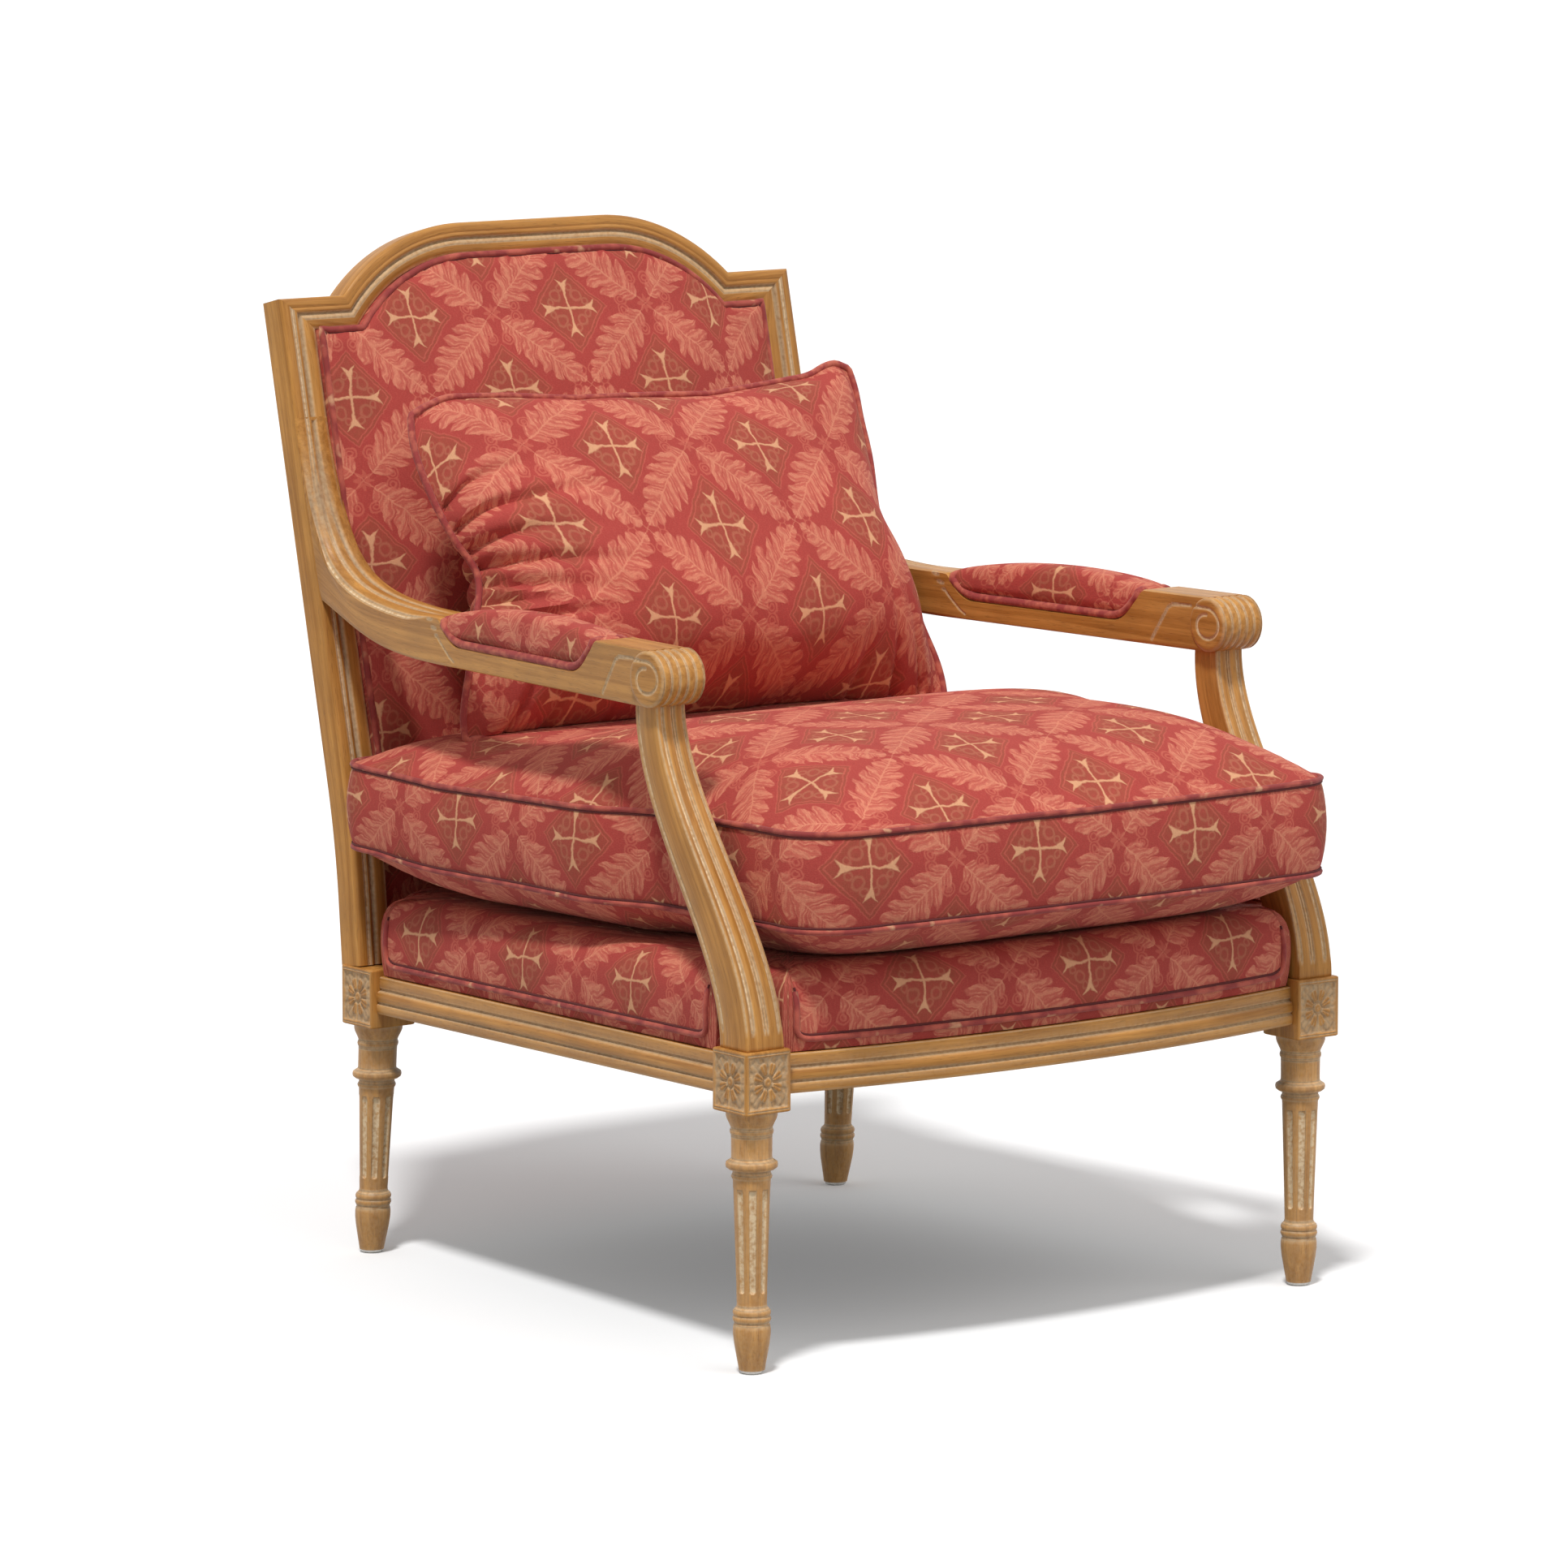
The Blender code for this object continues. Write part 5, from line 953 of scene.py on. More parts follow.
def make_damask(name, ground, leaf_red, vein_red, olive, cream):
    """Woven cloth with leaves between diamonds that hold a forked cross, from places in metres in the
    cloth."""
    stuff, add, sums, mixed, noise, give, relief = new_finish(name)
    cloth = add("UVMap", uv_map="cloth").outputs["UV"]
    wander = add("TexNoise", {"Vector": cloth, "Scale": 260.0, "Detail": 2.0}).outputs
    stray = add("TexNoise", {"Vector": cloth, "Scale": 55.0, "Detail": 1.0}).outputs
    moved = cloth
    for drift, far in ((wander, 0.0024), (stray, 0.0060)):
        off = add("VectorMath", {0: drift["Color"], 1: (0.5, 0.5, 0.5)}, operation="SUBTRACT").outputs[0]
        moved = add("VectorMath", {0: off, 1: (far, far, 0), 2: moved}, operation="MULTIPLY_ADD").outputs[0]
    u, v = add("SeparateXYZ", {0: moved}).outputs[:2]
    u, v = sums("PINGPONG", u, REPEAT_ACROSS), sums("PINGPONG", v, REPEAT_UP)

    def below(value, limit, blur):
        """One where a value is under a limit and nought where it is over, with a soft edge."""
        return sums("MULTIPLY_ADD", sums("SUBTRACT", limit, value), 0.5 / blur, 0.5, clamp=True)

    def near(value, middle, half, blur):
        """One where a value is close to a middle."""
        return below(sums("ABSOLUTE", sums("SUBTRACT", value, middle)), half, blur)

    def either(*masks):
        """All that any of some masks shows."""
        whole = masks[0]
        for mask in masks[1:]:
            whole = sums("MAXIMUM", whole, mask)
        return whole

    def ring(x, y, middle_x, middle_y, radius, half):
        """A round line about a middle."""
        dx, dy = sums("SUBTRACT", x, middle_x), sums("SUBTRACT", y, middle_y)
        reach = sums("SQRT", sums("MULTIPLY_ADD", dx, dx, sums("MULTIPLY", dy, dy)))
        return near(reach, radius, half, half * 0.6)

    def zigzag(value, step):
        """A value that falls from one to nought and climbs again in each step."""
        part = sums("FRACT", sums("MULTIPLY", value, 1 / step))
        return sums("ABSOLUTE", sums("MULTIPLY_ADD", part, 2.0, -1.0))

    half_wide, half_high = DIAMOND_HALF_WIDE, DIAMOND_HALF_HIGH
    x1 = sums("MULTIPLY_ADD", u, -1 / half_wide, REPEAT_ACROSS / half_wide)
    y1 = sums("MULTIPLY", v, 1 / half_high)
    x2 = sums("MULTIPLY", u, 1 / half_wide)
    y2 = sums("MULTIPLY_ADD", v, -1 / half_high, REPEAT_UP / half_high)
    first = sums("LESS_THAN", sums("ADD", x1, y1), sums("ADD", x2, y2))
    x = sums("MULTIPLY_ADD", first, sums("SUBTRACT", x1, x2), x2)
    y = sums("MULTIPLY_ADD", first, sums("SUBTRACT", y1, y2), y2)
    away = sums("ADD", x, y)
    diamond = below(away, 0.90, 0.02)
    border = near(away, 0.955, 0.030, 0.012)
    outer = either(near(away, 0.90, 0.018, 0.012), near(away, 1.01, 0.016, 0.012))

    cross_x = sums("MULTIPLY", x, half_wide / CROSS_HALF)
    cross_y = sums("MULTIPLY", y, half_high / CROSS_HALF)
    along, aside = sums("MAXIMUM", cross_x, cross_y), sums("MINIMUM", cross_x, cross_y)
    opening = sums("POWER", sums("MULTIPLY_ADD", along, 1 / 0.48, -0.30 / 0.48, clamp=True), 2.1)
    flare = sums("MULTIPLY_ADD", opening, 0.17, 0.027)
    tip = sums("MULTIPLY_ADD", aside, 0.65, 0.66)
    cross = sums("MULTIPLY", below(aside, flare, 0.018), below(along, tip, 0.02))
    curl = either(ring(x, y, 0.28, 0.28, 0.12, 0.026), ring(x, y, 0.14, 0.46, 0.07, 0.02),
                  ring(x, y, 0.46, 0.14, 0.07, 0.02))
    curl = sums("MULTIPLY", curl, diamond)

    length = math.hypot(REPEAT_ACROSS, REPEAT_UP)
    cos, sin = REPEAT_ACROSS / length, REPEAT_UP / length
    up_leaf = sums("MULTIPLY_ADD", u, cos, sums("MULTIPLY", v, sin))
    off_leaf = sums("MULTIPLY_ADD", u, -sin, sums("MULTIPLY", v, cos))
    side = sums("ABSOLUTE", off_leaf)
    share = sums("MULTIPLY_ADD", up_leaf, 1 / LEAF_LENGTH, -LEAF_START / LEAF_LENGTH, clamp=True)
    swell = sums("SINE", sums("MULTIPLY", sums("POWER", share, 0.85), math.pi))
    width = sums("MULTIPLY", sums("POWER", sums("MAXIMUM", swell, 0.0), 0.65), LEAF_HALF)
    curving = sums("MULTIPLY_ADD", stray["Fac"], 0.016, -0.008)
    slant = sums("ADD", sums("MULTIPLY_ADD", side, -0.80, up_leaf), curving)
    notch = zigzag(slant, LEAF_LOBE)
    cut = sums("MULTIPLY", width, sums("MULTIPLY_ADD", sums("POWER", notch, 2.0), -0.46, 1.0))
    leaf = below(side, cut, 0.0009)
    slit = below(sums("MULTIPLY_ADD", side, -13.0, 1.06), notch, 0.10)
    slit = sums("MULTIPLY", slit, below(0.003, side, 0.001))
    rib = below(side, 0.0008, 0.0005)
    bent = sums("MULTIPLY_ADD", sums("MULTIPLY", side, side), 9.0, slant)
    vein = sums("MULTIPLY", either(below(zigzag(bent, LEAF_LOBE), 0.13, 0.06), rib), leaf)
    hatch = sums("MULTIPLY", below(zigzag(bent, LEAF_LOBE / 4), 0.40, 0.20), leaf)
    volute = either(ring(up_leaf, side, 0.025, 0.0145, 0.0060, 0.0009),
                    ring(up_leaf, side, 0.025, 0.0145, 0.0028, 0.0008),
                    ring(up_leaf, side, 0.108, 0.0085, 0.0042, 0.0008))
    reach = sums("SQRT", sums("MULTIPLY_ADD", u, u, sums("MULTIPLY", v, v)))
    turn = sums("ARCTAN2", v, u)
    petals = sums("MULTIPLY_ADD", sums("COSINE", sums("MULTIPLY", turn, 8.0)), 0.0022, 0.0078)
    floret = sums("MULTIPLY", below(reach, petals, 0.0006), below(0.0022, reach, 0.0005))

    yarn = noise(cloth, 1.0, 2.0, (420, 1500, 1))
    slub = noise(cloth, 1.0, 2.0, (1300, 160, 1))
    fleck = sums("MULTIPLY_ADD", yarn, 5.0, -2.6, clamp=True)
    body = sums("MULTIPLY", sums("MULTIPLY", leaf, sums("MULTIPLY_ADD", slit, -0.80, 1.0)),
                sums("MULTIPLY_ADD", yarn, 0.9, 0.45, clamp=True))
    blotch = sums("MULTIPLY_ADD", noise(cloth, 150.0, 2.0), 3.0, -1.0, clamp=True)
    paint = ground
    for mask, strength, colour in (
            (fleck, 0.30, leaf_red), (body, 0.68, leaf_red),
            (sums("MULTIPLY", hatch, blotch), 0.75, vein_red), (vein, 0.62, vein_red),
            (either(volute, sums("MULTIPLY", floret, 0.8)), 0.6, leaf_red),
            (diamond, sums("MULTIPLY_ADD", blotch, 0.28, 0.30), olive), (border, 0.60, olive),
            (outer, 0.45, leaf_red), (curl, 0.16, cream), (cross, 0.86, cream)):
        paint = mixed(sums("MULTIPLY", mask, strength), paint, colour)
    light = sums("MULTIPLY_ADD", noise(cloth, 14.0, 3.0), 0.34, 0.83)
    light = sums("MULTIPLY", light, sums("MULTIPLY_ADD", slub, 0.36, 0.82))
    give("Base Color", add("VectorMath", {0: paint, "Scale": light}, operation="SCALE").outputs[0])
    raised = either(body, cross)
    threads = sums("ADD", yarn, sums("MULTIPLY", slub, 0.7))
    relief(sums("ADD", sums("MULTIPLY", raised, 0.6), threads), 0.55, 0.0005)
    give("Roughness", sums("MULTIPLY_ADD", raised, -0.14, 0.86))
    give("Sheen Weight", 0.12)
    give("Sheen Roughness", 0.4)
    give("Sheen Tint", screen(240, 190, 170))
    give("Specular IOR Level", 0.25)
    return stuff


red_damask = make_damask("red_damask", screen(172, 67, 60), screen(203, 108, 88), screen(221, 144, 113),
                         screen(149, 80, 57), screen(224, 168, 126))


def make_piping_cloth(name, twill_scale, patch_scale, deep, pale, ground, bit=None):
    """Strips of the damask that cover a cord: patches of two reds, and bits of a pale colour if one is
    given."""
    stuff, add, sums, mixed, noise, give, relief = new_finish(name)
    place = add("TexCoord").outputs["Object"]
    twill = noise(place, twill_scale, 3.0)
    patchy = add("TexNoise", {"Vector": place, "Scale": patch_scale, "Detail": 2.0}).outputs
    reds = mixed(sums("MULTIPLY_ADD", patchy["Fac"], 5.0, -2.2, clamp=True), deep, pale)
    if bit:
        bits = add("SeparateXYZ", {0: patchy["Color"]}).outputs[1]
        reds = mixed(sums("MULTIPLY_ADD", bits, 12.0, -7.4, clamp=True), reds, bit)
    give("Base Color", mixed(sums("MULTIPLY", twill, 0.5), reds, ground))
    give("Roughness", 0.82)
    give("Sheen Weight", 0.1)
    relief(twill, 0.6, 0.0005)
    return stuff


piping_cloth = make_piping_cloth("red_piping", 900.0, 48.0, screen(150, 52, 48), screen(200, 98, 78),
                                 screen(112, 36, 34), screen(226, 168, 128))

# Dark maroon for thin tubes laid along seams as painted shadow.
seam_shadow_cloth, add, sums, mixed, noise, give, relief = new_finish("painted_seam_shadow")
twill = noise(add("TexCoord").outputs["Object"], 700.0, 3.0)
give("Base Color", mixed(twill, screen(62, 20, 20), screen(104, 36, 33)))
give("Roughness", 0.9)

given, add, close = node_tree("piping", Radius="Float", Finish="Material")
line = add("MeshToCurve", {0: given["Geometry"]})
cord = add("CurvePrimitiveCircle", {"Resolution": 10, "Radius": given["Radius"]})
tube = add("CurveToMesh", {"Curve": line, "Profile Curve": cord, "Fill Caps": True})
piping_tree = close(add("SetShadeSmooth", {0: tube}))


def piping(name, lines, body="frame", radius=PIPING_RADIUS):
    """Covered cord sewn along lines of points."""
    grown(name, piping_tree, lines, "red_damask", body, Radius=radius, Finish=piping_cloth)


def seam_shadow(name, lines, body="frame", radius=SEAM_SHADOW_RADIUS):
    """A thin dark tube laid along a seam as painted shadow where two covers are sewn together."""
    grown(name, piping_tree, lines, "red_damask", body, Radius=radius, Finish=seam_shadow_cloth)


def spaced(line, gap):
    """A line of points again, with even steps."""
    line = np.asarray(line, float)
    run = run_lengths(line)
    steps = np.linspace(0, run[-1], max(int(round(run[-1] / gap)), 2) + 1)
    return np.stack([np.interp(steps, run, line[:, k]) for k in range(line.shape[1])], axis=-1)


def rounded(line, reach):
    """A line of points in steps of a millimetre, with its corners eased."""
    line, steps = spaced(line, 0.001), int(reach / 0.001)
    longer = np.concatenate((np.repeat(line[:1], steps, axis=0), line, np.repeat(line[-1:], steps, axis=0)))
    window = np.ones(2 * steps + 1) / (2 * steps + 1)
    return np.stack([np.convolve(longer[:, k], window, "valid") for k in range(line.shape[1])], axis=-1)


def gathers(run, seed):
    """A gentle uneven ripple along a sewn or tacked edge."""
    waves = ((0.021, 1.0), (0.034, 0.8), (0.057, 0.7), (0.013, 0.35))
    ripple = 0
    for k, (period, size) in enumerate(waves):
        ripple = ripple + size * np.sin(2 * math.pi * run / period + seed * (k + 1))
    return ripple / 2


support_middle, support_deep = support_line(DECK_TOP)[1::2]
deck_behind = max(support_middle + support_deep, FRONT_LEG_Y + BLOCK_HALF) + NOTCH_GAP
deck_before = REAR_LEG_Y - BLOCK_HALF - NOTCH_GAP
deck_front_half, deck_rear_half = (x - BLOCK_HALF - NOTCH_GAP for x in (FRONT_LEG_X, REAR_LEG_X))
deck_rear = REAR_LEG_Y + 0.0065
front_run = [(x, front_rail_y(x) + DECK_INSET) for x in np.linspace(-deck_front_half, deck_front_half, 60)]
side_run = [(side_rail_x(y) - DECK_INSET, y) for y in np.linspace(deck_behind, deck_before, 56)]
post_run = [(deck_rear_half, y) for y in np.linspace(deck_before, deck_rear, 4)]
rear_run = [(x, deck_rear) for x in np.linspace(deck_rear_half, -deck_rear_half, 44)][1:-1]
inner_run = [(deck_front_half, y) for y in np.linspace(front_run[-1][1], deck_behind, 5)][1:]
right_half = inner_run + side_run + post_run
outline = np.array(front_run + right_half + rear_run + [(-x, y) for x, y in reversed(right_half)])
after, before = np.roll(outline, -1, axis=0), np.roll(outline, 1, axis=0)
out = np.stack(((after - before)[:, 1], -(after - before)[:, 0]), axis=-1)
out /= np.linalg.norm(out, axis=1)[:, None]
edge_run = run_lengths(outline)
rings, cloth, rise = [], [], 0
for k, (swell, level) in enumerate(DECK_LEVELS):
    if k:
        rise += math.hypot(swell - DECK_LEVELS[k - 1][0], level - DECK_LEVELS[k - 1][1])
    pull = DECK_PULL * gathers(edge_run, 2.0) * math.exp(-max(level - 0.300, 0) / DECK_PULL_REACH)
    pull = pull * (level > 0.295)
    plan = outline + out * (swell + pull)[:, None]
    rings.append(np.column_stack((plan, level - seat_fall(plan[:, 1]))))
    facing_front = np.abs(out[:, 1]) > np.abs(out[:, 0])
    across = np.where(facing_front, plan[:, 0] + FRONT_CUT[0], plan[:, 1] + SIDE_CUT[0]) + REPEAT_ACROSS
    up = DECK_LOW + rise - np.where(facing_front, FRONT_CUT[1], SIDE_CUT[1])
    cloth.append(np.column_stack((across, up)))
last = rings[-1]
for scale in DECK_RINGS:
    plan = DECK_MIDDLE + (last[:, :2] - DECK_MIDDLE) * scale
    rings.append(np.column_stack((plan, DECK_TOP - 0.0006 - seat_fall(plan[:, 1]))))
    cloth.append(plan + (FRONT_CUT[0] + REPEAT_ACROSS, 0))
points, patches, lids = ring_patches(rings, cloth)
deck = covered("stuffed_seat_deck", points, patches, red_damask, lids)
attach(deck, "frame")
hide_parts("seat_deck")


def deck_line(run, outward, more=0.0, up=0.0):
    """The piping of one side of the deck: up at both ends, and level above the rail between them."""
    away = np.array(outward)
    base = np.array(run) + away * (DECK_PIPING_OUT + more)
    low = np.column_stack((base, DECK_PIPING_Z + up - seat_fall(base[:, 1])))
    ends = []
    for corner in (base[0], base[-1]):
        ends.append([np.append(corner + away * outer, z + up - seat_fall(corner[1]))
                     for z, outer in DECK_PIPING_CLIMB])
    return spaced(rounded(ends[0][::-1] + list(low[1:-1]) + ends[1], 0.007), 0.004)


deck_sides = [(front_run[1:-1], (0, -1))]
for side in (-1, 1):
    deck_sides.append(([(side * x, y) for x, y in side_run[1:-1]], (side, 0)))
piping("deck_piping", [deck_line(run, outward) for run, outward in deck_sides], radius=DECK_PIPING_RADIUS)
# A thin dark tube above the piping, as painted shadow of the seam.
seam_shadow("deck_seam_shadow", [deck_line(run, outward, -0.0006, 0.0036) for run, outward in deck_sides])


# Back upholstery
# The inside back is stuffed into the frame of stiles and crest rail, with piping along the wood and a thin
# dark tube beside it as painted shadow of the seam.
# A covered panel closes the outside back down to the rear rail.

PAD_LOW, PAD_CROWN, PAD_PROUD, PAD_REAR = 0.4540, 0.050, 0.002, 0.0035
PAD_HALF = STILE_INNER - 0.0008
PAD_EDGE, PAD_PULL, PAD_PULL_REACH = 0.004, 0.0010, 0.018
OUTSIDE_LOW, OUTSIDE_FRONT, OUTSIDE_REAR, OUTSIDE_CROWN = 0.3115, 0.0062, 0.0105, 0.0035
CREST_GAP = 0.0009
INSIDE_CUT, OUTSIDE_CUT = (REPEAT_ACROSS - 0.0158, -0.452), (REPEAT_ACROSS, 0.02)
PIPING_INSET, BACK_PIPING_RADIUS, BACK_SEAM_SHADOW_RADIUS = 0.0026, 0.0034, 0.0016


def arch_low(x):
    """Underside of the crest rail."""
    aside = np.maximum(np.abs(x) - ARCH_FLAT, 0)
    radius = ARCH_RADIUS - CREST_WIDTH
    arc = ARCH_MIDDLE + np.sqrt(np.maximum(radius ** 2 - aside ** 2, 0))
    return np.maximum(arc, STILE_SHOULDER)


def pad_depth(x, up):
    """Depth of the inside back's face behind the middle of the stiles, at a share of its height."""
    swell = (1 - np.abs(x / PAD_HALF) ** 4) * np.maximum(np.sin(math.pi * up), 0) ** 1.2
    edge = np.minimum(ease(0, 0.035, 1 - np.abs(x / PAD_HALF)), ease(0, 0.03, up) * ease(0, 0.03, 1 - up))
    return -STILE_HALF_DEPTH - PAD_PROUD - PAD_EDGE * edge - PAD_CROWN * 0.96 * swell


def grid_patches(front, back, cloth):
    """Points and patches of a padded body between two facing grids."""
    rows, columns = front.shape[:2]
    number = np.arange(rows * columns).reshape(rows, columns)
    rim = rim_of(number)
    far = number + rows * columns
    sides = np.stack((rim, rim + rows * columns))
    across = np.concatenate((cloth[0], cloth[1:, -1], cloth[-1, -2::-1], cloth[-2::-1, 0]))
    hem = np.stack((across, across + 0.01))
    points = np.concatenate((front.reshape(-1, 3), back.reshape(-1, 3)))
    return points, [(number, cloth), (far, cloth), (sides, hem)]


def lengths_in(grid, middle_column):
    """Places in the flat cloth of a curved grid, measured along its rows and columns."""
    steps_up, steps_across = (np.linalg.norm(np.diff(grid, axis=axis), axis=2) for axis in (0, 1))
    across = np.pad(np.cumsum(steps_across, axis=1), ((0, 0), (1, 0)))
    across -= across[:, middle_column:middle_column + 1]
    up = np.pad(np.cumsum(steps_up, axis=0), ((1, 0), (0, 0)))
    return np.stack((across, up), axis=-1)


half_columns = np.concatenate((np.linspace(0, ARCH_FLAT, 12), np.linspace(ARCH_FLAT, notch_inner, 22)[1:],
                               np.linspace(notch_inner, PAD_HALF, 10)[1:]))
columns = np.concatenate((-half_columns[:0:-1], half_columns))


def close_ends(count):
    """Shares from nought to one, closer together near both ends."""
    return np.concatenate((np.linspace(0, 0.06, 7), np.linspace(0.06, 0.94, count)[1:-1],
                           np.linspace(0.94, 1, 7)))


def edge_of_back(foot, count, depth):
    """A line just inside the frame: up one stile from a foot, under the crest rail and down the other."""
    climb = np.linspace(foot, STILE_SHOULDER, count)
    x = np.concatenate((np.full(count, -PAD_HALF), columns, np.full(count, PAD_HALF)))
    x = x * (1 - PIPING_INSET / PAD_HALF)
    z = np.concatenate((climb, arch_low(columns), climb[::-1]))
    return back_point(x, z - PIPING_INSET * (np.abs(x) < PAD_HALF - 0.004), depth)


x, up = np.meshgrid(columns, close_ends(60))
height = PAD_LOW + (arch_low(x) - CREST_GAP - PAD_LOW) * up
margin = np.minimum(np.minimum((PAD_HALF - np.abs(x)), (1 - up) * 0.45), up * 0.45)
tuck = PAD_PULL * gathers(x * 0.9 + height * 1.1, 1.3)
tuck = tuck * np.exp(-margin / PAD_PULL_REACH) * ease(0, 0.004, margin)
face = back_point(x, height, pad_depth(x, up) + tuck)
behind = back_point(x, height, np.full(x.shape, PAD_REAR))
cloth = lengths_in(face, len(half_columns) - 1) + INSIDE_CUT
points, patches = grid_patches(face, behind, cloth)
back_pad = covered("stuffed_inside_back", points, patches, red_damask)
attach(back_pad, "frame")
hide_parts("back_pad")

inside_line = edge_of_back(PAD_LOW, 30, -STILE_HALF_DEPTH - 0.0022)
# The seam's painted shadow: a thin dark tube set a little in from the piping.
seam_shadow_line = inside_line * (0.9865, 1, 1) - (0, 0.0010, 0.0030)
piping("inside_back_piping", [spaced(inside_line, 0.005)], radius=BACK_PIPING_RADIUS)
seam_shadow("inside_back_seam_shadow", [spaced(seam_shadow_line, 0.005)], radius=BACK_SEAM_SHADOW_RADIUS)

x, up = np.meshgrid(columns, np.linspace(0, 1, 40))
height = OUTSIDE_LOW + (arch_low(x) - CREST_GAP - OUTSIDE_LOW) * up
soft = (1 - np.abs(x / PAD_HALF) ** 6) * (1 - np.abs(2 * up - 1) ** 6)
outer_face = back_point(x, height, OUTSIDE_REAR + OUTSIDE_CROWN * soft)
inner_face = back_point(x, height, np.full(x.shape, OUTSIDE_FRONT))
cloth = lengths_in(outer_face, len(half_columns) - 1) + OUTSIDE_CUT
points, patches = grid_patches(outer_face, inner_face, cloth)
outside = covered("covered_outside_back", points, patches, red_damask)
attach(outside, "frame")
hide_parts("outside_back")
rear_line = edge_of_back(OUTSIDE_LOW + 0.003, 40, OUTSIDE_REAR + 0.0012)
piping("outside_back_piping", [spaced(np.concatenate((rear_line, rear_line[:1])), 0.006)])


# Arm pads
# A small pad of stuffing under damask fills the recess on each arm, and is tacked into it.
# A thick piping covers the tacks along the wood and crosses the arm at both ends of the pad.

PAD_HALF_WIDTH, ARM_PAD_CROWN, PAD_SEAT = 0.0212, 0.014, RECESS_FLOOR + 0.0004
END_GAP, END_TUCK, FOOT_TUCK = 0.0006, 0.0014, 0.0048
ARM_PAD_CUT = (REPEAT_ACROSS * 0.6, 0.03)
WELT_RADIUS, WELT_REACH, WELT_ROUND, WELT_CROWN = 0.0040, 0.0188, 0.016, 0.0050
WELT_END, WELT_BELOW, WELT_SLANT = 0.0040, 0.004, 0.003

welt_cloth = make_piping_cloth("red_welt", 800.0, 95.0, screen(160, 58, 54), screen(206, 110, 86),
                               screen(120, 40, 38))


def arm_pad(side, hand):
    """The pad as rings across the arm, from its front end to its rear end, and the welt round its foot."""
    rings, cloth = [], []
    angle = np.linspace(0, math.pi, 41)
    start, length = RECESS_START + END_GAP, RECESS_END - RECESS_START - 2 * END_GAP
    for t in close_ends(40):
        low = start + RECESS_SLANT + (length - 2 * RECESS_SLANT) * t
        high = start + length * t
        crown = ARM_TOP + (SWEEP_RISE - ARM_TOP) * t + ARM_PAD_CROWN * max(math.sin(math.pi * t), 0) ** 0.6
        end_tuck = END_TUCK * float(1 - ease(0, 0.03, min(t, 1 - t)))
        rise = np.maximum(np.sin(angle), 0) ** 0.62
        y = low + (high - low) * rise
        z = PAD_SEAT + (crown - end_tuck - PAD_SEAT) * rise
        foot_tuck = FOOT_TUCK * (1 - ease(0.006, 0.0115, z - PAD_SEAT))
        wide = PAD_HALF_WIDTH - end_tuck - foot_tuck + 0.0003 * gathers(y + angle * 0.01, 1.0 + side)
        across = wide * np.sign(np.cos(angle)) * np.abs(np.cos(angle)) ** 0.5
        ring = np.column_stack((side * (arm_x(y) + across), y, z))
        rings.append(ring)
        run = run_lengths(ring)
        cloth.append(np.column_stack((run - run[-1] / 2, y)) + ARM_PAD_CUT)
    points, patches, lids = ring_patches(rings, cloth)
    piece = covered(f"stuffed_arm_pad_{hand}", points, patches, red_damask, lids)
    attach(piece, "frame")
    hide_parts(f"arm_pad_{hand}")

    lift = RECESS_FLOOR + WELT_RADIUS * 0.9
    eased = rounded(((RECESS_START + WELT_END, ARM_TOP - WELT_BELOW),
                     (RECESS_START + RECESS_SLANT + WELT_SLANT, lift),
                     (RECESS_END - RECESS_SLANT - WELT_SLANT, lift),
                     (RECESS_END - WELT_END, SWEEP_RISE - WELT_BELOW)), WELT_ROUND)
    outside, inside = (np.column_stack((side * (arm_x(eased[:, 0]) + way * WELT_REACH), eased))
                       for way in (1, -1))
    turn = np.linspace(0, math.pi, 15)[1:-1]
    reach = WELT_REACH * np.sign(np.cos(turn)) * np.abs(np.cos(turn)) ** 0.5
    crossings = [np.column_stack((side * (arm_x(y) + reach), np.full(len(turn), y),
                                  z + WELT_CROWN * np.sin(turn) ** 0.5)) for y, z in (eased[0], eased[-1])]
    loop = np.concatenate((outside, crossings[1], inside[::-1], crossings[0][::-1], outside[:1]))
    grown(f"arm_pad_welt_{hand}", piping_tree, [spaced(loop, 0.004)], "red_damask", "frame",
          Radius=WELT_RADIUS, Finish=welt_cloth)


for side, hand in SIDES:
    arm_pad(side, hand)


# Seat cushion
# A loose boxed cushion of feathers: a crowned top and a sagging underside are sewn to a band, with piping
# in both seams and a thin dark tube beside each piping as painted shadow of the seam. The arm supports
# squeeze its sides, and its right front corner is pushed out before them.

CUSHION_HALF, SQUEEZED_HALF, NOSE_HALF = 0.334, 0.3022, 0.304
FRONT_CORNER, REAR_CORNER = 0.052, 0.040
NOSE_PUSH, NOSE_PUSH_EASE = 0.018, 0.050
CUSHION_FRONT, CUSHION_BACK, CUSHION_BOW = FRONT_LEG_Y - 0.066, REAR_LEG_Y + 0.0055, 0.020
LOW_SEAM, HIGH_SEAM, CROWN, BELLY = 0.4023, 0.4903, 0.064, 0.0335
DENT, DENT_FRONT, DENT_FULL = 0.031, -0.120, 0.120
REAR_LIFT, CORNER_LIFT = 0.006, 0.010
SQUEEZE_FRONT, SQUEEZE_REAR, SQUEEZE_EASE = -0.362, -0.206, 0.036
BAND_ROWS, BAND_SWELL, BAND_SWELL_FREE = 9, 0.0022, 0.0045
CUSHION_CORE, CUSHION_COLUMNS, CORNER_STEPS = 60, 62, 9
SEAM_OUT, SEAM_SHADOW_SIDE, CUSHION_PIPING_RADIUS = 0.0010, 0.0032, 0.0026
BAND_CUT, TOP_CUT = (0.063, -0.058), (REPEAT_ACROSS - 0.021, -0.030)
CUSHION_PRESSURE, CUSHION_FRAMES, CUSHION_GIVE = 3.0, 16, 0.007
SUPPORT_CLEAR, SUPPORT_CLEAR_REACH, DECK_CLEAR = 0.0022, 0.014, 0.0004


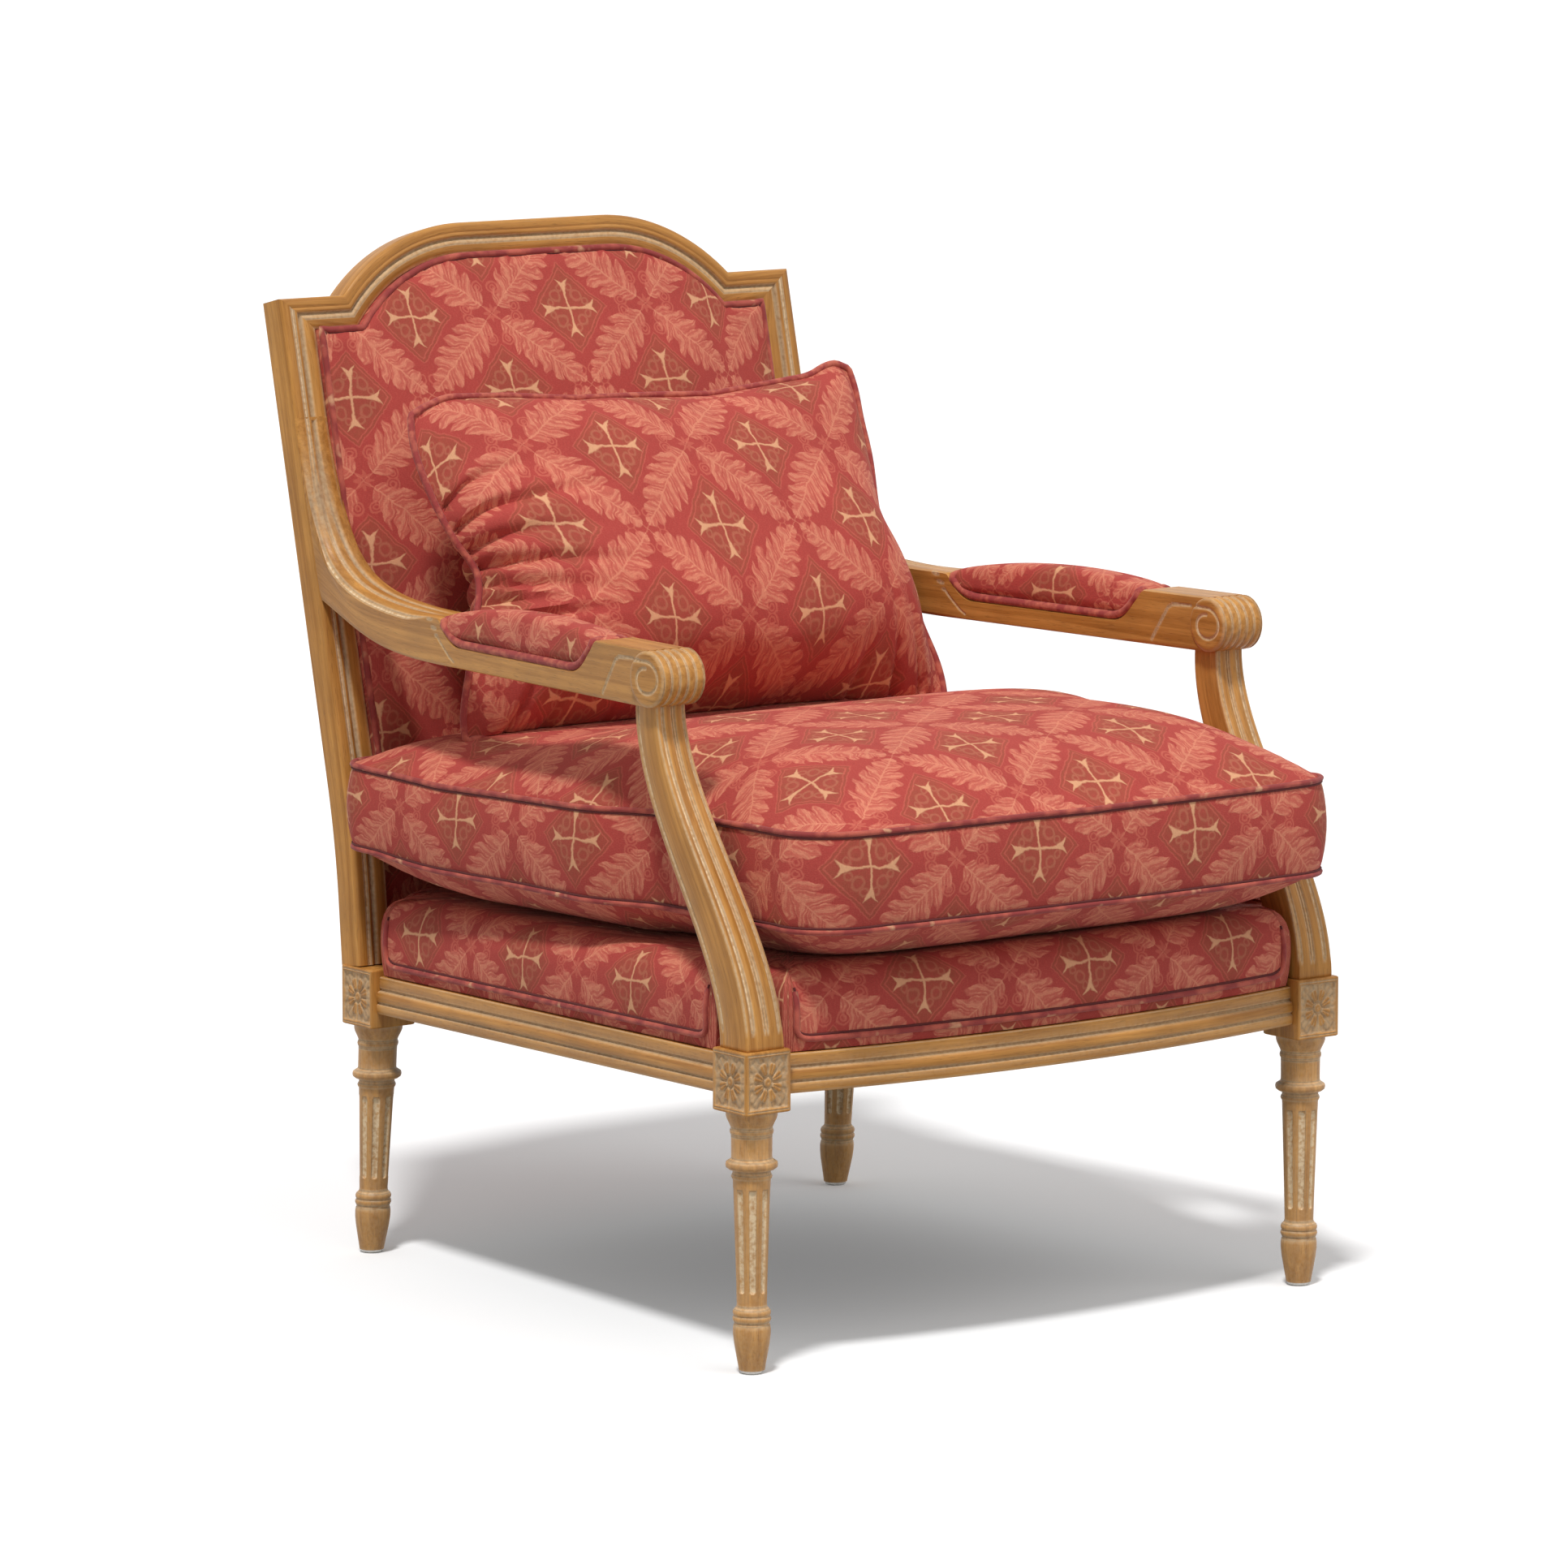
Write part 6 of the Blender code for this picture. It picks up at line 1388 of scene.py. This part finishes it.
def stuffed(piece, pressure, frames, furthest, stiffness=15.0):
    """Let the stuffing press the cover out, hold each point near where it was, and keep the result."""
    start = np.array([v.co for v in piece.data.vertices])
    step = piece.modifiers.new("stuffing", "CLOTH")
    cover = step.settings
    cover.quality, cover.mass = 6, 0.25
    cover.tension_stiffness = cover.compression_stiffness = stiffness
    cover.shear_stiffness, cover.bending_stiffness = stiffness / 2, 0.6
    cover.use_pressure, cover.uniform_pressure_force = True, pressure
    cover.effector_weights.gravity = 0
    step.collision_settings.use_collision = False
    step.point_cache.frame_start, step.point_cache.frame_end = 1, frames
    for number in range(1, frames + 1):
        bpy.context.scene.frame_set(number)
    ready = piece.evaluated_get(bpy.context.evaluated_depsgraph_get())
    moved = np.array([v.co for v in ready.data.vertices]) - start
    piece.modifiers.remove(step)
    bpy.context.scene.frame_set(1)
    far = np.linalg.norm(moved, axis=1)[:, None]
    return start + moved * np.minimum(1, furthest / np.maximum(far, 1e-9))


def cushion_half(y):
    """Half of the cushion's width before, between and behind the arm supports."""
    before = (NOSE_HALF - SQUEEZED_HALF) * ease(0, SQUEEZE_EASE, SQUEEZE_FRONT - y)
    behind = (CUSHION_HALF - SQUEEZED_HALF) * ease(0, 3 * SQUEEZE_EASE, y - SQUEEZE_REAR)
    return SQUEEZED_HALF + before + behind


turn = np.radians(np.linspace(0, 90, CORNER_STEPS))
nose_rows = CUSHION_FRONT + FRONT_CORNER * (1 - np.cos(turn))
tail_rows = (CUSHION_BACK - REAR_CORNER * (1 - np.cos(turn)))[::-1]
core_rows = np.linspace(nose_rows[-1], tail_rows[0], CUSHION_CORE + 2)[1:-1]
row_y = np.concatenate((nose_rows, core_rows, tail_rows))
rounding = np.concatenate((FRONT_CORNER * (1 - np.sin(turn)), np.zeros(CUSHION_CORE),
                           REAR_CORNER * (1 - np.sin(turn))[::-1]))
row_half = cushion_half(row_y) - rounding
spread = np.sin(np.linspace(-1, 1, CUSHION_COLUMNS) * 1.25) / math.sin(1.25)
row_share = 2 * (row_y - row_y[0]) / (row_y[-1] - row_y[0]) - 1
plan_x = row_half[:, None] * spread[None]
plan_x += NOSE_PUSH * ease(0, 1, spread) * ease(0, NOSE_PUSH_EASE, SQUEEZE_FRONT - row_y)[:, None]
forward = np.clip((tail_rows[0] - row_y) / (tail_rows[0] - CUSHION_FRONT), 0, 1)[:, None]
plan_y = row_y[:, None] - CUSHION_BOW * forward ** 6 * (1 - (plan_x / CUSHION_HALF) ** 2)


def cushion_face(level, swelling, fullness, lift):
    """A panel of the cushion over its plan, swollen from the level of its seam."""
    rise = (1 - np.abs(spread[None]) ** fullness) * (1 - np.abs(row_share[:, None]) ** fullness)
    return np.stack((plan_x, plan_y, level + swelling * rise + lift - seat_fall(plan_y)), axis=-1)


behind_middle, at_corner = ease(-0.25, 0.05, plan_y), ease(0.10, CUSHION_BACK, plan_y)
pressed = ease(DENT_FRONT, DENT_FULL, plan_y)
top_face = cushion_face(HIGH_SEAM, CROWN - DENT * pressed, 6, 0.7 * CORNER_LIFT * at_corner)
low_face = cushion_face(LOW_SEAM, -BELLY, 8, REAR_LIFT * behind_middle + CORNER_LIFT * at_corner)
rows, columns = plan_x.shape
number = np.arange(rows * columns).reshape(rows, columns)
rim = rim_of(number)
top_rim, low_rim = top_face.reshape(-1, 3)[rim], low_face.reshape(-1, 3)[rim]
rim_step = np.roll(top_rim[:-1], -1, axis=0) - np.roll(top_rim[:-1], 1, axis=0)
rim_out = np.stack((rim_step[:, 1], -rim_step[:, 0], np.zeros(len(rim_step))), axis=-1)
rim_out /= np.linalg.norm(rim_out, axis=1)[:, None]
band, band_numbers = [], [rim + rows * columns]
rim_x, rim_y = top_rim[:-1, 0], top_rim[:-1, 1]
free = ease(0, 0.03, np.maximum(np.maximum(SQUEEZE_FRONT - rim_y, rim_y - SQUEEZE_REAR), 0))
free = np.maximum(free, np.abs(rim_x) < 0.285)
for k in range(1, BAND_ROWS):
    share = k / BAND_ROWS
    swell = (BAND_SWELL + BAND_SWELL_FREE * free) * math.sin(math.pi * share) ** 0.8
    row = low_rim[:-1] + (top_rim - low_rim)[:-1] * share + rim_out * swell[:, None]
    start = 2 * rows * columns + (k - 1) * len(row)
    band.append(row)
    band_numbers.append(np.append(start + np.arange(len(row)), start))
band_numbers.append(rim)
round_band = run_lengths(top_rim)
round_band -= np.interp(0, top_rim[:columns, 0], round_band[:columns])
round_band[columns + rows + columns // 2:] -= round_band[-1] - round_band[0]
band_cloth = []
for k in range(BAND_ROWS + 1):
    up_band = np.full(len(rim), (HIGH_SEAM - LOW_SEAM) * k / BAND_ROWS + BAND_CUT[1])
    band_cloth.append(np.column_stack((round_band + BAND_CUT[0] + REPEAT_ACROSS, up_band)))
top_cloth = lengths_in(top_face, columns // 2) + TOP_CUT
low_cloth = lengths_in(low_face, columns // 2)
points = np.concatenate([top_face.reshape(-1, 3), low_face.reshape(-1, 3)] + band)
patches = [(number, top_cloth), (number + rows * columns, low_cloth),
           (np.array(band_numbers), np.array(band_cloth))]
cushion = covered("feather_seat_cushion", points, patches, red_damask)


def keep_clear(points):
    """Hold the seat cushion between the arm supports and above the deck."""
    middle_x, middle_y, half, deep = support_line(np.clip(points[:, 2], 0.36, 0.57))
    beside = np.abs(points[:, 1] - middle_y) < deep + SUPPORT_CLEAR_REACH
    limit = np.where(beside, middle_x - half - SUPPORT_CLEAR, 9)
    points[:, 0] = np.clip(points[:, 0], -limit, limit)
    points[:, 2] = np.maximum(points[:, 2], DECK_TOP + DECK_CLEAR - seat_fall(points[:, 1]))
    return points


shape = stuffed(cushion, CUSHION_PRESSURE, CUSHION_FRAMES, CUSHION_GIVE)
cushion.data.vertices.foreach_set("co", keep_clear(shape).ravel())
cushion.data.update()
settled = np.array([v.co for v in cushion.data.vertices])
outwards = np.append(rim_out, rim_out[:1], axis=0)
seams = [settled[rim + k * rows * columns] + outwards * SEAM_OUT for k in (0, 1)]
# Painted shadow of the seams: a thin dark tube below the top piping and above the low one.
seam_shadow_lines = [seam + outwards * 0.0004 + (0, 0, up) for seam, up in zip(seams, (-SEAM_SHADOW_SIDE, SEAM_SHADOW_SIDE))]
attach(cushion, "seat_cushion")
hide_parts("seat_cushion")
piping("seat_cushion_piping", [spaced(seam, 0.006) for seam in seams], "seat_cushion",
       CUSHION_PIPING_RADIUS)
seam_shadow("seat_cushion_seam_shadow", [spaced(line, 0.006) for line in seam_shadow_lines], "seat_cushion")


# Scatter cushion
# A loose feather cushion with a knife edge: two panels of damask are sewn together round a piping, which
# puckers them by its pull. It leans on the back and rests on the seat cushion.

FLAT_WIDE, FLAT_HIGH = 0.600, 0.382
PILLOW_WIDE, PILLOW_HIGH, PILLOW_DEEP = 0.548, 0.334, 0.172
PILLOW_LEAN, PILLOW_PLACE = 23.0, (0.012, 0.2031, 0.6715)
PILLOW_COLUMNS, PILLOW_ROWS, UNFILLED_DEEP = 76, 50, 0.012
EDGE_SHARE, FEATHERS_LOW = 0.10, 0.24
EAR_IN, WAIST_IN, CHEEK_IN = 0.007, 0.0112, 0.014
RIGHT_FALL, FOOT_BACK, RIGHT_FORWARD = 0.008, 0.032, 0.022
PILLOW_PIPING_OUT, PILLOW_PIPING_RADIUS = 0.0016, 0.0034
PILLOW_PRESSURE, PILLOW_FRAMES, PILLOW_GIVE, PILLOW_STIFFNESS = 9.0, 36, 0.2, 12.0
SOFTENED_BEFORE, SOFTENED_AFTER = 14, 6
PILLOW_CUT, PILLOW_REAR_CUT, PULL_ACROSS, PULL_UP = (0.005, REPEAT_UP), (0.05, 0.03), 0.009, 0.034
SEAT_GAP, BACK_GAP = 0.0006, 0.0008
FOLD_HALF, FOLD_SHOULDER, FOLD_DEEPENED = 0.0050, 0.013, 3.0
TOP_RIM = ((-.268, .1500), (-.258, .1567), (-.2224, .1679), (-.156, .1649), (-.076, .157), (.0216, .1547),
           (.088, .1514), (.1547, .1578), (.2124, .1636), (.2345, .1735), (.250, .1753), (.2634, .1661))
LOW_RIM = -0.168
FOLDS = ((.086, .10, .0050, .06), (.108, .02, .0070, .09), (.128, -.06, .0065, .08), (.147, -.16, .0065, .09),
         (.166, -.12, .0075, .11), (.186, -.05, .0070, .09), (.207, .02, .0065, .11), (.230, .10, .0050, .07))
FOOT_FOLDS = (
    (.040, .35, .0060, .07), (.085, .15, .0050, .05), (.150, .05, .0035, .05), (.330, -.10, .0035, .05),
    (.430, -.15, .0050, .06), (.478, -.30, .0055, .07), (.515, -.45, .0050, .06))


def knife_edge(front, back):
    """Points, the two panels' numbers and the rim's numbers of a body whose grids share their edge."""
    rows, columns = front.shape[:2]
    number = np.arange(rows * columns).reshape(rows, columns)
    far = number.copy()
    far[1:-1, 1:-1] = rows * columns + np.arange((rows - 2) * (columns - 2)).reshape(rows - 2, columns - 2)
    points = np.concatenate((front.reshape(-1, 3), back[1:-1, 1:-1].reshape(-1, 3)))
    return points, number, far, rim_of(number)


def flat_grid(rows, columns):
    """Shares across and up the flat cushion, and its blunt-cornered cloth."""
    u, v = np.meshgrid(np.linspace(-1, 1, columns), np.linspace(-1, 1, rows))
    blunt = 1 - 0.035 * (u * v) ** 8
    return u, v, np.stack((u * FLAT_WIDE / 2 * blunt, v * FLAT_HIGH / 2 * blunt), axis=-1)


def halved(panel):
    """A panel with a row and a column put between each two."""
    for axis in (0, 1):
        panel = np.moveaxis(panel, axis, 0)
        finer = np.empty((2 * len(panel) - 1,) + panel.shape[1:])
        finer[::2], finer[1::2] = panel, (panel[1:] + panel[:-1]) / 2
        panel = np.moveaxis(finer, 0, axis)
    return panel


def softened(panel, times):
    """A panel with the sharpest buckles eased out of its middle and its rim."""
    for _ in range(times):
        mean = panel.copy()
        mean[1:-1, 1:-1] = (panel[:-2, 1:-1] + panel[2:, 1:-1] + panel[1:-1, :-2] + panel[1:-1, 2:]) / 4
        for line in ((0, slice(1, -1)), (-1, slice(1, -1))):
            mean[line] = (panel[line[0], :-2] + panel[line[0], 2:]) / 2
            mean[line[::-1]] = (panel[:-2, line[0]] + panel[2:, line[0]]) / 2
        panel = (panel + mean) / 2
    return panel


def folds(places, along, inward):
    """Creases that run in from a seam: where each starts, its slope, its depth and its reach."""
    depth = 0
    for start, slope, deep, reach in places:
        off = along - start - slope * inward
        valley = np.exp(-(off / FOLD_HALF) ** 2) - 0.45 * np.exp(-(off / FOLD_SHOULDER) ** 2)
        depth = depth + FOLD_DEEPENED * deep * valley * np.exp(-(inward / reach) ** 2)
    return depth * ease(0.001, 0.014, inward)


u, v, cloth = flat_grid(PILLOW_ROWS, PILLOW_COLUMNS)
dome = ((1 - u ** 4) * (1 - v ** 4)) ** 0.62 * UNFILLED_DEEP
panels = [np.stack((cloth[..., 0], sign * dome, cloth[..., 1]), axis=-1) for sign in (-1, 1)]
points, number, far, rim = knife_edge(*panels)
blank = covered("pillow_blank", points, [(number, cloth), (far, cloth)], red_damask)
swollen = stuffed(blank, PILLOW_PRESSURE, PILLOW_FRAMES, PILLOW_GIVE, PILLOW_STIFFNESS)
bpy.data.objects.remove(blank, do_unlink=True)
panels = [swollen[number], swollen[far]]
panels = [softened(halved(softened(panel, SOFTENED_BEFORE)), SOFTENED_AFTER) for panel in panels]
panels = np.array(panels)
u, v, cloth = flat_grid(*panels.shape[1:3])
top, bottom = panels.max((0, 1, 2)), panels.min((0, 1, 2))
panels = (panels - (top + bottom) / 2) * (np.array((PILLOW_WIDE, PILLOW_DEEP, PILLOW_HIGH)) / (top - bottom))
panels[..., 1] *= EDGE_SHARE + (1 - EDGE_SHARE) * ((1 - u ** 4) * (1 - v ** 4)) ** 0.35
panels[..., 1] *= 1 - FEATHERS_LOW * np.sin(math.pi * v)
from_left, from_low = (u + 1) * PILLOW_WIDE / 2, (v + 1) * PILLOW_HIGH / 2
creased = folds(FOLDS, from_low, from_left) + folds(FOOT_FOLDS, from_left, from_low)
panels[..., 1] += creased * np.array((1, -1))[:, None, None]
high_rim, low_rim = panels[0, -1].copy(), panels[0, 0].copy()
high_rim[:, 0] -= EAR_IN * ease(0.85, 1, u[0])
raised = np.interp(high_rim[:, 0], *np.array(TOP_RIM).T)
raised = np.convolve(np.pad(raised, 3, "edge"), np.ones(7) / 7, "valid")
from_top = ease(-0.4, 1, v)
panels[..., 0] += (high_rim[:, 0] - panels[0, -1, :, 0]) * from_top ** 3
panels[..., 2] += (raised - high_rim[:, 2]) * from_top + (LOW_RIM - low_rim[:, 2]) * ease(-0.4, 1, -v)
at_right = ease(0.2, 1, u)
panels[..., 0] -= WAIST_IN * ease(0.55, 1, u) * ease(-0.3, 0.3, -v)
panels[..., 2] -= RIGHT_FALL * at_right * ease(0.6, 1, -v)
panels[..., 1] += FOOT_BACK * ease(0.5, 1, -v) * (1 - at_right)
panels[..., 1] -= RIGHT_FORWARD * ease(-0.3, 0.5, -v) * at_right
panels[..., 0] += CHEEK_IN * ease(0.4, 1, -u) * np.exp(-((v + 0.15) / 0.3) ** 2)
lean = math.radians(PILLOW_LEAN)
panels = np.stack((panels[..., 0], panels[..., 1] * math.cos(lean) + panels[..., 2] * math.sin(lean),
                   panels[..., 2] * math.cos(lean) - panels[..., 1] * math.sin(lean)), axis=-1)
panels += PILLOW_PLACE


def pad_front(x, z):
    """Where a level line meets the inside back."""
    foot = z
    for _ in range(6):
        share = np.clip((foot - PAD_LOW) / (arch_low(x) - PAD_LOW), 0, 1)
        here = back_point(x, foot, pad_depth(np.clip(x, -PAD_HALF, PAD_HALF), share))
        foot = foot + (z - here[..., 2])
    return here[..., 1]


points, number, far, rim = knife_edge(*panels)
seat_top = BVHTree.FromPolygons([Vector(p) for p in settled], [p.vertices for p in cushion.data.polygons])
for point in points:
    below = seat_top.ray_cast(Vector((point[0], point[1], 1.0)), Vector((0, 0, -1)))[0]
    if below is not None:
        point[2] = max(point[2], below.z + SEAT_GAP)
rest_y = np.minimum(points[:, 1], pad_front(points[:, 0], points[:, 2]) - BACK_GAP)
points[:, 1] = np.where(points[:, 2] > PAD_LOW, rest_y, points[:, 1])
pulled = np.stack((PULL_ACROSS * np.exp(-((u + 0.4) / 0.3) ** 2), PULL_UP * ease(0.2, 1, -u)), axis=-1)
front_cloth = cloth - pulled + PILLOW_CUT
patches = [(number, front_cloth), (far, front_cloth + PILLOW_REAR_CUT)]
pillow = covered("feather_scatter_cushion", points, patches, red_damask)
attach(pillow, "scatter_cushion")
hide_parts("scatter_cushion")
seam = points[rim] - points.mean(0)
seam = points[rim] + seam / np.linalg.norm(seam, axis=1)[:, None] * PILLOW_PIPING_OUT
grown("scatter_cushion_piping", piping_tree, [spaced(seam, 0.005)], "red_damask", "scatter_cushion",
      Radius=PILLOW_PIPING_RADIUS, Finish=welt_cloth)


# Camera, floor and light
# The chair stands on a pale studio floor under a white sky. A strong lamp shines from the viewer's left,
# a weak and wide one from the front right, and the lens is long, as in the photograph.

CAMERA_TARGET = Vector((-0.0332, -0.0296, 0.4720))
CAMERA_TURN, CAMERA_RISE, CAMERA_REACH, LENS_LENGTH = -37.4, 8.13, 7.72, 187.5
KEY_FROM, KEY_STRENGTH, KEY_SPREAD = (-0.327, -0.265, 0.907), 2.20, 7
FILL_FROM, FILL_STRENGTH, FILL_SPREAD = (0.30, -0.75, 0.80), 0.55, 50
FLOOR_HALF, FLOOR_SEEN, FLOOR_LIT, FLOOR_GLOW = 60, 0.93, 0.42, 0.09
SKY_LIGHT, SKY_SEEN = 0.42, 1.0

turn, rise = math.radians(CAMERA_TURN), math.radians(CAMERA_RISE)
toward = Vector((math.sin(turn) * math.cos(rise), -math.cos(turn) * math.cos(rise), math.sin(rise)))
lens = bpy.data.cameras.new("photograph")
lens.lens, lens.sensor_width, lens.clip_end = LENS_LENGTH, 36, 200
camera = placed("photograph", lens)
camera.location = CAMERA_TARGET + toward * CAMERA_REACH
camera.rotation_euler = (-toward).to_track_quat("-Z", "Y").to_euler()
bpy.context.scene.camera = camera


def lamp(name, direction, strength, spread):
    """A far lamp that shines from a direction."""
    sun = bpy.data.lights.new(name, "SUN")
    sun.energy, sun.angle = strength, math.radians(spread)
    placed(name, sun).rotation_euler = Vector(direction).to_track_quat("Z", "Y").to_euler()


lamp("key", KEY_FROM, KEY_STRENGTH, KEY_SPREAD)
lamp("fill", FILL_FROM, FILL_STRENGTH, FILL_SPREAD)

floor_mesh = bpy.data.meshes.new("floor")
corners = [(x * FLOOR_HALF, y * FLOOR_HALF, 0) for x, y in ((-1, -1), (1, -1), (1, 1), (-1, 1))]
floor_mesh.from_pydata(corners, [], [(0, 1, 2, 3)])
floor = placed("floor", floor_mesh)
floor_finish, add, sums, mixed, noise, give, relief = new_finish("pale_floor")
paths = add("LightPath").outputs
mirrored = sums("MAXIMUM", paths["Is Glossy Ray"], paths["Is Transmission Ray"])
seen = sums("MAXIMUM", paths["Is Camera Ray"], mirrored)
give("Base Color", mixed(seen, (FLOOR_LIT,) * 3 + (1,), (FLOOR_SEEN,) * 3 + (1,)))
give("Emission Strength", sums("MULTIPLY", seen, FLOOR_GLOW))
give("Emission Color", (1, 1, 1, 1))
give("Roughness", 0.9)
give("Specular IOR Level", 0.1)
floor_mesh.materials.append(floor_finish)

world = bpy.data.worlds.new("studio")
world.use_nodes = True
bpy.context.scene.world = world
tree = world.node_tree
sky = tree.nodes["Background"]
paths = new_node(tree, "ShaderNodeLightPath", {}, {}).outputs
shown = paths["Is Camera Ray"]
for ray in ("Is Glossy Ray", "Is Transmission Ray"):
    both = {0: shown, 1: paths[ray]}
    shown = new_node(tree, "ShaderNodeMath", both, {"operation": "MAXIMUM"}).outputs[0]
levels = {"Value": shown, "To Min": SKY_LIGHT, "To Max": SKY_SEEN}
level = new_node(tree, "ShaderNodeMapRange", levels, {})
tree.links.new(level.outputs["Result"], sky.inputs["Strength"])
sky.inputs["Color"].default_value = (1, 1, 1, 1)

bpy.context.scene.view_settings.view_transform = "Standard"
